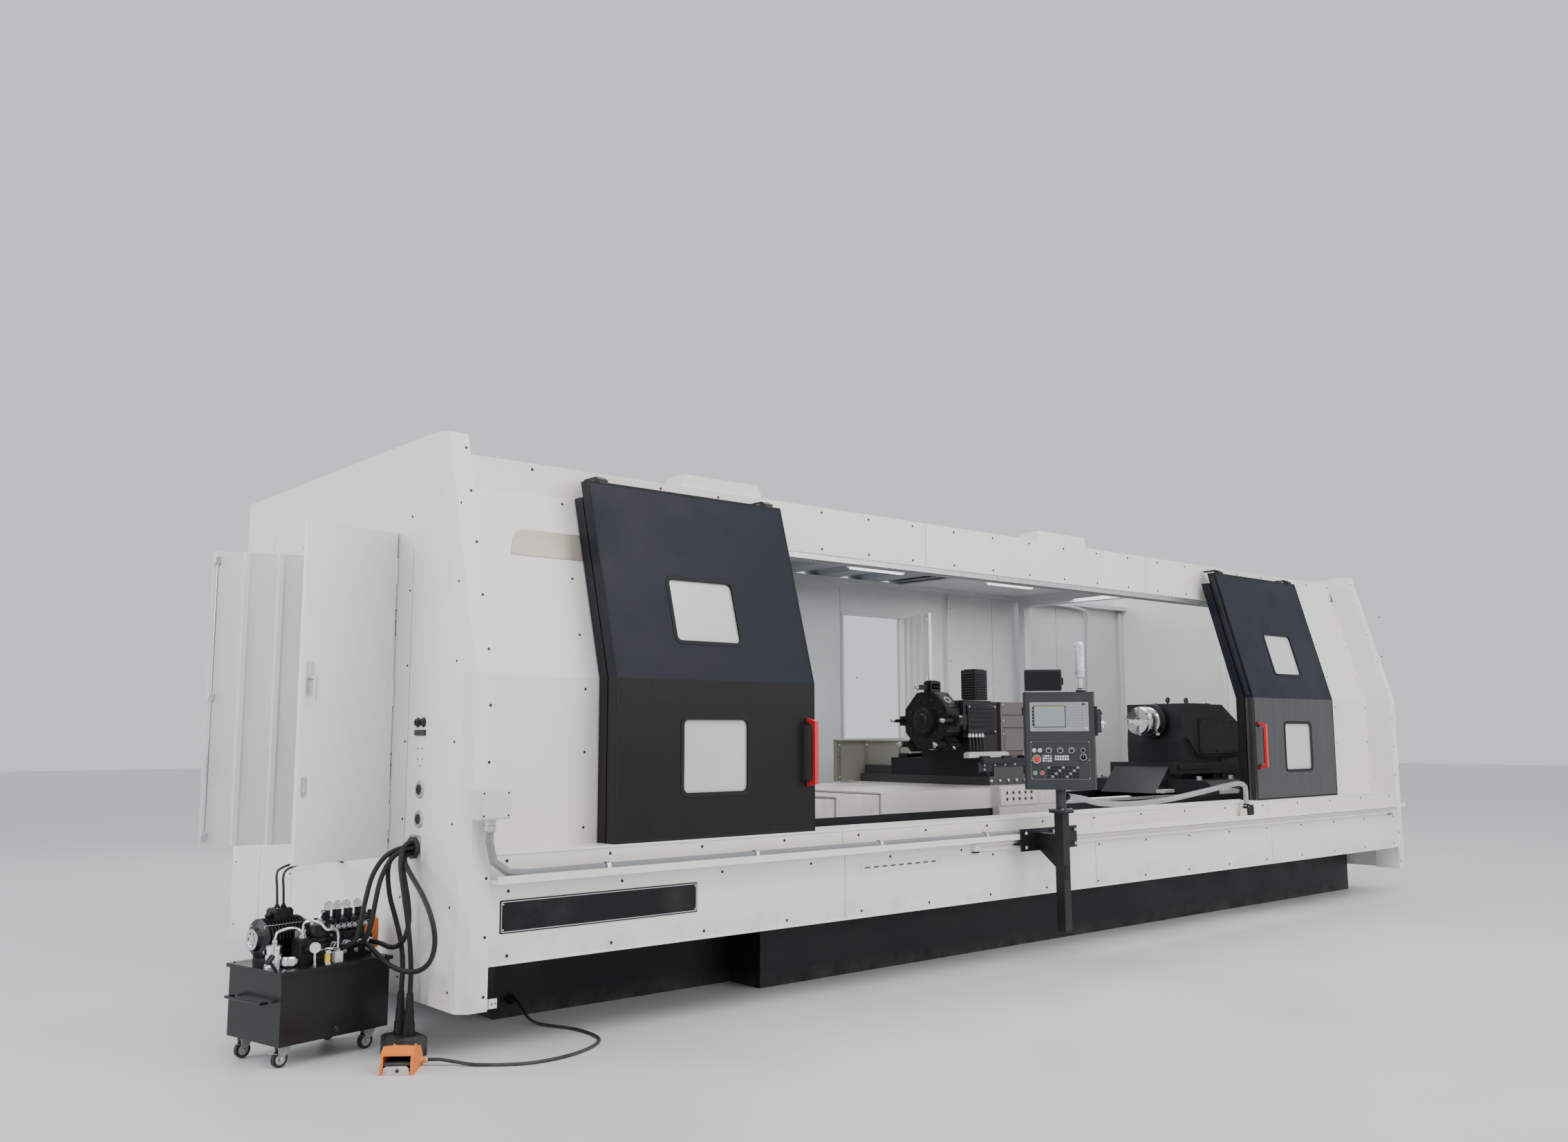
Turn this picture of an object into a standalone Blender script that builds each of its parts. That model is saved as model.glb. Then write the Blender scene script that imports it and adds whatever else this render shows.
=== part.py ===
"""Large flat-bed CNC turning lathe with a sliding-door enclosure.

Metres, +Z up. X runs along the spindle from the headstock to the tailstock, Y runs from the
operator to the rear wall. The origin is on the floor under the middle of the machine, straight
below the spindle axis.
"""
import math

import bmesh
import bpy
from mathutils import Matrix, Vector

# Fits and overruns
SEAT_GAP = 0.0003
RUN_GAP = 0.002
OVERRUN = 0.05
ROUND_SIDES = 24
FINE_SIDES = 48

# Enclosure
MACHINE_LENGTH = 10.20
FRONT_Y = -1.40
REAR_Y = 1.87
CAP_TOP_Z = 3.14
CAP_BOTTOM_Z = 0.23
KINK_Z = 1.86
CAP_LEAN = 0.36
CAP_PLATE = 0.06
CAP_CHAMFER = 0.045
CAP_STRIP_WIDTH = 0.15

# Apron, sill and cable gutter under the doors
APRON_BOTTOM_Z = 0.437
APRON_SHEET = 0.02
APRON_FLANGE = 0.07
SILL_Z = 0.975
SILL_SETBACK = 0.02
SILL_DEPTH = 0.27
GUTTER_FLOOR_Z = 0.85
GUTTER_REACH = 0.09
GUTTER_LIP_HEIGHT = 0.022
GUTTER_SHEET = 0.015

# Sliding doors: a leading and a trailing leaf on each side
DOOR_SETBACK = 0.05
DOOR_LEAN = 0.316
DOOR_TOP_Z = 2.99
DOOR_DEPTH = 0.078
DOOR_SKIN = 0.024
DOOR_EDGE = 0.035
DOOR_WIDTH = 1.441
DOOR_SPACING = 0.010
TRAIL_DROP = 0.09
LEFT_DOOR_X = 0.901
RIGHT_DOOR_X = 7.515
WINDOW_WIDTH = 0.46
WINDOW_OFFSET = 0.455
UPPER_WINDOW_LOW_Z = 2.085
UPPER_WINDOW_HIGH_Z = 2.445
LOWER_WINDOW_LOW_Z = 1.229
LOWER_WINDOW_HIGH_Z = 1.636
WINDOW_CORNER = 0.035
GLASS_THICKNESS = 0.010
HANDLE_LOW_Z = 1.24
HANDLE_HIGH_Z = 1.65
HANDLE_REACH = 0.078
HANDLE_WIDTH = 0.030
HANDLE_BAR = 0.020
HANDLE_INSET = 0.055

# Fixed front panels
PANEL_GAP = 0.014
PANEL_SHEET = 0.03
LEFT_PANEL_END = 2.25
RIGHT_PANEL_START = 7.60

# Header beam over the doors
HEADER_Y = -0.85
HEADER_DEPTH = 0.22
HEADER_LOW_Z = 2.76
HEADER_HIGH_Z = 3.08
HEADER_SHEET = 0.02
HEADER_LEDGE = 0.04
HEADER_SLOT = 0.04
HEADER_SLOT_DEPTH = 0.04
HEADER_BOX_LENGTH = 0.66
HEADER_BOX_HEIGHT = 0.085
HEADER_BOX_TAPER = 0.03
HEADER_BOX_STARTS = (1.70, 5.22)

# Rear wall with a service doorway
WALL_Y = 1.80
WALL_THICKNESS = 0.04
WALL_BOTTOM_Z = 0.45
WALL_TOP_Z = 3.04
WALL_LEDGE_REACH = 0.12
DOORWAY_START = 5.59
DOORWAY_WIDTH = 0.78
DOORWAY_LOW_Z = 1.515
DOORWAY_HIGH_Z = 2.70
LEAF_THICKNESS = 0.024
LEAF_MARGIN = 0.012
LEAF_RIB_HEIGHT = 0.016
LEAF_RIB_WIDTH = 0.05
HINGE_KNUCKLE = 0.014
HINGE_LENGTH_SHARE = 0.08
HINGE_SHARES = (0.12, 0.50, 0.88)
REAR_DOOR_OPEN = 65.0

# Roof: sliding ribbed cover on the left, fixed panel, beam and post on the right
ROOF_START = 0.10
ROOF_COVER_END = 6.30
ROOF_RIBS = 11
ROOF_SHEET = 0.012
ROOF_RIB_HEIGHT = 0.045
ROOF_BEAM_START = 8.10
ROOF_BEAM_WIDTH = 0.10
ROOF_BEAM_DEPTH = 0.12
ROOF_POST_DEPTH = 0.08

# Electrical cabinet in the left end
CABINET_FRONT_Y = -0.56
CABINET_REAR_Y = 0.60
CABINET_LOW_Z = 0.91
CABINET_HIGH_Z = 2.65
CABINET_DEPTH = 0.42
CABINET_SHEET = 0.02
CABINET_DOOR_OPEN = 106.0
CABINET_ROWS = 4
CABINET_UNITS = 5
CABINET_UNIT_DEPTH = 0.12
LEVER_Z = 1.84
LEVER_LENGTH = 0.11
LEVER_BAR = 0.016
LEVER_STANDOFF = 0.045
LEVER_PLATE_WIDTH = 0.04
LEVER_PLATE_HEIGHT = 0.17
LEVER_PLATE_SHEET = 0.006
LEVER_INSET = 0.05

# Service doorway in the right end
SERVICE_FRONT_Y = -0.05
SERVICE_REAR_Y = 0.46
SERVICE_LOW_Z = 1.30
SERVICE_HIGH_Z = 2.56
SERVICE_DOOR_OPEN = 92.0

# Bed
BASE_START = 2.28
BASE_END = 9.98
BASE_FRONT_Y = -0.905
BASE_REAR_Y = 0.905
BASE_HEIGHT = 0.40
HEAD_BASE_START = 0.62
HEAD_BASE_FRONT_Y = -0.60
CABLE_EXIT = 0.72
CABLE_EXIT_Z = 0.10
BED_START = 2.34
BED_TOP_Z = 1.00
BED_HALF_WIDTH = 0.80
BED_WALL_HALF = 0.74
WAY_WIDTH = 0.28
WAY_HEIGHT = 0.14
TROUGH_DEPTH = 0.12

# Headstock, spindle and chuck
SPINDLE_Z = 1.67
HEAD_START = 0.98
HEAD_END = 2.34
HEAD_HALF_WIDTH = 0.60
HEAD_TOP_Z = 2.22
GUARD_THICKNESS = 0.16
SPINDLE_RADIUS = 0.15
SPINDLE_BORE = 0.085
SPINDLE_TAIL = 0.03
NOSE_RADIUS = 0.24
NOSE_LENGTH = 0.06
CHUCK_RADIUS = 0.42
CHUCK_LENGTH = 0.30
JAW_COUNT = 4
JAW_WIDTH = 0.085
JAW_SLOT_DEPTH = 0.06
JAW_INNER = 0.12
JAW_OUTER = 0.37
JAW_HEIGHT = 0.17

# Carriage, cross slide and turret
SADDLE_START = 4.64
SADDLE_LENGTH = 0.74
SADDLE_TOP_Z = 1.16
SADDLE_FRONT_Y = -0.87
SADDLE_REAR_Y = 0.86
SADDLE_SKIRT = 0.07
BRIDGE_TOP_Z = 1.30
BRIDGE_FRONT_Y = -0.74
BRIDGE_REAR_Y = 0.66
BRIDGE_MARGIN = 0.05
DOVETAIL_INSET = 0.05
GUARD_Y = 0.70
GUARD_SHEET = 0.025
GUARD_START = 4.44
GUARD_LENGTH = 1.44
GUARD_TOP_Z = 1.51
GUARD_LOW_Z = 1.165
SLIDE_TOP_Z = 1.365
SLIDE_FRONT_Y = -0.72
SLIDE_REAR_Y = 0.30
TURRET_Y = -0.36
TURRET_Z = 1.655
TURRET_BODY_START = 4.56
TURRET_BODY_LENGTH = 0.42
TURRET_BODY_HALF = 0.24
TURRET_TOP_Z = 1.80
COLUMN_START = 4.98
COLUMN_LENGTH = 0.36
COLUMN_FRONT_Y = -0.62
COLUMN_REAR_Y = 0.24
DISC_RADIUS = 0.215
DISC_THICKNESS = 0.16
DISC_STATIONS = 8
TOOL_WIDTH = 0.075
TOOL_REACH = 0.085
TOOL_DEPTH = 0.11
TOOL_STATIONS = (0, 2, 3, 5, 6)
TURRET_MOTOR_SIDE = 0.15
TURRET_MOTOR_HEIGHT = 0.27
TURRET_MOTOR_Y = -0.20
TURRET_MOTOR_X = 5.16

# Telescopic way covers between headstock and carriage
COVER_SHEET = 0.012
COVER_STEP = 0.016
COVER_TOP_Z = 1.15
FIXED_COVER_LENGTH = 1.39
MIDDLE_COVER_START = 3.05
MIDDLE_COVER_LENGTH = 1.13
CARRIAGE_COVER_LENGTH = 1.18

# Tailstock
TAIL_START = 7.56
TAIL_LENGTH = 1.92
TAIL_HALF_WIDTH = 0.30
TAIL_FOOT_HALF = 0.70
TAIL_FOOT_TOP_Z = 1.12
TAIL_TOP_Z = 1.835
BARREL_RADIUS = 0.165
BARREL_START = 7.99
BARREL_LENGTH = 1.02
QUILL_RADIUS = 0.105
QUILL_LENGTH = 0.70
QUILL_COLLAR_RADIUS = 0.135
QUILL_COLLAR = 0.075
LIVE_RADIUS = 0.135
LIVE_LENGTH = 0.13
LIVE_SLOT = 0.035
LIVE_SLOT_DEPTH = 0.06
LIVE_STUB_RADIUS = 0.05
LIVE_STUB = 0.065
EYE_RADIUS = 0.028
EYE_WIRE = 0.008

# Operator pendant on its rail
RAIL_START = 3.70
RAIL_END = 10.05
RAIL_LOW_Z = 0.775
RAIL_HEIGHT = 0.05
RAIL_DEPTH = 0.035
RAIL_STOP = 0.06
PENDANT_X = 4.29
PENDANT_Y = -1.70
PLATE_WIDTH = 0.62
PLATE_HEIGHT = 0.15
PLATE_SHEET = 0.012
PLATE_SHIFT = 0.12
PLATE_LOW_Z = 0.755
POST_SIDE = 0.07
POST_BOTTOM_Z = 0.24
SWIVEL_Z = 1.175
COLLAR_Z = 1.03
COLLAR_SIDE = 0.085
COLLAR_HEIGHT = 0.012
PENDANT_WIDTH = 0.476
PENDANT_HEIGHT = 0.66
PENDANT_DEPTH = 0.15
PENDANT_TURN = -50.0
PENDANT_CORNER = 0.012
SCREEN_UNIT_SHARES = (0.08, 0.59, 0.92, 0.90)
SCREEN_RECESS = 0.010
SWITCH_PANEL_SHARES = (0.08, 0.10, 0.92, 0.50)
SWITCH_RECESS = 0.006
HAND_UNIT_WIDTH = 0.07
HAND_UNIT_HEIGHT = 0.16
HAND_UNIT_SHARE = 0.70
TOP_BOX_WIDTH = 0.25
TOP_BOX_HEIGHT = 0.15
KNOB_RADIUS = 0.016
KNOB_HEIGHT = 0.022
KNOB_ROW_SHARE = 0.40
KNOB_SHARES = (0.34, 0.50, 0.66)
OVERRIDE_SHARE = 0.82
STOP_RADIUS = 0.021
STOP_HEIGHT = 0.028
STOP_TRAVEL = 0.005
STOP_SHARES = (0.17, 0.31)
LIGHT_RADIUS = 0.032
LIGHT_HEIGHT = 0.34
LIGHT_SHARE = 0.82

# Conduits
CONDUIT_RADIUS = 0.021
JUNCTION_START = 0.03
JUNCTION_WIDTH = 0.17
JUNCTION_LOW_Z = 1.147
JUNCTION_HEIGHT = 0.145
JUNCTION_DEPTH = 0.10
STANDPIPE_X = 7.16
FITTING_LENGTH = 0.10
FITTING_HEIGHT = 0.075
FITTING_DEPTH = 0.064

# Hydraulic power unit on casters
TANK_CORNER_X = -0.67
TANK_CORNER_Y = -0.93
TANK_LENGTH = 0.60
TANK_WIDTH = 0.45
TANK_LOW_Z = 0.105
TANK_HEIGHT = 0.325
TANK_TURN = 12.0
TANK_LID = 0.018
TANK_LID_LIP = 0.012
CASTER_RADIUS = 0.038
CASTER_WIDTH = 0.022
CASTER_INSET = 0.065
CASTER_FORK = 0.007
FILTER_RADIUS = 0.055
FILTER_HEIGHT = 0.19
FILTER_FINS = 5
PUMP_MOTOR_RADIUS = 0.095
PUMP_MOTOR_LENGTH = 0.24
PUMP_FINS = 10
PUMP_START_SHARE = 0.04
MANIFOLD_GAP = 0.0165
MOTOR_FOOT = 0.05
MANIFOLD_LENGTH = 0.26
MANIFOLD_WIDTH = 0.15
MANIFOLD_HEIGHT = 0.13
VALVE_COUNT = 4
VALVE_RADIUS = 0.023
VALVE_HEIGHT = 0.10
GLAND_RADIUS = 0.017
GLAND_LENGTH = 0.03

# Hose outlet in the left end and the hoses
OUTLET_Y = -0.903
OUTLET_Z = 0.985
OUTLET_RADIUS = 0.055
OUTLET_REACH = 0.035
HOSE_RADIUS = 0.0125
CABLE_RADIUS = 0.008

# Foot pedal
PEDAL_X = -5.385
PEDAL_Y = -1.36
PEDAL_TURN = -38.0
PEDAL_WIDTH = 0.15
PEDAL_LENGTH = 0.21
PEDAL_HEIGHT = 0.115
PEDAL_WALL = 0.012
TREADLE_SHEET = 0.014

HALF_LENGTH = MACHINE_LENGTH / 2
PANEL_FRONT_Y = FRONT_Y + DOOR_SETBACK + 2 * DOOR_DEPTH + DOOR_SPACING + PANEL_GAP
DOOR_FRONT_Y = FRONT_Y + DOOR_SETBACK
LEAF_WIDTH = DOORWAY_WIDTH - LEAF_MARGIN
INNER_FRONT_Y = FRONT_Y + APRON_SHEET

# Colours
WHITE = (0.80, 0.80, 0.77)
CREAM = (0.78, 0.76, 0.70)
NAVY = (0.012, 0.016, 0.030)
BROWN_BLACK = (0.020, 0.017, 0.016)
RED = (0.60, 0.03, 0.03)
BLACK = (0.014, 0.014, 0.015)
SATIN_BLACK = (0.028, 0.029, 0.030)
WARM_GREY = (0.13, 0.12, 0.11)
PALE_GREY = (0.62, 0.60, 0.57)
LIGHT_GREY = (0.48, 0.49, 0.49)
BLUE_GREY = (0.20, 0.23, 0.27)
DARK_GREY = (0.06, 0.065, 0.07)
STEEL = (0.55, 0.56, 0.57)
SILVER = (0.68, 0.68, 0.69)
GLASS_TINT = (0.70, 0.78, 0.74)
ORANGE = (0.80, 0.22, 0.03)


def along(distance):
    """X of a point given by its distance from the left end."""
    return distance - HALF_LENGTH


def material(name, colour, metallic=0.0, roughness_share=0.5, glass_share=0.0):
    mat = bpy.data.materials.new(name)
    mat.use_nodes = True
    shader = mat.node_tree.nodes["Principled BSDF"]
    shader.inputs["Base Color"].default_value = (*colour, 1.0)
    shader.inputs["Metallic"].default_value = metallic
    shader.inputs["Roughness"].default_value = roughness_share
    shader.inputs["Transmission Weight"].default_value = glass_share
    mat.diffuse_color = (*colour, 1.0)
    return mat


def painted(obj, colour, roughness_share=0.5):
    obj.data.materials.clear()
    obj.data.materials.append(material(obj.name + "_paint", colour, 0.0, roughness_share))
    return obj


def metal(obj, colour, roughness_share=0.35):
    obj.data.materials.clear()
    obj.data.materials.append(material(obj.name + "_metal", colour, 1.0, roughness_share))
    return obj


def clear(obj, colour):
    obj.data.materials.clear()
    obj.data.materials.append(material(obj.name + "_glass", colour, 0.0, 0.05, 0.9))
    return obj


def new_object(name, verts, faces):
    mesh = bpy.data.meshes.new(name)
    mesh.from_pydata([tuple(v) for v in verts], [], faces)
    mesh.validate()
    grid = bmesh.new()
    grid.from_mesh(mesh)
    bmesh.ops.recalc_face_normals(grid, faces=grid.faces)
    grid.to_mesh(mesh)
    grid.free()
    obj = bpy.data.objects.new(name, mesh)
    bpy.context.scene.collection.objects.link(obj)
    return obj


def prism(name, outline, low, high, place):
    """A closed outline swept between two levels; place turns (a, b, level) into a point."""
    count = len(outline)
    verts = [place(a, b, low) for a, b in outline]
    verts += [place(a, b, high) for a, b in outline]
    faces = [tuple(range(count)), tuple(range(count, 2 * count))]
    faces += [(i, (i + 1) % count, (i + 1) % count + count, i + count) for i in range(count)]
    return new_object(name, verts, faces)


def prism_x(name, outline, x0, x1):
    """Outline in (y, z)."""
    return prism(name, outline, x0, x1, lambda a, b, t: (t, a, b))


def prism_y(name, outline, y0, y1):
    """Outline in (x, z)."""
    return prism(name, outline, y0, y1, lambda a, b, t: (a, t, b))


def prism_z(name, outline, z0, z1):
    """Outline in (x, y)."""
    return prism(name, outline, z0, z1, lambda a, b, t: (a, b, t))


def rectangle(a0, a1, b0, b1):
    return [(a0, b0), (a1, b0), (a1, b1), (a0, b1)]


def box(name, x0, x1, y0, y1, z0, z1):
    return prism_z(name, rectangle(x0, x1, y0, y1), z0, z1)


def arc_points(radius, sides, start=0.0, sweep=2 * math.pi):
    """Points of a circle, or of a part of it with both ends."""
    whole = abs(sweep - 2 * math.pi) < 1e-9
    steps = sides if whole else sides - 1
    return [(radius * math.cos(start + sweep * i / steps), radius * math.sin(start + sweep * i / steps))
            for i in range(sides)]


def rounded_outline(width, height, radius, steps=4):
    corners = [(width / 2 - radius, height / 2 - radius, 0.0),
               (-width / 2 + radius, height / 2 - radius, math.pi / 2),
               (-width / 2 + radius, -height / 2 + radius, math.pi),
               (width / 2 - radius, -height / 2 + radius, 3 * math.pi / 2)]
    points = []
    for cx, cy, start in corners:
        points += [(cx + x, cy + y) for x, y in arc_points(radius, steps, start, math.pi / 2)]
    return points


def round_bore(radius, sides):
    """Corner radius of a faceted bore in which a round shaft of the same facets can turn."""
    return (radius + SEAT_GAP) / math.cos(math.pi / sides)


def cylinder(name, start, end, radius, sides=ROUND_SIDES):
    """A round bar between two points."""
    start = Vector(start)
    end = Vector(end)
    turn = (end - start).to_track_quat("Z", "Y").to_matrix()
    ring = [turn @ Vector((x, y, 0.0)) for x, y in arc_points(radius, sides)]
    verts = [start + p for p in ring] + [end + p for p in ring]
    faces = [tuple(range(sides)), tuple(range(sides, 2 * sides))]
    faces += [(i, (i + 1) % sides, (i + 1) % sides + sides, i + sides) for i in range(sides)]
    return new_object(name, verts, faces)


def turned(name, start, axis, profile, sides=ROUND_SIDES):
    """A turned body: profile is a list of (distance along the axis, radius), solid to the axis."""
    start = Vector(start)
    axis = Vector(axis).normalized()
    turn = axis.to_track_quat("Z", "Y").to_matrix()
    verts = []
    for distance, radius in profile:
        verts += [start + axis * distance + turn @ Vector((x, y, 0.0)) for x, y in arc_points(radius, sides)]
    faces = [tuple(range(sides)), tuple(range(sides * (len(profile) - 1), sides * len(profile)))]
    for row in range(len(profile) - 1):
        base = row * sides
        for i in range(sides):
            j = (i + 1) % sides
            faces.append((base + i, base + j, base + sides + j, base + sides + i))
    return new_object(name, verts, faces)


def combine(obj, tools, operation):
    """Apply an exact Boolean with each tool in turn, and remove the tools."""
    for tool in tools:
        mod = obj.modifiers.new("combine", "BOOLEAN")
        mod.operation = operation
        mod.solver = "EXACT"
        mod.object = tool
        graph = bpy.context.evaluated_depsgraph_get()
        result = bpy.data.meshes.new_from_object(obj.evaluated_get(graph))
        old = obj.data
        obj.modifiers.clear()
        obj.data = result
        bpy.data.meshes.remove(old)
        bpy.data.objects.remove(tool)
    grid = bmesh.new()
    grid.from_mesh(obj.data)
    bmesh.ops.dissolve_limit(grid, angle_limit=math.radians(0.2), verts=grid.verts, edges=grid.edges)
    grid.to_mesh(obj.data)
    grid.free()
    return obj


def union(obj, *tools):
    return combine(obj, tools, "UNION")


def cut(obj, *tools):
    return combine(obj, tools, "DIFFERENCE")


def move_by(obj, matrix):
    obj.data.transform(matrix)
    return obj


def turn_about(point, axis, degrees):
    point = Vector(point)
    return Matrix.Translation(point) @ Matrix.Rotation(math.radians(degrees), 4, axis) @ Matrix.Translation(-point)


def set_origin(obj, point):
    """Put the object's origin on its joint axis without moving its shape."""
    point = Vector(point)
    obj.data.transform(Matrix.Translation(-point))
    obj.matrix_world = Matrix.Translation(point)
    return obj


def shade(obj, degrees=32.0):
    obj.data.shade_smooth()
    obj.data.set_sharp_from_angle(angle=math.radians(degrees))
    return obj


def lean_at(z):
    """How far the sloping front is set back at a height."""
    if z <= KINK_Z:
        return 0.0
    return DOOR_LEAN * (z - KINK_Z) / (DOOR_TOP_Z - KINK_Z)


def leaf_outline(front, back, low, high):
    return [(front, low), (front, KINK_Z), (front + lean_at(high), high),
            (back + lean_at(high), high), (back, KINK_Z), (back, low)]


def clear_scene():
    for obj in list(bpy.data.objects):
        bpy.data.objects.remove(obj)
    bpy.context.view_layer.update()


def end_outline():
    lean = CAP_LEAN
    return [(FRONT_Y, CAP_BOTTOM_Z), (FRONT_Y, KINK_Z), (FRONT_Y + lean, CAP_TOP_Z),
            (REAR_Y, CAP_TOP_Z), (REAR_Y, CAP_BOTTOM_Z)]


def cap_strip(name, x0, x1):
    """The narrow front post of an end cap; its back follows the fixed panel and the header beam."""
    back = PANEL_FRONT_Y - SEAT_GAP
    stop = HEADER_Y - SEAT_GAP
    meet = KINK_Z + (stop - back) * (DOOR_TOP_Z - KINK_Z) / DOOR_LEAN
    outline = [(FRONT_Y, CAP_BOTTOM_Z), (FRONT_Y, KINK_Z), (FRONT_Y + CAP_LEAN, CAP_TOP_Z),
               (stop, CAP_TOP_Z), (stop, meet), (back, KINK_Z), (back, CAP_BOTTOM_Z)]
    return prism_x(name, outline, x0, x1)


def corner_bevel(name, x, direction):
    """A wedge that takes the outer front edge off a cap."""
    reach = OVERRUN
    size = CAP_CHAMFER
    flat = [(x - direction * reach, -reach), (x + direction * size, -reach),
            (x + direction * size, 0.0), (x, size), (x - direction * reach, size)]
    lift = [CAP_BOTTOM_Z - reach, KINK_Z, CAP_TOP_Z + reach]
    slope = CAP_LEAN / (CAP_TOP_Z - KINK_Z)
    back = [0.0, 0.0, slope * (CAP_TOP_Z + reach - KINK_Z)]
    count = len(flat)
    verts = [(px, FRONT_Y + py + back[row], lift[row]) for row in range(3) for px, py in flat]
    faces = [tuple(range(count)), tuple(range(2 * count, 3 * count))]
    for row in range(2):
        for i in range(count):
            j = (i + 1) % count
            faces.append((row * count + i, row * count + j, (row + 1) * count + j, (row + 1) * count + i))
    return new_object(name, verts, faces)


def outlet_boss():
    """Plate with a round neck on the left end, where the hoses come out."""
    face = -HALF_LENGTH
    half = OUTLET_RADIUS * 1.2
    plate = box("plate", face - APRON_SHEET / 2, face + CAP_PLATE / 2, OUTLET_Y - half, OUTLET_Y + half,
                OUTLET_Z - half, OUTLET_Z + half)
    neck = cylinder("neck", (face - OUTLET_REACH, OUTLET_Y, OUTLET_Z), (face, OUTLET_Y, OUTLET_Z), OUTLET_RADIUS)
    return union(plate, neck)


def build_left_cap():
    cap = prism_x("left_cap", end_outline(), -HALF_LENGTH, -HALF_LENGTH + CAP_PLATE)
    strip = cap_strip("strip", -HALF_LENGTH, -HALF_LENGTH + CAP_STRIP_WIDTH)
    union(cap, strip)
    opening = box("opening", -HALF_LENGTH - OVERRUN, -HALF_LENGTH + CAP_PLATE + OVERRUN,
                  CABINET_FRONT_Y, CABINET_REAR_Y, CABINET_LOW_Z, CABINET_HIGH_Z)
    cut(cap, opening, corner_bevel("bevel", -HALF_LENGTH, 1))
    union(cap, outlet_boss())
    return painted(cap, WHITE, 0.4)


def build_right_cap():
    cap = prism_x("right_cap", end_outline(), HALF_LENGTH - CAP_PLATE, HALF_LENGTH)
    strip = cap_strip("strip", HALF_LENGTH - CAP_STRIP_WIDTH, HALF_LENGTH)
    union(cap, strip)
    opening = box("opening", HALF_LENGTH - CAP_PLATE - OVERRUN, HALF_LENGTH + OVERRUN,
                  SERVICE_FRONT_Y, SERVICE_REAR_Y, SERVICE_LOW_Z, SERVICE_HIGH_Z)
    cut(cap, opening, corner_bevel("bevel", HALF_LENGTH, -1))
    return painted(cap, WHITE, 0.4)


def inner_left():
    return -HALF_LENGTH + CAP_STRIP_WIDTH + SEAT_GAP


def inner_right():
    return HALF_LENGTH - CAP_STRIP_WIDTH - SEAT_GAP


def fitting_body():
    """Fitting in the sill gutter that takes the lower end of the pendant conduit."""
    x = along(STANDPIPE_X)
    y = FRONT_Y - GUTTER_REACH / 2 + GUTTER_SHEET / 2
    low = GUTTER_FLOOR_Z - GUTTER_SHEET / 2
    half = FITTING_LENGTH / 2
    base = box("fitting", x - half, x + half, y - FITTING_DEPTH / 2, y + FITTING_DEPTH / 2, low, low + FITTING_HEIGHT)
    collar = cylinder("collar", (x, y, low + FITTING_HEIGHT / 2), (x, y, low + FITTING_HEIGHT * 1.5), CONDUIT_RADIUS * 1.25)
    bore = cylinder("bore", (x, y, low + FITTING_HEIGHT), (x, y, low + FITTING_HEIGHT * 2),
                    CONDUIT_RADIUS + SEAT_GAP, 16)
    union(base, collar)
    return cut(base, bore)


def build_apron():
    sill_front = FRONT_Y + SILL_SETBACK
    sheet = APRON_SHEET
    lip_front = FRONT_Y - GUTTER_REACH
    outline = [(FRONT_Y, APRON_BOTTOM_Z), (FRONT_Y, GUTTER_FLOOR_Z - GUTTER_SHEET),
               (lip_front, GUTTER_FLOOR_Z - GUTTER_SHEET), (lip_front, GUTTER_FLOOR_Z + GUTTER_LIP_HEIGHT),
               (lip_front + GUTTER_SHEET, GUTTER_FLOOR_Z + GUTTER_LIP_HEIGHT),
               (lip_front + GUTTER_SHEET, GUTTER_FLOOR_Z), (sill_front, GUTTER_FLOOR_Z),
               (sill_front, SILL_Z), (sill_front + SILL_DEPTH, SILL_Z),
               (sill_front + SILL_DEPTH, SILL_Z - sheet), (sill_front + sheet, SILL_Z - sheet),
               (sill_front + sheet, GUTTER_FLOOR_Z - GUTTER_SHEET),
               (INNER_FRONT_Y, GUTTER_FLOOR_Z - GUTTER_SHEET - sheet), (INNER_FRONT_Y, APRON_BOTTOM_Z + sheet),
               (FRONT_Y + APRON_FLANGE, APRON_BOTTOM_Z + sheet), (FRONT_Y + APRON_FLANGE, APRON_BOTTOM_Z)]
    apron = prism_x("apron", outline, inner_left(), inner_right())
    union(apron, rail_body(), fitting_body())
    return painted(apron, CREAM, 0.45)


def rail_body():
    """Grooved rail for the pendant carriage, let into the apron face."""
    x0 = along(RAIL_START)
    x1 = along(RAIL_END) - CAP_STRIP_WIDTH
    rail = box("rail", x0, x1, FRONT_Y - RAIL_DEPTH, FRONT_Y + APRON_SHEET / 2, RAIL_LOW_Z, RAIL_LOW_Z + RAIL_HEIGHT)
    groove = RAIL_HEIGHT / 4
    low = RAIL_LOW_Z + RAIL_HEIGHT / 2 - groove / 2
    slot = box("slot", x0 + RAIL_STOP, x1 - RAIL_STOP, FRONT_Y - RAIL_DEPTH - OVERRUN,
               FRONT_Y - RAIL_DEPTH + groove, low, low + groove)
    return cut(rail, slot)


def build_front_panel(name, x0, x1):
    """A fixed front sheet that ends against the header beam."""
    back = PANEL_FRONT_Y + PANEL_SHEET
    reach = HEADER_Y - SEAT_GAP - back
    high = KINK_Z + reach * (DOOR_TOP_Z - KINK_Z) / DOOR_LEAN
    outline = leaf_outline(PANEL_FRONT_Y, back, SILL_Z + SEAT_GAP, high)
    return painted(prism_x(name, outline, x0, x1), CREAM, 0.45)


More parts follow.
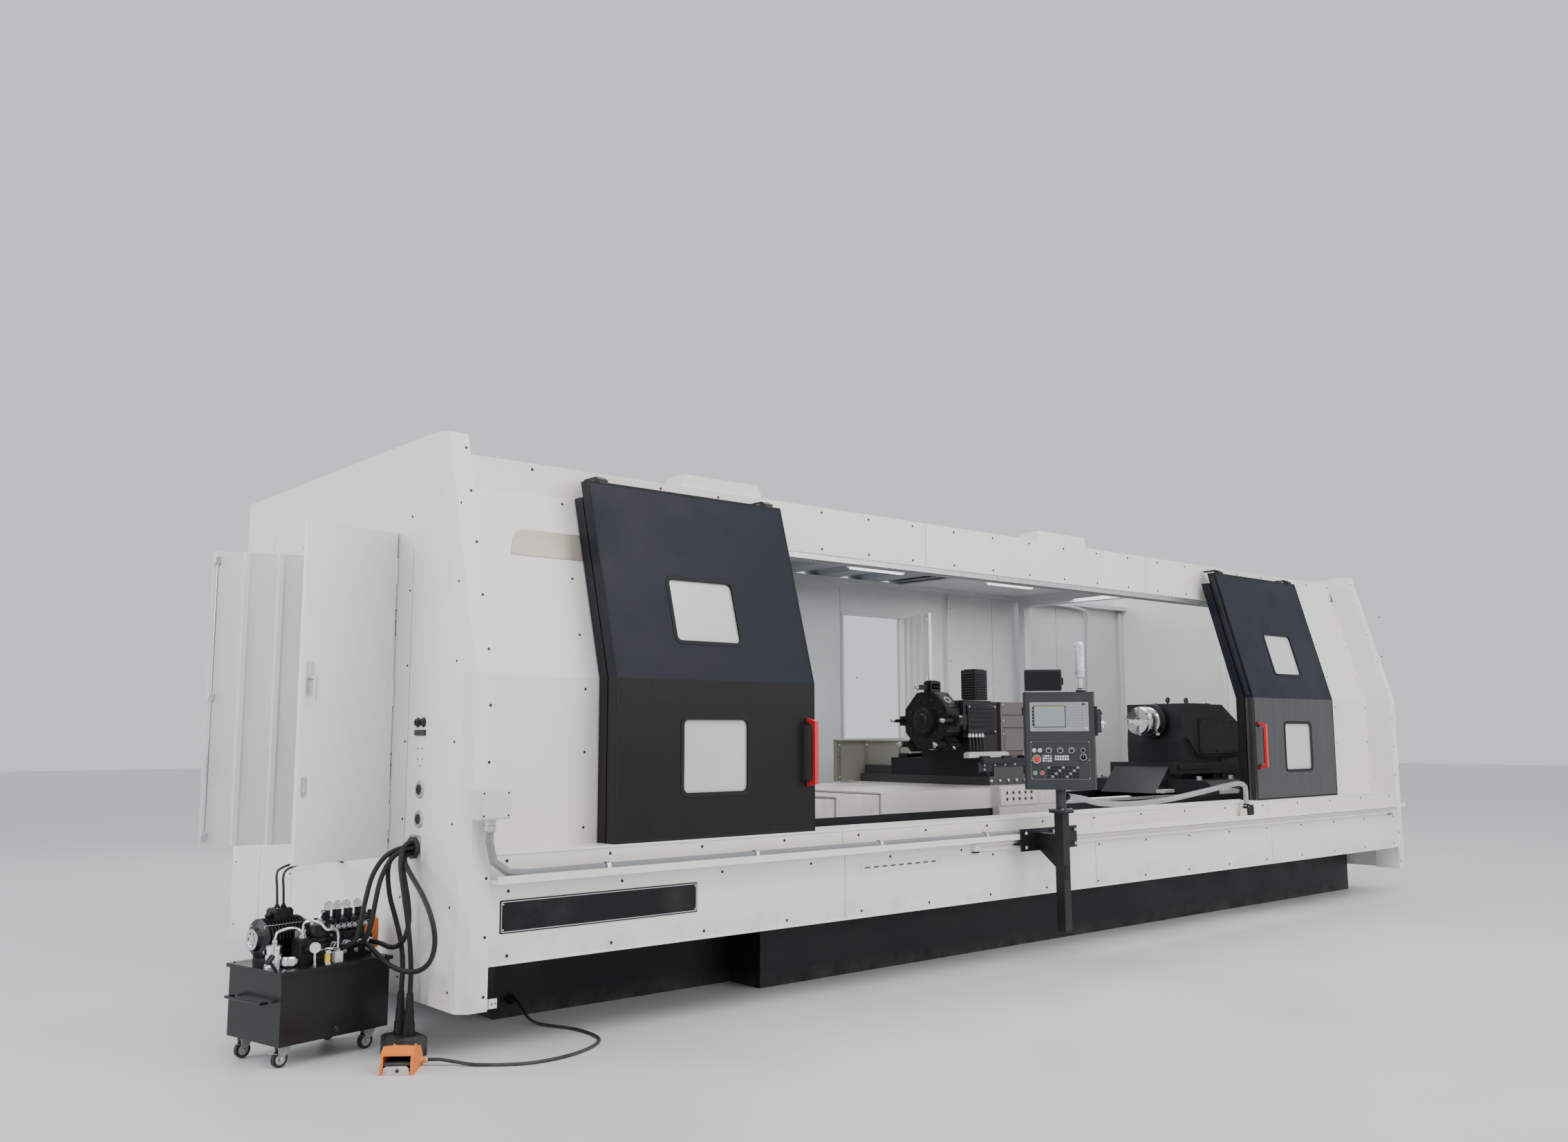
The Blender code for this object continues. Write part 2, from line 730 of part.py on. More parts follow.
def tray_leaf(name, x0, front, low, high, colour):
    """A pressed door leaf: a flat skin in front and a rim round its back."""
    back = front + DOOR_DEPTH
    x1 = x0 + DOOR_WIDTH
    leaf = prism_x(name, leaf_outline(front, back, low, high), x0, x1)
    pocket = prism_x("pocket", leaf_outline(front + DOOR_SKIN, back + OVERRUN, low + DOOR_EDGE, high - DOOR_EDGE),
                     x0 + DOOR_EDGE, x1 - DOOR_EDGE)
    cut(leaf, pocket)
    return painted(leaf, colour, 0.35)


def window_frame(x_mid, low, high, front):
    """Matrix from a flat pane lying in local X and Z to its place on the door face."""
    mid = (low + high) / 2
    lean = math.atan2(DOOR_LEAN, DOOR_TOP_Z - KINK_Z) if mid > KINK_Z else 0.0
    place = Matrix.Translation(Vector((x_mid, front + lean_at(mid), mid)))
    return place @ Matrix.Rotation(-lean, 4, "X"), math.cos(lean)


def pane(name, x_mid, low, high, front, grow, near, far):
    """A flat rounded plate in the door face; near and far are its depths behind the face."""
    frame, shrink = window_frame(x_mid, low, high, front)
    height = (high - low) / shrink + 2 * grow
    outline = rounded_outline(WINDOW_WIDTH + 2 * grow, height, WINDOW_CORNER + grow)
    plate = prism_y(name, outline, near, far)
    return move_by(plate, frame)


def build_front_door(side, x0, window_x, handle_x):
    parts = []
    low = SILL_Z + SEAT_GAP
    lead = tray_leaf(side + "_door", x0, DOOR_FRONT_Y, low, DOOR_TOP_Z, NAVY)
    spans = (("upper", UPPER_WINDOW_LOW_Z, UPPER_WINDOW_HIGH_Z), ("lower", LOWER_WINDOW_LOW_Z, LOWER_WINDOW_HIGH_Z))
    step = DOOR_SKIN / 2
    for label, z0, z1 in spans:
        hole = pane("hole", window_x, z0, z1, DOOR_FRONT_Y, 0.0, -OVERRUN, DOOR_DEPTH)
        rebate = pane("rebate", window_x, z0, z1, DOOR_FRONT_Y, WINDOW_CORNER / 2, step, DOOR_DEPTH)
        cut(lead, hole, rebate)
        glass = pane(side + "_" + label + "_window", window_x, z0, z1, DOOR_FRONT_Y,
                     WINDOW_CORNER / 2 - SEAT_GAP, step + SEAT_GAP, step + SEAT_GAP + GLASS_THICKNESS)
        parts.append(clear(glass, GLASS_TINT))
    trail_front = DOOR_FRONT_Y + DOOR_DEPTH + DOOR_SPACING
    trail = tray_leaf(side + "_rear_leaf", x0, trail_front, low, DOOR_TOP_Z - TRAIL_DROP, BROWN_BLACK)
    for label, z0, z1 in spans:
        hole = pane("hole", window_x, z0, z1, trail_front, 0.0, -OVERRUN, DOOR_DEPTH)
        cut(trail, hole)
    handle = build_handle(side + "_door_handle", handle_x)
    return [lead, trail, handle] + parts


def build_handle(name, x_mid):
    """A red upright pull: a bar on two legs."""
    back = DOOR_FRONT_Y - SEAT_GAP
    front = back - HANDLE_REACH
    bar = HANDLE_BAR
    outline = [(back, HANDLE_LOW_Z), (back, HANDLE_LOW_Z + bar), (front + bar, HANDLE_LOW_Z + 2 * bar),
               (front + bar, HANDLE_HIGH_Z - 2 * bar), (back, HANDLE_HIGH_Z - bar), (back, HANDLE_HIGH_Z),
               (front, HANDLE_HIGH_Z - bar), (front, HANDLE_LOW_Z + bar)]
    pull = prism_x(name, outline, x_mid - HANDLE_WIDTH / 2, x_mid + HANDLE_WIDTH / 2)
    return painted(pull, RED, 0.35)


def build_front_doors():
    window = WINDOW_OFFSET + WINDOW_WIDTH / 2
    left_x = along(LEFT_DOOR_X)
    right_x = along(RIGHT_DOOR_X)
    left = build_front_door("left", left_x, left_x + window, left_x + DOOR_WIDTH - HANDLE_INSET)
    right = build_front_door("right", right_x, right_x + DOOR_WIDTH - window, right_x + HANDLE_INSET)
    return left + right


def build_header():
    x0 = -HALF_LENGTH + CAP_PLATE + SEAT_GAP
    x1 = HALF_LENGTH - CAP_PLATE - SEAT_GAP
    back = HEADER_Y + HEADER_DEPTH
    sheet = HEADER_SHEET
    shelf = WALL_TOP_Z
    outline = [(HEADER_Y, HEADER_LOW_Z), (HEADER_Y, HEADER_HIGH_Z), (back, HEADER_HIGH_Z),
               (back, shelf), (back + HEADER_LEDGE, shelf), (back + HEADER_LEDGE, shelf - sheet),
               (back, shelf - sheet), (back, HEADER_LOW_Z), (back - sheet, HEADER_LOW_Z),
               (back - sheet, HEADER_HIGH_Z - sheet), (HEADER_Y + sheet, HEADER_HIGH_Z - sheet),
               (HEADER_Y + sheet, HEADER_LOW_Z + HEADER_SLOT_DEPTH),
               (HEADER_Y + sheet + HEADER_SLOT, HEADER_LOW_Z + HEADER_SLOT_DEPTH),
               (HEADER_Y + sheet + HEADER_SLOT, HEADER_LOW_Z)]
    header = prism_x("header_beam", outline, x0, x1)
    for start in HEADER_BOX_STARTS:
        b0 = along(start)
        b1 = b0 + HEADER_BOX_LENGTH
        high = HEADER_HIGH_Z + HEADER_BOX_HEIGHT
        low = HEADER_HIGH_Z - sheet / 2
        raised = prism_y("raised", [(b0, low), (b1, low), (b1 - HEADER_BOX_TAPER, high),
                                    (b0 + HEADER_BOX_TAPER, high)], HEADER_Y + sheet, back - sheet)
        union(header, raised)
    return painted(header, CREAM, 0.45)


def build_rear_wall():
    x0 = -HALF_LENGTH + CAP_PLATE + SEAT_GAP
    x1 = HALF_LENGTH - CAP_PLATE - SEAT_GAP
    back = WALL_Y + WALL_THICKNESS
    ledge = WALL_Y - WALL_LEDGE_REACH
    outline = [(WALL_Y, WALL_BOTTOM_Z), (WALL_Y, WALL_TOP_Z - WALL_THICKNESS), (ledge, WALL_TOP_Z - WALL_THICKNESS),
               (ledge, WALL_TOP_Z), (back, WALL_TOP_Z), (back, WALL_BOTTOM_Z)]
    wall = prism_x("rear_wall", outline, x0, x1)
    doorway = box("doorway", along(DOORWAY_START), along(DOORWAY_START) + DOORWAY_WIDTH,
                  WALL_Y - OVERRUN, back + OVERRUN, DOORWAY_LOW_Z, DOORWAY_HIGH_Z)
    return painted(cut(wall, doorway), LIGHT_GREY, 0.5)


def ribbed_leaf(name, width, low, high, ribs, side):
    """A hinged leaf from its knuckles at X = 0; its pressed ribs stand on the side that faces the opening."""
    face = HINGE_KNUCKLE - SEAT_GAP
    front = face - LEAF_THICKNESS
    outline = [(0.0, front * side), (width, front * side), (width, face * side)]
    pitch = width / (ribs + 1)
    half = LEAF_RIB_WIDTH / 2
    for i in range(ribs, 0, -1):
        mid = pitch * i
        top = (face + LEAF_RIB_HEIGHT) * side
        outline += [(mid + half, face * side), (mid + half / 2, top), (mid - half / 2, top), (mid - half, face * side)]
    outline += [(0.0, face * side)]
    leaf = prism_z(name, outline, low, high)
    knuckle = HINGE_LENGTH_SHARE * (high - low)
    for share in HINGE_SHARES:
        mid = low + share * (high - low)
        union(leaf, cylinder("knuckle", (0.0, 0.0, mid - knuckle / 2), (0.0, 0.0, mid + knuckle / 2), HINGE_KNUCKLE, 16))
    return leaf


def hang(leaf, hinge, degrees, low, high):
    """Swing a leaf about its hinge and put its origin there."""
    move_by(leaf, Matrix.Translation(hinge) @ Matrix.Rotation(math.radians(degrees), 4, "Z"))
    set_origin(leaf, (hinge.x, hinge.y, (low + high) / 2))
    return painted(leaf, WHITE, 0.4)


def build_rear_door():
    """Leaf of the rear service doorway, open into the machine."""
    hinge = Vector((along(DOORWAY_START) + DOORWAY_WIDTH, WALL_Y - HINGE_KNUCKLE - SEAT_GAP, 0.0))
    leaf = ribbed_leaf("rear_door", LEAF_WIDTH, DOORWAY_LOW_Z + LEAF_MARGIN / 2,
                       DOORWAY_HIGH_Z - LEAF_MARGIN / 2, 4, -1)
    return hang(leaf, hinge, 180.0 + REAR_DOOR_OPEN, DOORWAY_LOW_Z, DOORWAY_HIGH_Z)


def ribbed_sheet(name, x0, x1, ribs, y0, y1, low):
    """A corrugated roof sheet with its ribs running front to rear."""
    pitch = (x1 - x0) / ribs
    under = []
    for i in range(ribs):
        a = x0 + pitch * i
        under += [(a, low), (a + pitch * 0.45, low), (a + pitch * 0.55, low + ROOF_RIB_HEIGHT),
                  (a + pitch * 0.90, low + ROOF_RIB_HEIGHT)]
    under += [(x1, low)]
    over = [(x, z + ROOF_SHEET) for x, z in reversed(under)]
    return prism_y(name, under + over, y0, y1)


def roof_span():
    front = HEADER_Y + HEADER_DEPTH + RUN_GAP
    rear = WALL_Y + WALL_THICKNESS - RUN_GAP
    return front, rear


def build_sliding_roof():
    front, rear = roof_span()
    sheet = ribbed_sheet("sliding_roof", along(ROOF_START), along(ROOF_COVER_END), ROOF_RIBS,
                         front, rear, WALL_TOP_Z + SEAT_GAP)
    return painted(sheet, BLUE_GREY, 0.45)


def build_fixed_roof():
    """Flat roof sheet between the ledges, its cross bow and the upright that carries the bow."""
    x0 = along(ROOF_COVER_END) - OVERRUN
    x1 = along(ROOF_BEAM_START) + ROOF_BEAM_WIDTH
    high = WALL_TOP_Z - RUN_GAP
    front = HEADER_Y + HEADER_DEPTH + HEADER_LEDGE + SEAT_GAP
    rear = WALL_Y - WALL_LEDGE_REACH - SEAT_GAP
    roof = box("fixed_roof", x0, x1, front, rear, high - ROOF_SHEET, high)
    bow_x = along(ROOF_BEAM_START)
    bow = box("bow", bow_x, x1, front, rear, high - ROOF_BEAM_DEPTH, high - ROOF_SHEET / 2)
    post = box("post", bow_x, x1, rear - ROOF_POST_DEPTH, rear, WALL_BOTTOM_Z + OVERRUN, high - ROOF_BEAM_DEPTH / 2)
    return painted(union(roof, bow, post), LIGHT_GREY, 0.5)


def build_cabinet():
    """Electrical cabinet tray with rows of mounted units on its back plate."""
    x0 = -HALF_LENGTH + CAP_PLATE + SEAT_GAP
    x1 = x0 + CABINET_DEPTH
    sheet = CABINET_SHEET
    tray = box("cabinet_box", x0, x1, CABINET_FRONT_Y - sheet, CABINET_REAR_Y + sheet,
               CABINET_LOW_Z - sheet, CABINET_HIGH_Z + sheet)
    hollow = box("hollow", x0 - OVERRUN, x1 - sheet, CABINET_FRONT_Y, CABINET_REAR_Y,
                 CABINET_LOW_Z, CABINET_HIGH_Z)
    cut(tray, hollow)
    width = CABINET_REAR_Y - CABINET_FRONT_Y
    row_pitch = (CABINET_HIGH_Z - CABINET_LOW_Z) / CABINET_ROWS
    unit_pitch = width / CABINET_UNITS
    back = x1 - sheet / 2
    for row in range(CABINET_ROWS):
        low = CABINET_LOW_Z + row_pitch * (row + 0.22)
        high = CABINET_LOW_Z + row_pitch * (row + 0.78)
        outline = [(back, CABINET_FRONT_Y + unit_pitch * 0.10)]
        for unit in range(CABINET_UNITS):
            depth = CABINET_UNIT_DEPTH * (1.0 if (unit + row) % 2 else 0.7)
            front = back - depth
            start = CABINET_FRONT_Y + unit_pitch * (unit + 0.10)
            end = CABINET_FRONT_Y + unit_pitch * (unit + 0.90)
            outline += [(front, start), (front, end)]
            if unit < CABINET_UNITS - 1:
                outline += [(back - sheet, end), (back - sheet, end + unit_pitch * 0.20)]
        outline += [(back, CABINET_REAR_Y - unit_pitch * 0.10)]
        union(tray, prism_z("row", outline, low, high))
    return painted(tray, LIGHT_GREY, 0.5)


def cabinet_leaf_width():
    return (CABINET_REAR_Y - CABINET_FRONT_Y) / 2 - LEAF_MARGIN / 2


def cabinet_hinge(y):
    return Vector((-HALF_LENGTH - HINGE_KNUCKLE - SEAT_GAP, y, 0.0))


def build_cabinet_door(name, hinge_y, direction, ribs):
    """A cabinet leaf, open past square; direction is the way its free edge points when closed."""
    leaf = ribbed_leaf(name, cabinet_leaf_width(), CABINET_LOW_Z + LEAF_MARGIN / 2,
                       CABINET_HIGH_Z - LEAF_MARGIN / 2, ribs, -direction)
    turn = direction * (90.0 + CABINET_DOOR_OPEN)
    return hang(leaf, cabinet_hinge(hinge_y), turn, CABINET_LOW_Z, CABINET_HIGH_Z)


def build_lever():
    """Lock lever on the outer face of the front cabinet door, built in closed place then swung."""
    hinge = cabinet_hinge(CABINET_FRONT_Y)
    mid_y = CABINET_FRONT_Y + cabinet_leaf_width() - LEVER_INSET
    face = hinge.x + HINGE_KNUCKLE - SEAT_GAP - LEAF_THICKNESS - SEAT_GAP
    plate = box("cabinet_lever", face - LEVER_PLATE_SHEET, face, mid_y - LEVER_PLATE_WIDTH / 2,
                mid_y + LEVER_PLATE_WIDTH / 2, LEVER_Z - LEVER_PLATE_HEIGHT / 2, LEVER_Z + LEVER_PLATE_HEIGHT / 2)
    half = LEVER_BAR / 2
    stem = cylinder("stem", (face - LEVER_STANDOFF, mid_y, LEVER_Z), (face - LEVER_PLATE_SHEET / 2, mid_y, LEVER_Z),
                    LEVER_BAR * 0.6, 12)
    bar = box("bar", face - LEVER_STANDOFF - half, face - LEVER_STANDOFF + half, mid_y - half, mid_y + half,
              LEVER_Z - LEVER_LENGTH, LEVER_Z + half)
    union(plate, stem, bar)
    swing = turn_about(hinge, "Z", CABINET_DOOR_OPEN)
    move_by(plate, swing)
    set_origin(plate, swing @ Vector((face, mid_y, LEVER_Z)))
    return metal(plate, SILVER, 0.35)


def build_service_door():
    """Leaf of the doorway in the right end, swung outward."""
    width = SERVICE_REAR_Y - SERVICE_FRONT_Y - LEAF_MARGIN
    leaf = ribbed_leaf("service_door", width, SERVICE_LOW_Z + LEAF_MARGIN / 2, SERVICE_HIGH_Z - LEAF_MARGIN / 2, 3, -1)
    hinge = Vector((HALF_LENGTH + HINGE_KNUCKLE + SEAT_GAP, SERVICE_REAR_Y, 0.0))
    return hang(leaf, hinge, SERVICE_DOOR_OPEN - 90.0, SERVICE_LOW_Z, SERVICE_HIGH_Z)


def build_bed():
    rail = WAY_WIDTH
    half = BED_HALF_WIDTH
    under = BED_TOP_Z - WAY_HEIGHT
    trough = BED_TOP_Z - TROUGH_DEPTH
    outline = [(BASE_FRONT_Y, 0.0), (BASE_FRONT_Y, BASE_HEIGHT), (-BED_WALL_HALF, BASE_HEIGHT),
               (-BED_WALL_HALF, under), (-half, under), (-half, BED_TOP_Z), (-half + rail, BED_TOP_Z),
               (-half + rail, trough), (half - rail, trough), (half - rail, BED_TOP_Z), (half, BED_TOP_Z),
               (half, under), (BED_WALL_HALF, under), (BED_WALL_HALF, BASE_HEIGHT),
               (BASE_REAR_Y, BASE_HEIGHT), (BASE_REAR_Y, 0.0)]
    bed = prism_x("bed", outline, along(BASE_START), along(BASE_END))
    head = box("head", along(HEAD_BASE_START), along(BED_START) + OVERRUN, HEAD_BASE_FRONT_Y, BASE_REAR_Y - OVERRUN,
               0.0, BED_TOP_Z)
    spine_low = APRON_BOTTOM_Z + APRON_SHEET
    spine_high = spine_low + 2 * WALL_THICKNESS
    spine = box("spine", -HALF_LENGTH + CAP_PLATE + SEAT_GAP, HALF_LENGTH - CAP_PLATE - SEAT_GAP,
                -WALL_THICKNESS, WALL_THICKNESS, spine_low, spine_high)
    union(bed, head, spine)
    for share in (0.10, 0.36, 0.62, 0.88):
        mid = along(MACHINE_LENGTH * share)
        arm = box("arm", mid - WALL_THICKNESS, mid + WALL_THICKNESS, INNER_FRONT_Y + SEAT_GAP, WALL_Y - SEAT_GAP,
                  spine_low + SEAT_GAP, spine_high + SEAT_GAP)
        union(bed, arm)
    gland = cylinder("gland", (along(CABLE_EXIT), HEAD_BASE_FRONT_Y + APRON_SHEET, CABLE_EXIT_Z),
                     (along(CABLE_EXIT), HEAD_BASE_FRONT_Y - GLAND_LENGTH, CABLE_EXIT_Z), GLAND_RADIUS, 16)
    union(bed, gland)
    return painted(bed, BLACK, 0.5)


def build_headstock():
    """Headstock casting with the guard plate at its inner end, and a through bore for the spindle."""
    x0 = along(HEAD_START)
    x1 = along(HEAD_END)
    low = BED_TOP_Z + SEAT_GAP
    outline = [(-HEAD_HALF_WIDTH, low), (-HEAD_HALF_WIDTH, HEAD_TOP_Z - GUARD_THICKNESS),
               (-HEAD_HALF_WIDTH + GUARD_THICKNESS, HEAD_TOP_Z), (HEAD_HALF_WIDTH - GUARD_THICKNESS, HEAD_TOP_Z),
               (HEAD_HALF_WIDTH, HEAD_TOP_Z - GUARD_THICKNESS), (HEAD_HALF_WIDTH, low)]
    head = prism_x("headstock", outline, x0, x1)
    collar = turned("collar", (x1 - OVERRUN, 0.0, SPINDLE_Z), (1, 0, 0),
                    [(0.0, NOSE_RADIUS + GUARD_THICKNESS / 2), (OVERRUN + NOSE_LENGTH / 2, NOSE_RADIUS)])
    union(head, collar)
    bore = cylinder("bore", (x0 - OVERRUN, 0.0, SPINDLE_Z), (x1 + OVERRUN + NOSE_LENGTH, 0.0, SPINDLE_Z),
                    round_bore(SPINDLE_RADIUS, FINE_SIDES), FINE_SIDES)
    cut(head, bore)
    return shade(painted(head, SATIN_BLACK, 0.45))


def chuck_start():
    return along(HEAD_END) + NOSE_LENGTH / 2 + RUN_GAP


def build_spindle():
    """Spindle and chuck body as one turning piece with four radial jaw slots."""
    x0 = along(HEAD_START) - SPINDLE_TAIL
    face = chuck_start()
    flange = NOSE_LENGTH
    end = face + flange + CHUCK_LENGTH
    profile = [(0.0, SPINDLE_RADIUS), (face - x0, SPINDLE_RADIUS), (face - x0, NOSE_RADIUS - RUN_GAP),
               (face + flange - x0, NOSE_RADIUS - RUN_GAP), (face + flange - x0, CHUCK_RADIUS - RUN_GAP * 5),
               (face + flange + RUN_GAP * 5 - x0, CHUCK_RADIUS), (end - RUN_GAP * 5 - x0, CHUCK_RADIUS),
               (end - x0, CHUCK_RADIUS - RUN_GAP * 5)]
    chuck = turned("chuck", (x0, 0.0, SPINDLE_Z), (1, 0, 0), profile, FINE_SIDES)
    bore = cylinder("bore", (x0 - OVERRUN, 0.0, SPINDLE_Z), (end + OVERRUN, 0.0, SPINDLE_Z), SPINDLE_BORE)
    cut(chuck, bore)
    half = JAW_WIDTH / 2
    cross = box("cross", end - JAW_SLOT_DEPTH, end + OVERRUN, -half, half,
                SPINDLE_Z - CHUCK_RADIUS - OVERRUN, SPINDLE_Z + CHUCK_RADIUS + OVERRUN)
    other = box("other", end - JAW_SLOT_DEPTH, end + OVERRUN, -CHUCK_RADIUS - OVERRUN, CHUCK_RADIUS + OVERRUN,
                SPINDLE_Z - half, SPINDLE_Z + half)
    cut(chuck, cross, other)
    set_origin(chuck, (end, 0.0, SPINDLE_Z))
    return shade(metal(chuck, STEEL, 0.35)), end


def build_jaws(face):
    """Four stepped jaws seated in the chuck slots."""
    jaws = []
    x0 = face - JAW_SLOT_DEPTH + SEAT_GAP
    half = JAW_WIDTH / 2 - SEAT_GAP
    step = (JAW_OUTER - JAW_INNER) / 3
    rise = (JAW_HEIGHT - JAW_SLOT_DEPTH) / 2
    for i in range(JAW_COUNT):
        outline = [(x0, JAW_INNER), (x0, JAW_OUTER), (face + rise / 2, JAW_OUTER), (face + rise / 2, JAW_OUTER - step),
                   (face + rise, JAW_OUTER - step), (face + rise, JAW_OUTER - 2 * step),
                   (face + 2 * rise, JAW_OUTER - 2 * step), (face + 2 * rise, JAW_INNER)]
        jaw = prism("chuck_jaw_%d" % (i + 1), outline, -half, half, lambda a, b, t: (a, t, b))
        turn = Matrix.Translation(Vector((0.0, 0.0, SPINDLE_Z))) @ Matrix.Rotation(math.radians(90.0 * i), 4, "X")
        move_by(jaw, turn)
        set_origin(jaw, turn @ Vector((face, 0.0, (JAW_INNER + JAW_OUTER) / 2)))
        jaws.append(metal(jaw, SILVER, 0.3))
    return jaws


def build_saddle():
    """Carriage casting over the ways, with the cross ways and the swarf guard behind."""
    x0 = along(SADDLE_START)
    x1 = x0 + SADDLE_LENGTH
    low = BED_TOP_Z + SEAT_GAP
    skirt = BED_TOP_Z - SADDLE_SKIRT
    inner = BED_HALF_WIDTH + RUN_GAP
    outline = [(SADDLE_FRONT_Y, skirt), (SADDLE_FRONT_Y, SADDLE_TOP_Z), (SADDLE_REAR_Y, SADDLE_TOP_Z),
               (SADDLE_REAR_Y, skirt), (inner, skirt), (inner, low), (-inner, low), (-inner, skirt)]
    saddle = prism_x("saddle", outline, x0, x1)
    b0 = x0 + BRIDGE_MARGIN
    b1 = x1 - BRIDGE_MARGIN
    inset = DOVETAIL_INSET
    mid = (SADDLE_TOP_Z + BRIDGE_TOP_Z) / 2
    bridge = prism_y("bridge", [(b0, SADDLE_TOP_Z - inset / 2), (b0, mid), (b0 + inset, mid),
                                (b0 + inset, BRIDGE_TOP_Z), (b1 - inset, BRIDGE_TOP_Z), (b1 - inset, mid),
                                (b1, mid), (b1, SADDLE_TOP_Z - inset / 2)], BRIDGE_FRONT_Y, BRIDGE_REAR_Y)
    guard_x = along(GUARD_START)
    guard = box("guard", guard_x, guard_x + GUARD_LENGTH, GUARD_Y, GUARD_Y + GUARD_SHEET, GUARD_LOW_Z, GUARD_TOP_Z)
    foot = box("foot", x0 + BRIDGE_MARGIN, x1 - BRIDGE_MARGIN, GUARD_Y, GUARD_Y + 2 * GUARD_SHEET,
               SADDLE_TOP_Z - inset / 2, GUARD_LOW_Z + inset)
    cover = cover_stage("cover", x0 - CARRIAGE_COVER_LENGTH, CARRIAGE_COVER_LENGTH + BRIDGE_MARGIN / 2, 0, PALE_GREY, RUN_GAP)
    union(saddle, bridge, guard, foot, cover)
    return painted(saddle, PALE_GREY, 0.5)


def build_cross_slide():
    x0 = along(SADDLE_START) + BRIDGE_MARGIN
    x1 = x0 + SADDLE_LENGTH - 2 * BRIDGE_MARGIN
    inset = DOVETAIL_INSET
    low = BRIDGE_TOP_Z + SEAT_GAP
    skirt = (SADDLE_TOP_Z + BRIDGE_TOP_Z) / 2 + RUN_GAP
    inner = inset - SEAT_GAP
    outline = [(x0, skirt), (x0, SLIDE_TOP_Z), (x1, SLIDE_TOP_Z), (x1, skirt), (x1 - inner, skirt),
               (x1 - inner, low), (x0 + inner, low), (x0 + inner, skirt)]
    slide = prism_y("cross_slide", outline, SLIDE_FRONT_Y, SLIDE_REAR_Y)
    return painted(slide, SATIN_BLACK, 0.5)


def build_turret_body():
    """Indexing head, its taller rear housing and the drive box on top, on the cross slide."""
    x0 = along(TURRET_BODY_START)
    low = SLIDE_TOP_Z + SEAT_GAP
    body = box("turret_body", x0, x0 + TURRET_BODY_LENGTH + OVERRUN, TURRET_Y - TURRET_BODY_HALF,
               TURRET_Y + TURRET_BODY_HALF, TURRET_Z - DISC_RADIUS * 0.6, TURRET_TOP_Z)
    foot = box("foot", x0 + OVERRUN, x0 + TURRET_BODY_LENGTH + OVERRUN, TURRET_Y - TURRET_BODY_HALF,
               TURRET_Y + TURRET_BODY_HALF, low, TURRET_Z)
    c0 = along(COLUMN_START)
    c1 = c0 + COLUMN_LENGTH
    notch = COLUMN_LENGTH / 4
    drop = (TURRET_TOP_Z - low) * 0.45
    column = prism_y("column", [(c0, low), (c0, TURRET_TOP_Z), (c1, TURRET_TOP_Z), (c1, low + drop),
                                (c1 - notch, low + drop), (c1 - notch, low)], COLUMN_FRONT_Y, COLUMN_REAR_Y)
    half = TURRET_MOTOR_SIDE / 2
    motor_x = along(TURRET_MOTOR_X)
    motor = box("motor", motor_x - half, motor_x + half, TURRET_MOTOR_Y - half, TURRET_MOTOR_Y + half,
                TURRET_TOP_Z - half, TURRET_TOP_Z + TURRET_MOTOR_HEIGHT)
    union(body, foot, column, motor)
    return painted(body, WARM_GREY, 0.45)


def build_turret_disc():
    """Eight-station disc with five tool blocks and their shanks."""
    x1 = along(TURRET_BODY_START) - SEAT_GAP
    x0 = x1 - DISC_THICKNESS
    flat = DISC_RADIUS / math.cos(math.pi / DISC_STATIONS)
    outline = [(TURRET_Y + y, TURRET_Z + z)
               for y, z in arc_points(flat, DISC_STATIONS, math.pi / DISC_STATIONS)]
    disc = prism_x("turret_disc", outline, x0, x1)
    hub = cylinder("hub", (x0 - DISC_THICKNESS / 5, TURRET_Y, TURRET_Z), (x0 + OVERRUN, TURRET_Y, TURRET_Z),
                   DISC_RADIUS / 2)
    union(disc, hub)
    half = TOOL_WIDTH / 2
    mid = (x0 + x1) / 2
    for i in range(DISC_STATIONS):
        angle = 2 * math.pi * i / DISC_STATIONS
        turn = Matrix.Translation(Vector((0.0, TURRET_Y, TURRET_Z))) @ Matrix.Rotation(angle, 4, "X")
        if i in TOOL_STATIONS:
            block = box("block", mid - TOOL_DEPTH / 2, mid + TOOL_DEPTH / 2, -half, half,
                        DISC_RADIUS - half, DISC_RADIUS + TOOL_REACH)
            shank = box("shank", x0 - TOOL_REACH, mid, -half / 3, half / 3,
                        DISC_RADIUS + TOOL_REACH / 4, DISC_RADIUS + TOOL_REACH * 0.7)
            union(disc, move_by(block, turn), move_by(shank, turn))
        else:
            socket = cylinder("socket", (mid, 0.0, DISC_RADIUS - half), (mid, 0.0, DISC_RADIUS + OVERRUN), half / 2, 12)
            cut(disc, move_by(socket, turn))
    set_origin(disc, (x1, TURRET_Y, TURRET_Z))
    return painted(disc, BLACK, 0.35)


def cover_stage(name, x0, length, stage, colour, gap):
    """One telescopic hat over the ways; stage 0 is the outermost."""
    step = COVER_STEP * stage
    top = COVER_TOP_Z - step
    half = BED_HALF_WIDTH - step
    sheet = COVER_SHEET
    low = BED_TOP_Z + gap
    outline = [(-half, low), (-half, top), (half, top), (half, low), (half - sheet, low), (half - sheet, top - sheet),
               (-half + sheet, top - sheet), (-half + sheet, low)]
    return painted(prism_x(name, outline, x0, x0 + length), colour, 0.5)


def build_way_covers():
    """The inner two of three telescopic covers; the outermost is part of the saddle."""
    cover_stage("fixed_way_cover", along(HEAD_END) + SEAT_GAP, FIXED_COVER_LENGTH, 2, PALE_GREY, SEAT_GAP)
    cover_stage("middle_way_cover", along(MIDDLE_COVER_START), MIDDLE_COVER_LENGTH, 1, LIGHT_GREY, SEAT_GAP)


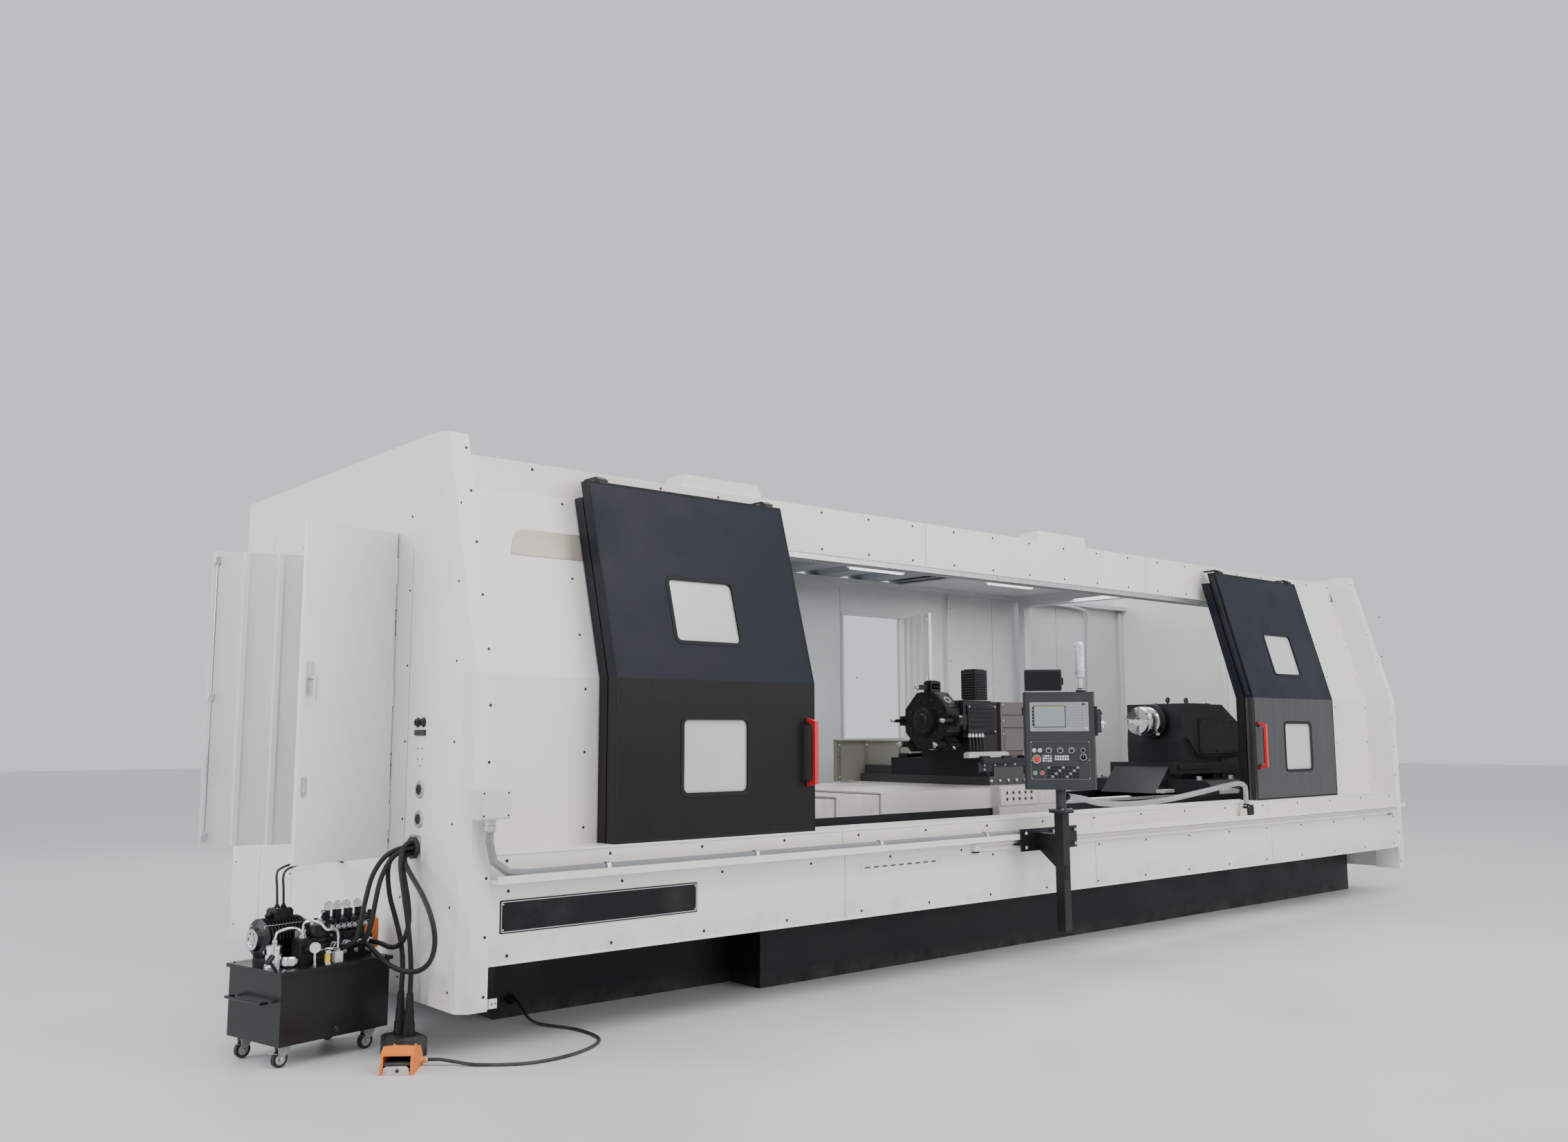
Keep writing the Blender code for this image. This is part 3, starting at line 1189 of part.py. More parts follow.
def build_tailstock():
    """Tailstock casting: spread foot with a pocket, barrel, sloping back and two lifting eyes."""
    x0 = along(TAIL_START)
    x1 = x0 + TAIL_LENGTH
    b0 = along(BARREL_START)
    b1 = b0 + BARREL_LENGTH
    low = BED_TOP_Z + SEAT_GAP
    half = TAIL_HALF_WIDTH
    skirt = BED_TOP_Z - SADDLE_SKIRT
    inner = BED_HALF_WIDTH + RUN_GAP
    sole = prism_x("tailstock", [(-BED_HALF_WIDTH, low), (-BED_HALF_WIDTH, TAIL_FOOT_TOP_Z - TAIL_FOOT_HALF / 10),
                                 (-TAIL_FOOT_HALF, TAIL_FOOT_TOP_Z), (TAIL_FOOT_HALF, TAIL_FOOT_TOP_Z),
                                 (BED_HALF_WIDTH, TAIL_FOOT_TOP_Z - TAIL_FOOT_HALF / 10), (BED_HALF_WIDTH, low)],
                   x0 + TAIL_LENGTH * 0.10, x1)
    rise = TAIL_TOP_Z - TAIL_FOOT_TOP_Z
    under = SPINDLE_Z - BARREL_RADIUS - OVERRUN / 2
    body = prism_y("body", [(x0, low), (b0 - TAIL_LENGTH * 0.08, TAIL_FOOT_TOP_Z + rise * 0.22),
                            (b0 + TAIL_LENGTH * 0.02, TAIL_FOOT_TOP_Z + rise * 0.22), (b0 + TAIL_LENGTH * 0.02, under),
                            (b0 + OVERRUN, SPINDLE_Z - BARREL_RADIUS / 2), (b0 + OVERRUN, TAIL_TOP_Z),
                            (b1 - TAIL_LENGTH * 0.12, TAIL_TOP_Z), (x1, TAIL_FOOT_TOP_Z + rise * 0.42), (x1, low)],
                   -half, half)
    barrel = cylinder("barrel", (b0, 0.0, SPINDLE_Z), (b1, 0.0, SPINDLE_Z), BARREL_RADIUS, 32)
    ledge = box("ledge", b0 - TAIL_LENGTH * 0.10, b0 + TAIL_LENGTH * 0.36, -half - OVERRUN, half + OVERRUN,
                TAIL_FOOT_TOP_Z + OVERRUN, TAIL_FOOT_TOP_Z + rise * 0.22)
    union(sole, body, barrel, ledge)
    pocket = box("pocket", x0 + TAIL_LENGTH * 0.24, x0 + TAIL_LENGTH * 0.52, -half - 2 * OVERRUN,
                 -half + 2 * OVERRUN, TAIL_FOOT_TOP_Z - OVERRUN / 2, TAIL_FOOT_TOP_Z + OVERRUN * 0.8)
    bore = cylinder("bore", (b0 - OVERRUN, 0.0, SPINDLE_Z), (b0 + QUILL_LENGTH + OVERRUN, 0.0, SPINDLE_Z),
                    QUILL_RADIUS + SEAT_GAP, 32)
    cut(sole, pocket, bore)
    for share in (0.30, 0.62):
        eye_x = b0 + BARREL_LENGTH * share
        stem = cylinder("stem", (eye_x, 0.0, TAIL_TOP_Z - OVERRUN / 2), (eye_x, 0.0, TAIL_TOP_Z + EYE_RADIUS),
                        EYE_WIRE, 10)
        eye = cylinder("eye", (eye_x, -EYE_WIRE, TAIL_TOP_Z + EYE_RADIUS * 1.6),
                       (eye_x, EYE_WIRE, TAIL_TOP_Z + EYE_RADIUS * 1.6), EYE_RADIUS, 14)
        hole = cylinder("hole", (eye_x, -EYE_RADIUS, TAIL_TOP_Z + EYE_RADIUS * 1.6),
                        (eye_x, EYE_RADIUS, TAIL_TOP_Z + EYE_RADIUS * 1.6), EYE_RADIUS * 0.55, 12)
        union(stem, eye)
        cut(stem, hole)
        union(sole, stem)
    return shade(painted(sole, SATIN_BLACK, 0.45))


def build_quill():
    b0 = along(BARREL_START)
    reach = QUILL_COLLAR
    profile = [(-reach, QUILL_COLLAR_RADIUS * 0.85), (-reach + reach / 4, QUILL_COLLAR_RADIUS),
               (-RUN_GAP * 2, QUILL_COLLAR_RADIUS), (-RUN_GAP * 2, QUILL_RADIUS), (QUILL_LENGTH, QUILL_RADIUS)]
    quill = turned("quill", (b0, 0.0, SPINDLE_Z), (1, 0, 0), profile, 32)
    front = b0 - reach
    socket = cylinder("socket", (front - OVERRUN, 0.0, SPINDLE_Z), (front + LIVE_STUB + RUN_GAP, 0.0, SPINDLE_Z),
                      round_bore(LIVE_STUB_RADIUS, FINE_SIDES), FINE_SIDES)
    cut(quill, socket)
    set_origin(quill, (b0, 0.0, SPINDLE_Z))
    return shade(metal(quill, STEEL, 0.3)), front


def build_live_chuck(front):
    """Running support chuck in the quill: a short turned body with four slots and a shank."""
    x1 = front - RUN_GAP
    x0 = x1 - LIVE_LENGTH
    lip = LIVE_LENGTH / 8
    profile = [(0.0, LIVE_RADIUS - lip), (lip, LIVE_RADIUS), (LIVE_LENGTH - lip, LIVE_RADIUS),
               (LIVE_LENGTH, LIVE_RADIUS - lip), (LIVE_LENGTH, LIVE_STUB_RADIUS), (LIVE_LENGTH + LIVE_STUB, LIVE_STUB_RADIUS)]
    body = turned("live_chuck", (x0, 0.0, SPINDLE_Z), (1, 0, 0), profile, 32)
    half = LIVE_SLOT / 2
    reach = LIVE_RADIUS + OVERRUN
    first = box("first", x0 - OVERRUN, x0 + LIVE_SLOT_DEPTH, -half, half, SPINDLE_Z - reach, SPINDLE_Z + reach)
    second = box("second", x0 - OVERRUN, x0 + LIVE_SLOT_DEPTH, -reach, reach, SPINDLE_Z - half, SPINDLE_Z + half)
    middle = cylinder("middle", (x0 - OVERRUN, 0.0, SPINDLE_Z), (x0 + LIVE_SLOT_DEPTH * 1.2, 0.0, SPINDLE_Z),
                      LIVE_SLOT, 16)
    cut(body, first, second, middle)
    set_origin(body, (x1, 0.0, SPINDLE_Z))
    return shade(metal(body, STEEL, 0.3))


def pendant_frame():
    """Matrix from the pendant box's own frame (X across, Y into the box, Z up) to its place."""
    x = along(PENDANT_X)
    return Matrix.Translation(Vector((x, PENDANT_Y, SWIVEL_Z))) @ Matrix.Rotation(math.radians(PENDANT_TURN), 4, "Z")


def build_pendant_carriage():
    """Rail plate with its gusset and the upright post, ending in a swivel flange."""
    x = along(PENDANT_X)
    half = POST_SIDE / 2
    plate_back = FRONT_Y - GUTTER_REACH - RUN_GAP
    x0 = x - PLATE_WIDTH / 2 + PLATE_SHIFT
    plate = box("pendant_carriage", x0, x0 + PLATE_WIDTH, plate_back - PLATE_SHEET, plate_back, PLATE_LOW_Z,
                PLATE_LOW_Z + PLATE_HEIGHT)
    post = box("post", x - half, x + half, PENDANT_Y - half, PENDANT_Y + half, POST_BOTTOM_Z, COLLAR_Z)
    arm = box("arm", x - half, x + half, PENDANT_Y, plate_back - PLATE_SHEET / 2,
              PLATE_LOW_Z + PLATE_HEIGHT / 5, PLATE_LOW_Z + PLATE_HEIGHT * 0.8)
    gusset = prism_x("gusset", [(PENDANT_Y, PLATE_LOW_Z - PLATE_HEIGHT), (PENDANT_Y, PLATE_LOW_Z + PLATE_HEIGHT / 2),
                                (plate_back - PLATE_SHEET / 2, PLATE_LOW_Z + PLATE_HEIGHT / 2),
                                (plate_back - PLATE_SHEET / 2, PLATE_LOW_Z + PLATE_HEIGHT / 10)],
                     x - PLATE_SHEET / 2, x + PLATE_SHEET / 2)
    flange = cylinder("flange", (x, PENDANT_Y, COLLAR_Z - COLLAR_HEIGHT), (x, PENDANT_Y, COLLAR_Z), COLLAR_SIDE)
    union(plate, post, arm, gusset, flange)
    key = RAIL_HEIGHT / 4 - 2 * SEAT_GAP
    low = RAIL_LOW_Z + RAIL_HEIGHT / 2 - key / 2
    tongue = box("tongue", x0 + PLATE_SHEET, x0 + PLATE_WIDTH - PLATE_SHEET, plate_back - PLATE_SHEET / 2,
                 FRONT_Y - RAIL_DEPTH + RAIL_HEIGHT / 4 - RUN_GAP, low, low + key)
    union(plate, tongue)
    return painted(plate, BLACK, 0.45)


def panel_point(share_x, share_z):
    """A point of the pendant face from its shares across and up, in the pendant's own frame."""
    return (share_x - 0.5) * PENDANT_WIDTH, share_z * PENDANT_HEIGHT


def switch_knobs():
    """The row of small selector knobs on the switch panel, in the pendant's own frame."""
    seat = -PENDANT_DEPTH / 2 + SWITCH_RECESS
    places = [panel_point(share, KNOB_ROW_SHARE) for share in KNOB_SHARES]
    return [cylinder("knob", (x, seat + SWITCH_RECESS / 2, z), (x, seat - KNOB_HEIGHT, z), KNOB_RADIUS * 0.8, 16)
            for x, z in places]


def build_pendant_box():
    """Swivelling control box with its recessed screen unit and switch panel, hand unit and top box."""
    frame = pendant_frame()
    half = PENDANT_WIDTH / 2
    front = -PENDANT_DEPTH / 2
    corner = PENDANT_CORNER
    case = prism_z("pendant_box", [(-half, front + corner), (-half + corner, front), (half - corner, front),
                                   (half, front + corner), (half, -front), (-half, -front)], 0.0, PENDANT_HEIGHT)
    neck = cylinder("neck", (0.0, 0.0, COLLAR_Z + SEAT_GAP - SWIVEL_Z), (0.0, 0.0, corner), POST_SIDE / 2)
    top = box("top", -half + corner, -half + corner + TOP_BOX_WIDTH, front + corner, -front - corner,
              PENDANT_HEIGHT - corner / 2, PENDANT_HEIGHT + TOP_BOX_HEIGHT)
    hand_z = PENDANT_HEIGHT * HAND_UNIT_SHARE
    hand = box("hand", half - corner / 2, half + HAND_UNIT_WIDTH / 2, front + corner, front + corner + HAND_UNIT_WIDTH,
               hand_z - HAND_UNIT_HEIGHT / 2, hand_z + HAND_UNIT_HEIGHT / 2)
    flange = cylinder("flange", (0.0, 0.0, COLLAR_Z + SEAT_GAP - SWIVEL_Z),
                      (0.0, 0.0, COLLAR_Z + COLLAR_HEIGHT + SEAT_GAP - SWIVEL_Z), COLLAR_SIDE)
    union(case, neck, flange, top, hand)
    for shares, depth in ((SCREEN_UNIT_SHARES, SCREEN_RECESS), (SWITCH_PANEL_SHARES, SWITCH_RECESS)):
        x0, z0 = panel_point(shares[0], shares[1])
        x1, z1 = panel_point(shares[2], shares[3])
        cut(case, box("recess", x0, x1, front - OVERRUN, front + depth, z0, z1))
    union(case, *switch_knobs())
    seat = front + SWITCH_RECESS
    sockets = [(STOP_SHARES, STOP_RADIUS / 2), ((OVERRIDE_SHARE, KNOB_ROW_SHARE - 0.07), KNOB_RADIUS / 2)]
    for shares, radius in sockets:
        x, z = panel_point(*shares)
        cut(case, cylinder("socket", (x, front - OVERRUN, z), (x, seat + STOP_HEIGHT, z), radius + SEAT_GAP, 20))
    move_by(case, frame)
    set_origin(case, frame @ Vector((0.0, 0.0, 0.0)))
    return painted(case, DARK_GREY, 0.45)


def face_control(name, shares, radius, height, head, colour, travel=0.0):
    """A round control on the switch panel with a shank in its socket."""
    frame = pendant_frame()
    seat = -PENDANT_DEPTH / 2 + SWITCH_RECESS
    x, z = panel_point(*shares)
    profile = [(0.0, radius / 2), (height, radius / 2), (height, radius * head), (height + height * 0.45, radius * head),
               (height + height * 0.45, radius), (2 * height, radius * 0.9)]
    body = turned(name, (x, seat + height - RUN_GAP - travel, z), (0, -1, 0), profile, 20)
    move_by(body, frame)
    set_origin(body, frame @ Vector((x, seat, z)))
    return shade(painted(body, colour, 0.35))


def build_stack_light():
    frame = pendant_frame()
    x = panel_point(LIGHT_SHARE, 1.0)[0]
    low = PENDANT_HEIGHT + SEAT_GAP
    foot = LIGHT_HEIGHT * 0.28
    profile = [(0.0, LIGHT_RADIUS), (LIGHT_HEIGHT / 20, LIGHT_RADIUS), (LIGHT_HEIGHT / 20, LIGHT_RADIUS * 0.45),
               (foot, LIGHT_RADIUS * 0.45), (foot * 1.1, LIGHT_RADIUS * 0.9), (LIGHT_HEIGHT * 0.93, LIGHT_RADIUS * 0.9),
               (LIGHT_HEIGHT, LIGHT_RADIUS * 0.6)]
    light = turned("stack_light", (x, 0.0, low), (0, 0, 1), profile, 20)
    return shade(painted(move_by(light, frame), SILVER, 0.3))


def build_junction_box():
    x0 = -HALF_LENGTH + JUNCTION_START
    back = FRONT_Y - SEAT_GAP
    shell = box("junction_box", x0, x0 + JUNCTION_WIDTH, back - JUNCTION_DEPTH, back, JUNCTION_LOW_Z,
                JUNCTION_LOW_Z + JUNCTION_HEIGHT)
    return painted(shell, DARK_GREY, 0.5)


def smooth_route(points, step):
    """Points read every step along a Catmull-Rom curve through the route."""
    pts = [Vector(p) for p in points]
    padded = [2 * pts[0] - pts[1]] + pts + [2 * pts[-1] - pts[-2]]
    dense = []
    for i in range(1, len(padded) - 2):
        a, b, c, d = padded[i - 1:i + 3]
        for k in range(40):
            t = k / 40
            dense.append(0.5 * ((2 * b) + (c - a) * t + (2 * a - 5 * b + 4 * c - d) * t ** 2
                                + (3 * b - a - 3 * c + d) * t ** 3))
    dense.append(pts[-1])
    total = sum((q - p).length for p, q in zip(dense, dense[1:]))
    count = max(2, round(total / step))
    out = [dense[0]]
    want = total / count
    run = 0.0
    for p, q in zip(dense, dense[1:]):
        run += (q - p).length
        if run >= want * len(out) and len(out) < count:
            out.append(q)
    out.append(dense[-1])
    return out


def tube(name, route, radius, colour, spacing, resolution=2):
    curve = bpy.data.curves.new(name, "CURVE")
    curve.dimensions = "3D"
    spline = curve.splines.new("POLY")
    points = smooth_route(route, spacing)
    spline.points.add(len(points) - 1)
    for slot, point in zip(spline.points, points):
        slot.co = (*point, 1.0)
    curve.bevel_depth = radius
    curve.bevel_resolution = resolution
    curve.use_fill_caps = True
    obj = bpy.data.objects.new(name, curve)
    bpy.context.scene.collection.objects.link(obj)
    return painted(obj, colour, 0.45)


def tank_frame():
    """Matrix from the tank's own frame (origin at its near left corner) to its place."""
    corner = Vector((-HALF_LENGTH + TANK_CORNER_X, TANK_CORNER_Y, 0.0))
    return Matrix.Translation(corner) @ Matrix.Rotation(math.radians(TANK_TURN), 4, "Z")


def caster_places():
    near = CASTER_INSET
    return [(near, near), (TANK_LENGTH - near, near), (TANK_LENGTH - near, TANK_WIDTH - near),
            (near, TANK_WIDTH - near)]


def caster_fork(x, y):
    """Top plate, two arms and the axle of one caster, let into the tank bottom."""
    trail = CASTER_RADIUS / 2
    half = CASTER_WIDTH / 2 + RUN_GAP
    sheet = CASTER_FORK
    high = TANK_LOW_Z + sheet / 2
    low = CASTER_RADIUS - sheet
    fork = box("fork", x - CASTER_RADIUS, x + CASTER_RADIUS, y - half - sheet, y + half + sheet, high - sheet, high)
    outline = [(x - CASTER_RADIUS, high - sheet / 2), (x + CASTER_RADIUS, high - sheet / 2),
               (x - trail + sheet, low), (x - trail - sheet, low)]
    axle = cylinder("axle", (x - trail, y - half - sheet / 2, CASTER_RADIUS), (x - trail, y + half + sheet / 2, CASTER_RADIUS),
                    sheet * 0.7, 12)
    return union(fork, prism_y("arm", outline, y - half - sheet, y - half),
                 prism_y("arm", outline, y + half, y + half + sheet), axle)


def filter_body(lid):
    """Finned return filter standing in the tank lid."""
    radius = FILTER_RADIUS
    base = FILTER_HEIGHT * 0.12
    profile = [(0.0, radius), (base, radius)]
    pitch = FILTER_HEIGHT * 0.72 / FILTER_FINS
    for i in range(FILTER_FINS):
        start = base + pitch * i
        profile += [(start, radius * 0.72), (start + pitch * 0.45, radius * 0.72), (start + pitch * 0.45, radius),
                    (start + pitch, radius)]
    profile += [(FILTER_HEIGHT, radius * 0.85)]
    return turned("filter", (TANK_LENGTH * 0.44, TANK_WIDTH * 0.25, lid), (0, 0, 1), profile, 20)


def filler_cap_body(lid):
    radius = VALVE_RADIUS * 1.5
    return turned("filler", (TANK_LENGTH * 0.17, TANK_WIDTH * 0.22, lid), (0, 0, 1),
                  [(0.0, radius * 0.8), (radius * 0.6, radius * 0.8), (radius * 0.6, radius), (radius * 1.5, radius),
                   (radius * 1.7, radius * 0.8)], 20)


def build_tank():
    """Oil tank with a lipped lid, its filter and filler cap, and four caster forks."""
    lid = TANK_LOW_Z + TANK_HEIGHT
    tank = box("hydraulic_tank", 0.0, TANK_LENGTH, 0.0, TANK_WIDTH, TANK_LOW_Z, lid)
    lip = TANK_LID_LIP
    top = box("lid", -lip, TANK_LENGTH + lip, -lip, TANK_WIDTH + lip, lid - SEAT_GAP, lid + TANK_LID)
    inside = lid + TANK_LID / 2
    union(tank, top, filter_body(inside), filler_cap_body(inside))
    for x, y in caster_places():
        union(tank, caster_fork(x, y))
    move_by(tank, tank_frame())
    return painted(tank, BLACK, 0.4)


def build_caster_wheels():
    frame = tank_frame()
    trail = CASTER_RADIUS / 2
    half = CASTER_WIDTH / 2
    z = CASTER_RADIUS
    for i, (x, y) in enumerate(caster_places()):
        wheel = cylinder("caster_wheel_%d" % (i + 1), (x - trail, y - half, z), (x - trail, y + half, z), CASTER_RADIUS, 24)
        bore = cylinder("bore", (x - trail, y - CASTER_WIDTH, z), (x - trail, y + CASTER_WIDTH, z),
                        CASTER_FORK * 0.7 + SEAT_GAP, 12)
        cut(wheel, bore)
        move_by(wheel, frame)
        set_origin(wheel, frame @ Vector((x - trail, y, z)))
        shade(painted(wheel, BLACK, 0.6))


def build_pump():
    """Pump motor with its cooling fins, and the bell that joins it to the tank lid."""
    lid = TANK_LOW_Z + TANK_HEIGHT + TANK_LID + SEAT_GAP
    radius = PUMP_MOTOR_RADIUS
    y = TANK_WIDTH * 0.68
    z = lid + radius + MOTOR_FOOT / 2
    x0 = TANK_LENGTH * PUMP_START_SHARE
    profile = [(0.0, radius * 0.55), (radius * 0.2, radius * 0.62), (radius * 0.35, radius)]
    pitch = (PUMP_MOTOR_LENGTH - radius * 0.6) / PUMP_FINS
    for i in range(PUMP_FINS):
        start = radius * 0.35 + pitch * i
        profile += [(start + pitch * 0.5, radius), (start + pitch * 0.5, radius * 0.86), (start + pitch, radius * 0.86),
                    (start + pitch, radius)]
    profile += [(PUMP_MOTOR_LENGTH, radius), (PUMP_MOTOR_LENGTH + radius * 0.5, radius * 0.7)]
    motor = turned("pump_motor", (x0, y, z), (1, 0, 0), profile, 20)
    foot = box("foot", x0 + radius * 0.5, x0 + PUMP_MOTOR_LENGTH, y - radius * 0.7, y + radius * 0.7, lid, z - radius / 2)
    terminal = box("terminal", x0 + radius, x0 + radius * 2, y - radius * 0.45, y + radius * 0.45, z, z + radius * 1.35)
    union(motor, foot, terminal)
    move_by(motor, tank_frame())
    return shade(painted(motor, BLACK, 0.45))


def manifold_corner():
    lid = TANK_LOW_Z + TANK_HEIGHT + TANK_LID + SEAT_GAP
    start = TANK_LENGTH * PUMP_START_SHARE + PUMP_MOTOR_LENGTH + PUMP_MOTOR_RADIUS * 0.5 + MANIFOLD_GAP
    return start, TANK_WIDTH * 0.30, lid


def build_manifold():
    """Drilled valve block with a foot, ports and a row of stacked valves with round knobs."""
    x0, y0, lid = manifold_corner()
    block = box("valve_manifold", x0, x0 + MANIFOLD_LENGTH, y0, y0 + MANIFOLD_WIDTH, lid, lid + MANIFOLD_HEIGHT)
    pitch = MANIFOLD_LENGTH / VALVE_COUNT
    top = lid + MANIFOLD_HEIGHT
    for i in range(VALVE_COUNT):
        x = x0 + pitch * (i + 0.5)
        half = pitch * 0.4
        valve = box("valve", x - half, x + half, y0 + half / 2, y0 + MANIFOLD_WIDTH - half / 2, top - SEAT_GAP,
                    top + VALVE_HEIGHT * 0.6)
        knob = cylinder("knob", (x, y0 + MANIFOLD_WIDTH / 2, top + VALVE_HEIGHT * 0.5),
                        (x, y0 + MANIFOLD_WIDTH / 2, top + VALVE_HEIGHT), VALVE_RADIUS, 16)
        port = cylinder("port", (x, y0 + GLAND_LENGTH / 2, lid + MANIFOLD_HEIGHT * 0.5),
                        (x, y0 - GLAND_LENGTH, lid + MANIFOLD_HEIGHT * 0.5), GLAND_RADIUS, 12)
        union(block, valve, knob, port)
    move_by(block, tank_frame())
    return shade(painted(block, SATIN_BLACK, 0.4))


def pedal_frame():
    return Matrix.Translation(Vector((PEDAL_X, PEDAL_Y, 0.0))) @ Matrix.Rotation(math.radians(PEDAL_TURN), 4, "Z")


def build_pedal():
    """Foot switch: a guard hood over a sprung treadle."""
    frame = pedal_frame()
    half = PEDAL_WIDTH / 2
    wall = PEDAL_WALL
    back = PEDAL_LENGTH
    high = PEDAL_HEIGHT
    hood = prism_x("pedal_hood", [(0.0, 0.0), (0.0, wall), (wall, high * 0.82), (back * 0.30, high), (back * 0.75, high * 0.85),
                                  (back, high * 0.40), (back, 0.0)], -half, half)
    pocket = prism_x("pocket", [(-OVERRUN, wall), (-OVERRUN, high * 0.80), (wall, high * 0.82 - wall),
                                (back * 0.30, high - wall), (back * 0.72, high * 0.85 - wall), (back - wall * 3, wall * 2),
                                (back - wall * 3, wall)], -half + wall, half - wall)
    cut(hood, pocket)
    stub = cylinder("stub", (half - wall / 2, back * 0.8, high * 0.25), (half + GLAND_LENGTH, back * 0.8, high * 0.25),
                    GLAND_RADIUS * 0.8, 16)
    union(hood, stub)
    move_by(hood, frame)
    treadle = prism_x("pedal_treadle", [(wall, high * 0.34), (wall, high * 0.34 + TREADLE_SHEET),
                                        (back - wall * 5, high * 0.26 + TREADLE_SHEET), (back - wall * 5, high * 0.26)],
                      -half + wall + 2 * SEAT_GAP, half - wall - 2 * SEAT_GAP)
    move_by(treadle, frame)
    set_origin(treadle, frame @ Vector((0.0, back - wall * 5, high * 0.26)))
    return [painted(hood, ORANGE, 0.4), painted(treadle, BLACK, 0.5)]


def build_cords():
    """Free hoses and cables; each route is a hand-laid list of points in metres."""
    pipe_x = along(STANDPIPE_X)
    gutter_y = FRONT_Y - GUTTER_REACH / 2 + GUTTER_SHEET / 2
    gutter_z = GUTTER_FLOOR_Z + CONDUIT_RADIUS + 2 * RUN_GAP
    top = JUNCTION_LOW_Z - 2 * SEAT_GAP
    junction_x = -HALF_LENGTH + JUNCTION_START + JUNCTION_WIDTH / 2
    pendant_route = [(-0.7742, -1.70, 1.122), (-0.70, -1.699, 1.121), (-0.52, -1.68, 1.098), (-0.25, -1.63, 1.058),
                     (0.20, -1.57, 1.035),
                     (0.75, -1.52, 1.045), (1.30, -1.48, 1.085), (1.75, -1.455, 1.125), (1.95, -1.445, 1.135),
                     (2.043, -1.439, 1.112), (pipe_x, gutter_y, 1.065), (pipe_x, gutter_y, 1.04),
                     (pipe_x, gutter_y, 0.99), (pipe_x, gutter_y, 0.926)]
    gutter_route = [(junction_x, FRONT_Y - JUNCTION_DEPTH / 2, top), (junction_x, -1.448, 1.06),
                    (junction_x + 0.01, -1.446, 0.97), (junction_x + 0.08, gutter_y, 0.895),
                    (junction_x + 0.20, gutter_y, gutter_z), (-4.7, gutter_y, gutter_z), (-4.0, gutter_y, gutter_z), (-2.0, gutter_y, gutter_z),
                    (-0.9, gutter_y, gutter_z)]
    hose_route = [(-5.1355, -0.903, 0.985), (-5.20, -0.904, 0.983), (-5.275, -0.905, 0.945), (-5.335, -0.908, 0.86),
                  (-5.37, -0.915, 0.74), (-5.39, -0.915, 0.63), (-5.405, -0.89, 0.55), (-5.427, -0.81, 0.515),
                  (-5.433, -0.7817, 0.5133), (-5.4391, -0.7529, 0.5133)]
    cable_route = [(-4.38, -0.6305, 0.10), (-4.38, -0.665, 0.10), (-4.38, -0.72, 0.08), (-4.375, -0.79, 0.03), (-4.36, -0.90, 0.0085),
                   (-4.28, -1.15, 0.0085), (-4.32, -1.42, 0.0085), (-4.55, -1.58, 0.0085), (-4.82, -1.60, 0.0085),
                   (-5.02, -1.47, 0.0085), (-5.10, -1.375, 0.018), (-5.1508, -1.3298, 0.0282), (-5.1744, -1.3114, 0.02875),
                   (-5.19844, -1.29257, 0.02875)]
    return [tube("pendant_conduit", pendant_route, CONDUIT_RADIUS, SILVER, CONDUIT_RADIUS * 4.5),
            tube("gutter_conduit", gutter_route, CONDUIT_RADIUS, DARK_GREY, CONDUIT_RADIUS * 5),
            tube("hydraulic_hose", hose_route, HOSE_RADIUS, BLACK, HOSE_RADIUS * 4),
            tube("pedal_cable", cable_route, CABLE_RADIUS, BLACK, CABLE_RADIUS * 5)]


def main():
    clear_scene()
    build_left_cap()
    build_right_cap()
    build_apron()
    build_front_panel("left_front_panel", -HALF_LENGTH + CAP_PLATE + SEAT_GAP, along(LEFT_PANEL_END))
    build_front_panel("right_front_panel", along(RIGHT_PANEL_START), HALF_LENGTH - CAP_PLATE - SEAT_GAP)
    build_front_doors()
    build_header()
    build_rear_wall()
    build_rear_door()
    build_sliding_roof()
    build_fixed_roof()
    build_cabinet()
    build_cabinet_door("front_cabinet_door", CABINET_FRONT_Y, 1, 1)
    build_cabinet_door("rear_cabinet_door", CABINET_REAR_Y, -1, 2)
    build_lever()
    build_service_door()
    build_bed()
    build_headstock()
    chuck, face = build_spindle()
    build_jaws(face)
    build_saddle()
    build_cross_slide()
    build_turret_body()
    build_turret_disc()
    build_way_covers()
    build_tailstock()
    quill, front = build_quill()
    build_live_chuck(front)
    build_pendant_carriage()
    build_pendant_box()
    face_control("override_knob", (OVERRIDE_SHARE, KNOB_ROW_SHARE - 0.07), KNOB_RADIUS, KNOB_HEIGHT * 0.7, 0.6,
                 SATIN_BLACK)
    face_control("emergency_stop", STOP_SHARES, STOP_RADIUS, STOP_HEIGHT * 0.6, 0.55, RED, STOP_TRAVEL)
    build_stack_light()
    build_junction_box()
    build_tank()
    build_caster_wheels()
    build_pump()
    build_manifold()
    build_pedal()
    build_cords()
    bpy.context.view_layer.update()


main()
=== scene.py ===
"""Looks of the flat-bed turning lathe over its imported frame. Metres, Z up, same frame as the CAD."""
import math

import bmesh
import bpy
from mathutils import Matrix, Vector


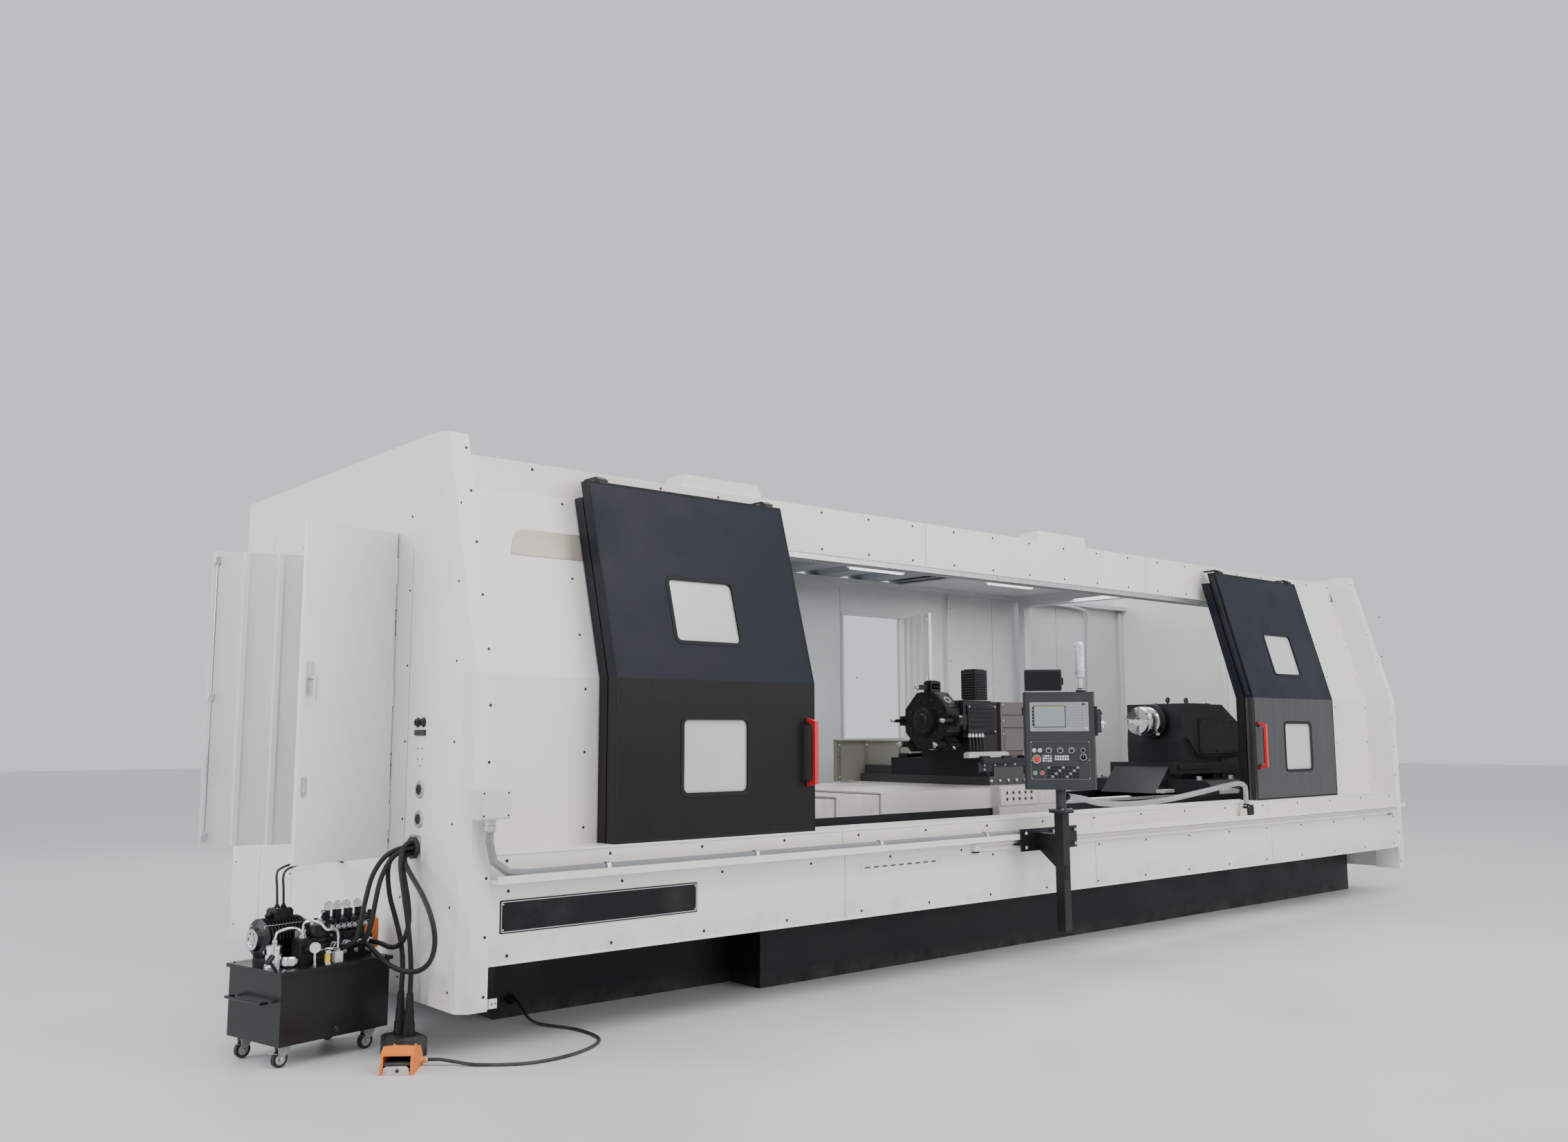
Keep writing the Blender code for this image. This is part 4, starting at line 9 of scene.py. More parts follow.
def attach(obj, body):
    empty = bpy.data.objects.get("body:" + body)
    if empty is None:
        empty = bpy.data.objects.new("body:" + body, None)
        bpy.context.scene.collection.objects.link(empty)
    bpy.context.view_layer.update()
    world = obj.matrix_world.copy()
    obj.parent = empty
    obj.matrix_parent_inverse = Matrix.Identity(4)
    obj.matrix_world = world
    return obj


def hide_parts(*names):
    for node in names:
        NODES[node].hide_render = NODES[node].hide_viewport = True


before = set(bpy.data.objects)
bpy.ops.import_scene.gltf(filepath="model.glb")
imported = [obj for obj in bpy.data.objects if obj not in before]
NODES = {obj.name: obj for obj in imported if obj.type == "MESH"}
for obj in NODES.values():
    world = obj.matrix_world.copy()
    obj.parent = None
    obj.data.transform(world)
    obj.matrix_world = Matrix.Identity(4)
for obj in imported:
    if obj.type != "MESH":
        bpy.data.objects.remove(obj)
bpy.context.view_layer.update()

# Faces and levels of the CAD that the pieces sit on
KINK = 1.86
SLOPE = 0.316 / 1.13
CAP_SLOPE = 0.36 / 1.28
APRON_Y, SILL_Y, DOOR_Y, PANEL_Y, HEADER_Y = -1.40, -1.38, -1.35, -1.17, -0.85
INNER_WALL_Y, OUTER_WALL_Y = 1.7995, 1.84
END_X = 5.10
SPINDLE_Z = 1.67
TURRET_Y, TURRET_Z = -0.36, 1.655
POST_X, POST_Y = -0.81, -1.70
PIPE_X, GUTTER_Y = 2.06, -1.4375
DOOR_WIDTH = 1.441
CABINET_LOW, CABINET_ROW = 0.91, 0.435
HOSE_RADIUS, LEAD_RADIUS = 0.0125, 0.006
INSET = 0.006
POST_XS = (-3.6, -2.3, -1.0, 2.0, 3.3)
FLOOR_LOW, FLOOR_HIGH, FLOOR_DEPTH = -45, 60, 0.012
X_AXIS, Y_AXIS, Z_AXIS = (1, 0, 0), (0, 1, 0), (0, 0, 1)


# Places
def place(origin, right, up):
    """Local x is right, local y is up and local z points out of the surface."""
    right = Vector(right).normalized()
    up = Vector(up).normalized()
    out = right.cross(up)
    m = Matrix((right, up, out)).transposed().to_4x4()
    m.translation = Vector(origin)
    return m


def front(x, y, z):
    return place((x, y, z), X_AXIS, Z_AXIS)


def rear(x, y, z):
    return place((x, y, z), (-1, 0, 0), Z_AXIS)


def top(x, y, z):
    return place((x, y, z), X_AXIS, Y_AXIS)


def under(x, y, z):
    return place((x, y, z), X_AXIS, (0, -1, 0))


def to_left(x, y, z):
    return place((x, y, z), (0, -1, 0), Z_AXIS)


def to_right(x, y, z):
    return place((x, y, z), Y_AXIS, Z_AXIS)


def left_end(y, z, x=-END_X):
    return to_left(x, y, z)


def right_end(y, z):
    return to_right(END_X, y, z)


def leaning(x, y, z, slope):
    """On a face that leans back above the kink; y is the depth of the upright part below."""
    return place((x, y + slope * (z - KINK), z), X_AXIS, (0, slope, 1))


def sloped(x, y, z):
    return leaning(x, y, z, SLOPE)


def shift(m, x=0.0, y=0.0, z=0.0):
    return m @ Matrix.Translation((x, y, z))


def spin(m, degrees, axis="Z"):
    return m @ Matrix.Rotation(math.radians(degrees), 4, axis)


# Mesh building
def circle(radius, sides):
    angles = [2 * math.pi * i / sides for i in range(sides)]
    return [(radius * math.cos(a), radius * math.sin(a)) for a in angles]


def rounded(width, height, radius, steps=5):
    out = []
    for sx, sy, start in ((1, 1, 0), (-1, 1, 90), (-1, -1, 180), (1, -1, 270)):
        for i in range(steps):
            a = math.radians(start + 90 * i / (steps - 1))
            out.append((sx * (width / 2 - radius) + radius * math.cos(a),
                        sy * (height / 2 - radius) + radius * math.sin(a)))
    return out


def smooth_route(points, step):
    """Points read every step along a Catmull-Rom curve through the route."""
    pts = [Vector(p) for p in points]
    padded = [2 * pts[0] - pts[1]] + pts + [2 * pts[-1] - pts[-2]]
    dense = []
    for i in range(1, len(padded) - 2):
        a, b, c, d = padded[i - 1:i + 3]
        for k in range(40):
            t = k / 40
            dense.append(0.5 * ((2 * b) + (c - a) * t + (2 * a - 5 * b + 4 * c - d) * t ** 2
                                + (3 * b - a - 3 * c + d) * t ** 3))
    dense.append(pts[-1])
    total = sum((q - p).length for p, q in zip(dense, dense[1:]))
    count = max(2, round(total / step))
    out = [dense[0]]
    run = 0.0
    for p, q in zip(dense, dense[1:]):
        run += (q - p).length
        if run >= total / count * len(out) and len(out) < count:
            out.append(q)
    out.append(dense[-1])
    return out


class Form:
    """Collects solids of one material into one mesh."""

    def __init__(self):
        self.bm = bmesh.new()

    def raw(self, m, verts, faces):
        made = [self.bm.verts.new(m @ Vector(v)) for v in verts]
        for face in faces:
            self.bm.faces.new([made[i] for i in face])
        return self

    def loft(self, m, verts, n, closed=False):
        """A skin over rows of n points each, capped at both ends or closed from the last row to the first."""
        count = len(verts) // n
        faces = [] if closed else [tuple(reversed(range(n)))]
        for row in range(count if closed else count - 1):
            after = (row + 1) % count * n
            for i in range(n):
                j = (i + 1) % n
                faces.append((row * n + i, row * n + j, after + j, after + i))
        if not closed:
            faces.append(tuple(range(n * (count - 1), n * count)))
        return self.raw(m, verts, faces)

    def lathe(self, m, profile, sides=20, closed=False):
        """Profile of (radius, z) from the bottom up."""
        return self.loft(m, [(x, y, z) for r, z in profile for x, y in circle(r, sides)], sides, closed)

    def ring(self, m, outer, inner, height, sides=28):
        """A flat ring with softened rims."""
        e = min((outer - inner) * 0.2, height * 0.3)
        profile = [(outer, 0), (outer, height - e), (outer - e, height), (inner + e, height),
                   (inner, height - e), (inner, 0)]
        return self.lathe(m, profile, sides, closed=True)

    def prism(self, m, outline, z0, z1, edge=0.0):
        """Outline in local x, y; the outer face gets a small chamfer."""
        n = len(outline)
        verts = [(x, y, z0) for x, y in outline] + [(x, y, z1 - edge) for x, y in outline]
        if edge > 0:
            cx = sum(p[0] for p in outline) / n
            cy = sum(p[1] for p in outline) / n
            sx = 1 - edge / max(max(abs(p[0] - cx) for p in outline), 1e-6)
            sy = 1 - edge / max(max(abs(p[1] - cy) for p in outline), 1e-6)
            verts += [(cx + (x - cx) * sx, cy + (y - cy) * sy, z1) for x, y in outline]
        return self.loft(m, verts, n)

    def block(self, m, width, height, depth, edge=0.002, low=0.0):
        """A block standing on the surface: chamfered outer rim and corners."""
        e = min(edge, width * 0.3, height * 0.3, abs(depth) * 0.45)
        w, h = width / 2, height / 2
        outline = [(w, h - e), (w - e, h), (-w + e, h), (-w, h - e), (-w, -h + e), (-w + e, -h),
                   (w - e, -h), (w, -h + e)]
        return self.prism(m, outline, low, low + depth, e)

    def frame(self, m, width, height, radius, band, depth, steps=5):
        """A picture-frame band."""
        def loop(inset):
            return rounded(width - 2 * inset, height - 2 * inset, max(radius - inset, 0.001), steps)

        outer = rounded(width, height, radius, steps)
        inner = loop(band)
        e = min(band, depth) * 0.25
        mid_i = rounded(width - 2 * band + 2 * e, height - 2 * band + 2 * e, max(radius - band + e, 0.001),
                        steps)
        levels = [(outer, 0), (outer, depth - e), (loop(e), depth), (mid_i, depth), (inner, depth - e),
                  (inner, 0)]
        return self.loft(m, [(x, y, z) for pts, z in levels for x, y in pts], len(outer), closed=True)

    def tube(self, points, radius, sides=10):
        """A pipe along points, closed at both ends."""
        pts = [Vector(p) for p in points]
        normal = None
        verts = []
        for i, p in enumerate(pts):
            ahead = pts[min(i + 1, len(pts) - 1)] - pts[max(i - 1, 0)]
            ahead.normalize()
            if normal is None:
                normal = ahead.orthogonal().normalized()
            normal = (normal - ahead * normal.dot(ahead)).normalized()
            side = ahead.cross(normal)
            for k in range(sides):
                a = 2 * math.pi * k / sides
                verts.append(p + radius * (math.cos(a) * normal + math.sin(a) * side))
        return self.loft(Matrix.Identity(4), verts, sides)

    def pipe(self, points, radius, sides=10, step=None):
        return self.tube(smooth_route(points, step or radius * 2), radius, sides)

    def screw(self, m, r, h):
        """Round head with a hex socket."""
        return self.lathe(m, [(r, 0), (r, h * 0.6), (r * 0.8, h), (r * 0.45, h), (r * 0.4, h * 0.4)], 12)

    def hexbolt(self, m, r, h):
        return self.lathe(m, [(r * 1.25, 0), (r * 1.25, h * 0.2), (r, h * 0.2), (r, h), (r * 0.8, h * 1.12)],
                          6)

    def mesh(self, name):
        bmesh.ops.recalc_face_normals(self.bm, faces=self.bm.faces)
        mesh = bpy.data.meshes.new(name)
        self.bm.to_mesh(mesh)
        self.bm.free()
        return mesh

    def done(self, name, mat, body="machine", angle=35):
        mesh = self.mesh(name)
        mesh.shade_smooth()
        mesh.set_sharp_from_angle(angle=math.radians(angle))
        obj = add_object(name, mesh, mat)
        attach(obj, body)
        return obj


def add_object(name, data, mat=None):
    obj = bpy.data.objects.new(name, data)
    if mat:
        obj.data.materials.append(mat)
    bpy.context.scene.collection.objects.link(obj)
    return obj


# Materials
def tone(colour, factor):
    return (*[min(1.0, c * factor) for c in colour], 1.0)


class Look:
    """A Principled material with object-space noise for colour, roughness and bump."""

    def __init__(self, name, colour, rough=0.45, metal=0.0, vary=0.07, scale=2.5, rough_vary=0.10,
                 bump=0.05, grain=260.0, stretch=(1, 1, 1), coat=0.0, spec=0.5):
        self.mat = bpy.data.materials.new(name)
        self.mat.use_nodes = True
        tree = self.mat.node_tree
        self.nodes = tree.nodes
        self.link = tree.links.new
        self.shader = self.nodes["Principled BSDF"]
        self.shader.inputs["Metallic"].default_value = metal
        self.shader.inputs["Coat Weight"].default_value = coat
        self.shader.inputs["Coat Roughness"].default_value = 0.12
        self.shader.inputs["Specular IOR Level"].default_value = spec
        self.coord = self.nodes.new("ShaderNodeTexCoord")
        mapping = self.nodes.new("ShaderNodeMapping")
        mapping.inputs["Scale"].default_value = stretch
        self.link(self.coord.outputs["Object"], mapping.inputs["Vector"])
        self.vector = mapping.outputs["Vector"]
        broad = self.noise(scale, 4.0, 0.55)
        fine = self.noise(grain, 2.0, 0.5)
        self.colour = self.mix(self.ramp(broad, 0.3, 0.7), tone(colour, 1 - vary), tone(colour, 1 + vary))
        self.rough = self.ramp(broad, 0.3, 0.7, max(0.02, rough - rough_vary), min(1.0, rough + rough_vary))
        node = self.nodes.new("ShaderNodeBump")
        node.inputs["Strength"].default_value = bump
        node.inputs["Distance"].default_value = 0.002
        self.link(fine, node.inputs["Height"])
        self.link(node.outputs["Normal"], self.shader.inputs["Normal"])

    def feed(self, socket, value):
        """Set a socket to a number or a colour, or link an output to it."""
        if isinstance(value, (int, float, tuple)):
            socket.default_value = value
        else:
            self.link(value, socket)

    def noise(self, scale, detail, rough):
        node = self.nodes.new("ShaderNodeTexNoise")
        node.inputs["Scale"].default_value = scale
        node.inputs["Detail"].default_value = detail
        node.inputs["Roughness"].default_value = rough
        self.link(self.vector, node.inputs["Vector"])
        return node.outputs["Fac"]

    def ramp(self, value, low=0.0, high=1.0, to_low=0.0, to_high=1.0):
        node = self.nodes.new("ShaderNodeMapRange")
        self.link(value, node.inputs["Value"])
        for name, item in (("From Min", low), ("From Max", high), ("To Min", to_low), ("To Max", to_high)):
            self.feed(node.inputs[name], item)
        return node.outputs["Result"]

    def times(self, a, b):
        node = self.nodes.new("ShaderNodeMath")
        node.operation = "MULTIPLY"
        self.feed(node.inputs[0], a)
        self.feed(node.inputs[1], b)
        return node.outputs["Value"]

    def mix(self, factor, a, b):
        node = self.nodes.new("ShaderNodeMix")
        node.data_type = "RGBA"
        self.link(factor, node.inputs[0])
        self.feed(node.inputs[6], a)
        self.feed(node.inputs[7], b)
        return node.outputs[2]

    def axis(self, name):
        node = self.nodes.new("ShaderNodeSeparateXYZ")
        self.link(self.coord.outputs["Object"], node.inputs["Vector"])
        return node.outputs[name]

    def up_facing(self):
        geo = self.nodes.new("ShaderNodeNewGeometry")
        node = self.nodes.new("ShaderNodeSeparateXYZ")
        self.link(geo.outputs["Normal"], node.inputs["Vector"])
        return node.outputs["Z"]

    def layer(self, factor, colour, rough=None):
        """Lay another colour where factor is one."""
        self.colour = self.mix(factor, self.colour, (*colour, 1.0))
        if rough is not None:
            self.rough = self.ramp(factor, to_low=self.rough, to_high=rough)
        return self

    def dirt(self, colour, low, high, amount=0.5):
        """Grime that thins out with height, broken up by noise."""
        fade = self.ramp(self.axis("Z"), high, low)
        patch = self.ramp(self.noise(7.0, 6.0, 0.65), 0.35, 0.75)
        return self.layer(self.times(self.times(fade, patch), amount), colour, 0.75)

    def smudge(self, colour, amount=0.25, scale=1.3):
        patch = self.ramp(self.noise(scale, 8.0, 0.7), 0.52, 0.78)
        return self.layer(self.times(patch, amount), colour)

    def scratches(self, colour, amount=0.35, scale=40.0):
        streak = self.ramp(self.noise(scale, 3.0, 0.8), 0.66, 0.74)
        return self.layer(self.times(streak, amount), colour, 0.3)

    def end(self):
        self.link(self.colour, self.shader.inputs["Base Color"])
        self.link(self.rough, self.shader.inputs["Roughness"])
        return self.mat


def glow(name, colour, strength):
    look = Look(name, colour, 0.3, vary=0.03)
    look.shader.inputs["Emission Color"].default_value = (*colour, 1.0)
    look.shader.inputs["Emission Strength"].default_value = strength
    return look.end()


DUST = (0.36, 0.34, 0.31)
GRIME = (0.10, 0.09, 0.08)
cap_white = Look("cap_white", (0.83, 0.82, 0.785), 0.36, vary=0.025, bump=0.08, grain=420, coat=0.15).smudge(
    (0.68, 0.67, 0.64), 0.28, 0.8).dirt(DUST, 0.22, 0.75, 0.55).end()
cream = Look("panel_cream", (0.82, 0.795, 0.735), 0.38, vary=0.025, bump=0.08, grain=420, coat=0.12).smudge(
    (0.66, 0.64, 0.59), 0.25, 0.9).dirt(DUST, 0.42, 0.8, 0.45).end()
leaf_white = Look("leaf_white", (0.80, 0.80, 0.79), 0.33, vary=0.02, bump=0.07, grain=420, coat=0.15).smudge(
    (0.70, 0.69, 0.67), 0.25, 1.1).end()
inner_grey = Look("inner_grey", (0.52, 0.535, 0.545), 0.42, vary=0.05, bump=0.07, grain=380).smudge(
    (0.40, 0.40, 0.40), 0.35, 0.9).dirt(GRIME, 0.45, 1.3, 0.45).end()
roof_grey = Look("roof_grey", (0.27, 0.295, 0.335), 0.45, vary=0.06, bump=0.07, grain=380).smudge(
    (0.17, 0.18, 0.20), 0.35, 0.8).end()
bed_look = Look("bed_paint", (0.010, 0.0105, 0.012), 0.50, vary=0.20, bump=0.30, grain=110, spec=0.25)
bed_look.dirt(DUST, 0.0, 0.10, 0.16)
ways = bed_look.times(bed_look.ramp(bed_look.axis("Z"), 0.995, 0.9965),
                      bed_look.ramp(bed_look.up_facing(), 0.8, 0.95))
bed_look.layer(ways, (0.36, 0.36, 0.37), 0.24)
bed_look.link(bed_look.times(ways, 0.9), bed_look.shader.inputs["Metallic"])
bed_black = bed_look.end()
casting_black = Look("casting_black", (0.013, 0.014, 0.017), 0.42, vary=0.22, bump=0.35, grain=95,
                     spec=0.3).scratches((0.14, 0.14, 0.14), 0.25, 30).end()
satin_black = Look("satin_black", (0.010, 0.010, 0.011), 0.38, vary=0.2, bump=0.10, grain=300, spec=0.3).dirt(
    DUST, 0.0, 0.30, 0.35).end()
matt_black = Look("matt_black", (0.012, 0.012, 0.013), 0.62, vary=0.2, bump=0.15, grain=240, spec=0.25).end()
rubber = Look("rubber_black", (0.012, 0.012, 0.013), 0.50, vary=0.25, bump=0.25, grain=900, rough_vary=0.12,
              spec=0.35).dirt(DUST, 0.0, 0.05, 0.35).end()
block_brown = Look("turret_block", (0.115, 0.098, 0.092), 0.40, vary=0.12, bump=0.12, grain=220).scratches(
    (0.25, 0.23, 0.22), 0.25, 26).end()
olive = Look("guard_olive", (0.25, 0.245, 0.215), 0.34, 0.55, vary=0.10, bump=0.08, grain=300,
             stretch=(1, 1, 9)).smudge((0.15, 0.145, 0.125), 0.4, 1.6).end()
pale_plate = Look("pale_plate", (0.56, 0.535, 0.515), 0.36, 0.25, vary=0.07, bump=0.06, grain=340,
                  stretch=(9, 1, 1)).smudge((0.38, 0.35, 0.33), 0.35, 2.2).end()
machined = Look("machined_steel", (0.60, 0.61, 0.62), 0.26, 1.0, vary=0.08, bump=0.05, grain=180,
                stretch=(1, 14, 1), rough_vary=0.08).smudge((0.42, 0.41, 0.39), 0.3, 3.0).end()
turned_steel = Look("turned_steel", (0.62, 0.63, 0.64), 0.24, 1.0, vary=0.10, bump=0.06, grain=160,
                    stretch=(16, 1, 1), rough_vary=0.08).end()
chrome = Look("chrome", (0.78, 0.78, 0.79), 0.14, 1.0, vary=0.04, bump=0.02, grain=200, rough_vary=0.05).end()
zinc = Look("zinc", (0.56, 0.57, 0.58), 0.36, 1.0, vary=0.10, bump=0.08, grain=500, rough_vary=0.1).end()
rail_metal = Look("rail_metal", (0.60, 0.61, 0.61), 0.34, 0.85, vary=0.07, bump=0.05, grain=240,
                  stretch=(14, 1, 1)).end()
brass = Look("brass", (0.62, 0.45, 0.16), 0.32, 1.0, vary=0.12, bump=0.05, grain=300).end()
screw_dark = Look("screw_dark", (0.035, 0.034, 0.033), 0.42, 0.4, vary=0.2, bump=0.1, grain=500).end()
seam_dark = Look("seam_dark", (0.10, 0.10, 0.095), 0.7, vary=0.2, bump=0.1, grain=400).end()
red = Look("handle_red", (0.62, 0.022, 0.024), 0.30, vary=0.10, bump=0.06, grain=420, coat=0.3).end()
orange = Look("hood_orange", (0.82, 0.20, 0.020), 0.36, vary=0.10, bump=0.12, grain=300, coat=0.2).scratches(
    (0.45, 0.17, 0.08), 0.4, 30).dirt(GRIME, 0.0, 0.05, 0.5).end()
panel_grey = Look("pendant_grey", (0.040, 0.044, 0.048), 0.45, vary=0.10, bump=0.10, grain=420,
                  spec=0.3).end()
bezel_grey = Look("bezel_grey", (0.125, 0.13, 0.138), 0.40, vary=0.08, bump=0.06, grain=500).end()
screen_glass = Look("screen", (0.30, 0.33, 0.35), 0.16, vary=0.06, scale=5, bump=0.01, coat=0.6).end()
key_white = Look("key_white", (0.72, 0.72, 0.70), 0.4, vary=0.05, bump=0.04).end()
key_green = Look("key_green", (0.03, 0.42, 0.14), 0.35, vary=0.08, bump=0.04, coat=0.2).end()
key_red = Look("key_red", (0.70, 0.02, 0.02), 0.32, vary=0.08, bump=0.04, coat=0.3).end()
key_yellow = Look("key_yellow", (0.80, 0.56, 0.03), 0.35, vary=0.08, bump=0.04, coat=0.2).end()
key_grey = Look("key_grey", (0.30, 0.31, 0.32), 0.42, vary=0.08, bump=0.04).end()
plate_bare = Look("bare_plate", (0.44, 0.40, 0.33), 0.36, 0.30, vary=0.05, bump=0.04, grain=300,
                  stretch=(1, 1, 12)).end()
plate_black = Look("name_plate_black", (0.007, 0.007, 0.008), 0.34, vary=0.2, bump=0.03, spec=0.2).smudge(
    (0.05, 0.05, 0.05), 0.5, 2.0).end()
socket_white = Look("socket_white", (0.66, 0.66, 0.64), 0.36, vary=0.04, bump=0.04).end()
lens_white = glow("lamp_lens", (0.95, 0.97, 1.0), 1.6)
foil = Look("foil_wrap", (0.66, 0.67, 0.69), 0.22, 0.35, vary=0.14, scale=30, bump=0.5, grain=60,
            coat=0.5).end()
conduit_silver = Look("conduit_silver", (0.40, 0.41, 0.42), 0.38, 0.6, vary=0.08, bump=0.05).end()
conduit_grey = Look("conduit_grey", (0.22, 0.225, 0.23), 0.48, vary=0.08, bump=0.06).end()


def door_paint(name, low_colour, low_rough, low_metal):
    """Navy above the crease, the other colour below it."""
    look = Look(name, (0.0042, 0.0062, 0.0145), 0.40, vary=0.12, bump=0.08, grain=420, spec=0.22)
    below = look.ramp(look.axis("Z"), KINK + 0.001, KINK - 0.001)
    squeeze = look.nodes.new("ShaderNodeMapping")
    squeeze.inputs["Scale"].default_value = (9, 9, 0.35)
    look.link(look.coord.outputs["Object"], squeeze.inputs["Vector"])
    look.vector, even = squeeze.outputs["Vector"], look.vector
    streak = look.noise(3.0, 7.0, 0.5)
    look.vector = even
    lower = look.mix(look.ramp(streak, 0.3, 0.7), tone(low_colour, 0.90), tone(low_colour, 1.10))
    look.colour = look.mix(below, look.colour, lower)
    look.rough = look.ramp(below, to_low=look.rough, to_high=low_rough)
    look.link(look.times(below, low_metal), look.shader.inputs["Metallic"])
    look.smudge((0.030, 0.030, 0.034), 0.22, 1.1)
    return look.end()


left_paint = door_paint("left_door_paint", (0.0085, 0.0075, 0.0072), 0.36, 0.0)
right_paint = door_paint("right_door_paint", (0.105, 0.104, 0.105), 0.34, 0.75)
trail_paint = door_paint("rear_leaf_paint", (0.0085, 0.0078, 0.0075), 0.42, 0.0)

glass_look = Look("door_glass", (0.60, 0.68, 0.63), 0.20, vary=0.05, scale=1.5, bump=0.01, coat=0.6)
glass_look.shader.inputs["Transmission Weight"].default_value = 0.12
door_glass = glass_look.end()

cap_look = Look("left_cap_white_shaded_side", (0.83, 0.82, 0.785), 0.36, vary=0.025, bump=0.08, grain=420, coat=0.15)
cap_look.smudge((0.68, 0.67, 0.64), 0.28, 0.8).dirt(DUST, 0.22, 0.75, 0.55)
# Painted shade: the cap's outermost side face, beyond x -5.1125, is laid near-black.
cap_look.layer(cap_look.ramp(cap_look.axis("X"), -5.1115, -5.1125), (0.02, 0.02, 0.02), 0.5)
left_cap_white_shaded_side = cap_look.end()

apron_look = Look("apron_cream", (0.82, 0.795, 0.735), 0.38, vary=0.025, bump=0.08, grain=420, coat=0.12)
apron_cream = apron_look.smudge((0.64, 0.62, 0.57), 0.3, 0.9).dirt(DUST, 0.42, 0.66, 0.5).end()

tank_look = Look("tank_black", (0.0075, 0.0085, 0.0090), 0.34, vary=0.2, bump=0.08, grain=300, spec=0.28)
tank_look.dirt(DUST, 0.02, 0.16, 0.10)
tank_look.layer(tank_look.ramp(tank_look.axis("Z"), 0.1035, 0.1015), (0.30, 0.30, 0.29), 0.4)
tank_black = tank_look.end()


def finish(names, mat):
    for name in names.split():
        data = NODES[name].data
        data.materials.clear()
        data.materials.append(mat)
        data.polygons.foreach_set("material_index", [0] * len(data.polygons))


finish("left_cap", left_cap_white_shaded_side)
finish("right_cap", cap_white)
finish("apron", apron_cream)
finish("left_front_panel right_front_panel header_beam", cream)
finish("rear_wall fixed_roof cabinet_box", inner_grey)
finish("sliding_roof", roof_grey)
finish("bed", bed_black)
finish("headstock tailstock cross_slide valve_manifold", casting_black)
finish("left_door", left_paint)
finish("right_door", right_paint)
finish("left_rear_leaf right_rear_leaf", trail_paint)
finish("left_upper_window left_lower_window right_upper_window right_lower_window", door_glass)
finish("left_door_handle right_door_handle", red)
finish("rear_door front_cabinet_door rear_cabinet_door service_door", leaf_white)
finish("cabinet_lever", zinc)
finish("chuck quill live_chuck", turned_steel)
finish("chuck_jaw_1 chuck_jaw_2 chuck_jaw_3 chuck_jaw_4", machined)
finish("fixed_way_cover middle_way_cover", pale_plate)
finish("turret_disc pendant_carriage pedal_treadle pump_motor", satin_black)
finish("pendant_box", panel_grey)
finish("stack_light", foil)
finish("emergency_stop", key_red)
finish("override_knob", matt_black)
finish("junction_box", socket_white)
finish("gutter_conduit", conduit_grey)
finish("hydraulic_tank", tank_black)
finish("pedal_hood", orange)
finish("caster_wheel_1 caster_wheel_2 caster_wheel_3 caster_wheel_4", rubber)

saddle_look = Look("saddle_paint", (0.56, 0.535, 0.515), 0.38, 0.15, vary=0.06, bump=0.06, grain=340)
saddle_look.smudge((0.38, 0.35, 0.33), 0.3, 2.2)
guard_mask = saddle_look.times(saddle_look.ramp(saddle_look.axis("Y"), 0.695, 0.697),
                              saddle_look.ramp(saddle_look.axis("Z"), 1.1612, 1.1632))
saddle_look.layer(guard_mask, (0.24, 0.235, 0.205), 0.34)
bridge = saddle_look.times(saddle_look.ramp(saddle_look.axis("Y"), 0.69, 0.688),
                          saddle_look.ramp(saddle_look.axis("Z"), 1.1612, 1.1632))
saddle_look.layer(bridge, (0.045, 0.045, 0.046), 0.35)
finish("saddle", saddle_look.end())

turret_look = Look("turret_paint", (0.012, 0.012, 0.014), 0.40, vary=0.15, bump=0.2, grain=140, spec=0.3)
column = turret_look.times(turret_look.ramp(turret_look.axis("X"), -0.121, -0.119),
                          turret_look.ramp(turret_look.axis("Z"), 1.8015, 1.8005))
turret_look.layer(column, (0.118, 0.100, 0.094), 0.40)
finish("turret_body", turret_look.end())


# Camera, light and floor
def add_camera():
    yaw, pitch, roll = math.radians(40.96), math.radians(7.24), math.radians(-0.17)
    d = Vector((math.sin(yaw) * math.cos(pitch), math.cos(yaw) * math.cos(pitch), math.sin(pitch)))
    r = Vector((math.cos(yaw), -math.sin(yaw), 0.0))
    u = r.cross(d)
    c, s = math.cos(roll), math.sin(roll)
    r2 = c * r + s * u
    u2 = -s * r + c * u
    data = bpy.data.cameras.new("photo_camera")
    data.lens = 29.60
    data.sensor_width = 36.0
    data.clip_end = 200
    cam = add_object("photo_camera", data)
    m = Matrix((r2, u2, -d)).transposed().to_4x4()
    m.translation = Vector((-8.08, -7.20, 1.55))
    cam.matrix_world = m
    bpy.context.scene.camera = cam


def add_area(name, location, target, size, power, colour=(1, 1, 1)):
    data = bpy.data.lights.new(name, "AREA")
    data.shape = "RECTANGLE"
    data.size, data.size_y = size
    data.energy = power
    data.color = colour
    lamp = add_object(name, data)
    lamp.location = location
    lamp.rotation_euler = (Vector(target) - Vector(location)).to_track_quat("-Z", "Y").to_euler()


def add_floor():
    look = Look("floor_pale", (0.66, 0.675, 0.665), 0.45, vary=0.03, scale=0.6, bump=0.02, grain=60)
    corners = [(FLOOR_LOW, FLOOR_LOW), (FLOOR_HIGH, FLOOR_LOW), (FLOOR_HIGH, FLOOR_HIGH),
               (FLOOR_LOW, FLOOR_HIGH)]
    slab = Form().prism(Matrix.Identity(4), corners, -FLOOR_DEPTH, 0)
    add_object("floor", slab.mesh("floor"), look.end())


def add_world():
    world = bpy.data.worlds.new("studio")
    bpy.context.scene.world = world
    world.use_nodes = True
    back = world.node_tree.nodes["Background"]
    back.inputs["Color"].default_value = (0.94, 0.96, 1.0, 1.0)
    back.inputs["Strength"].default_value = 0.86


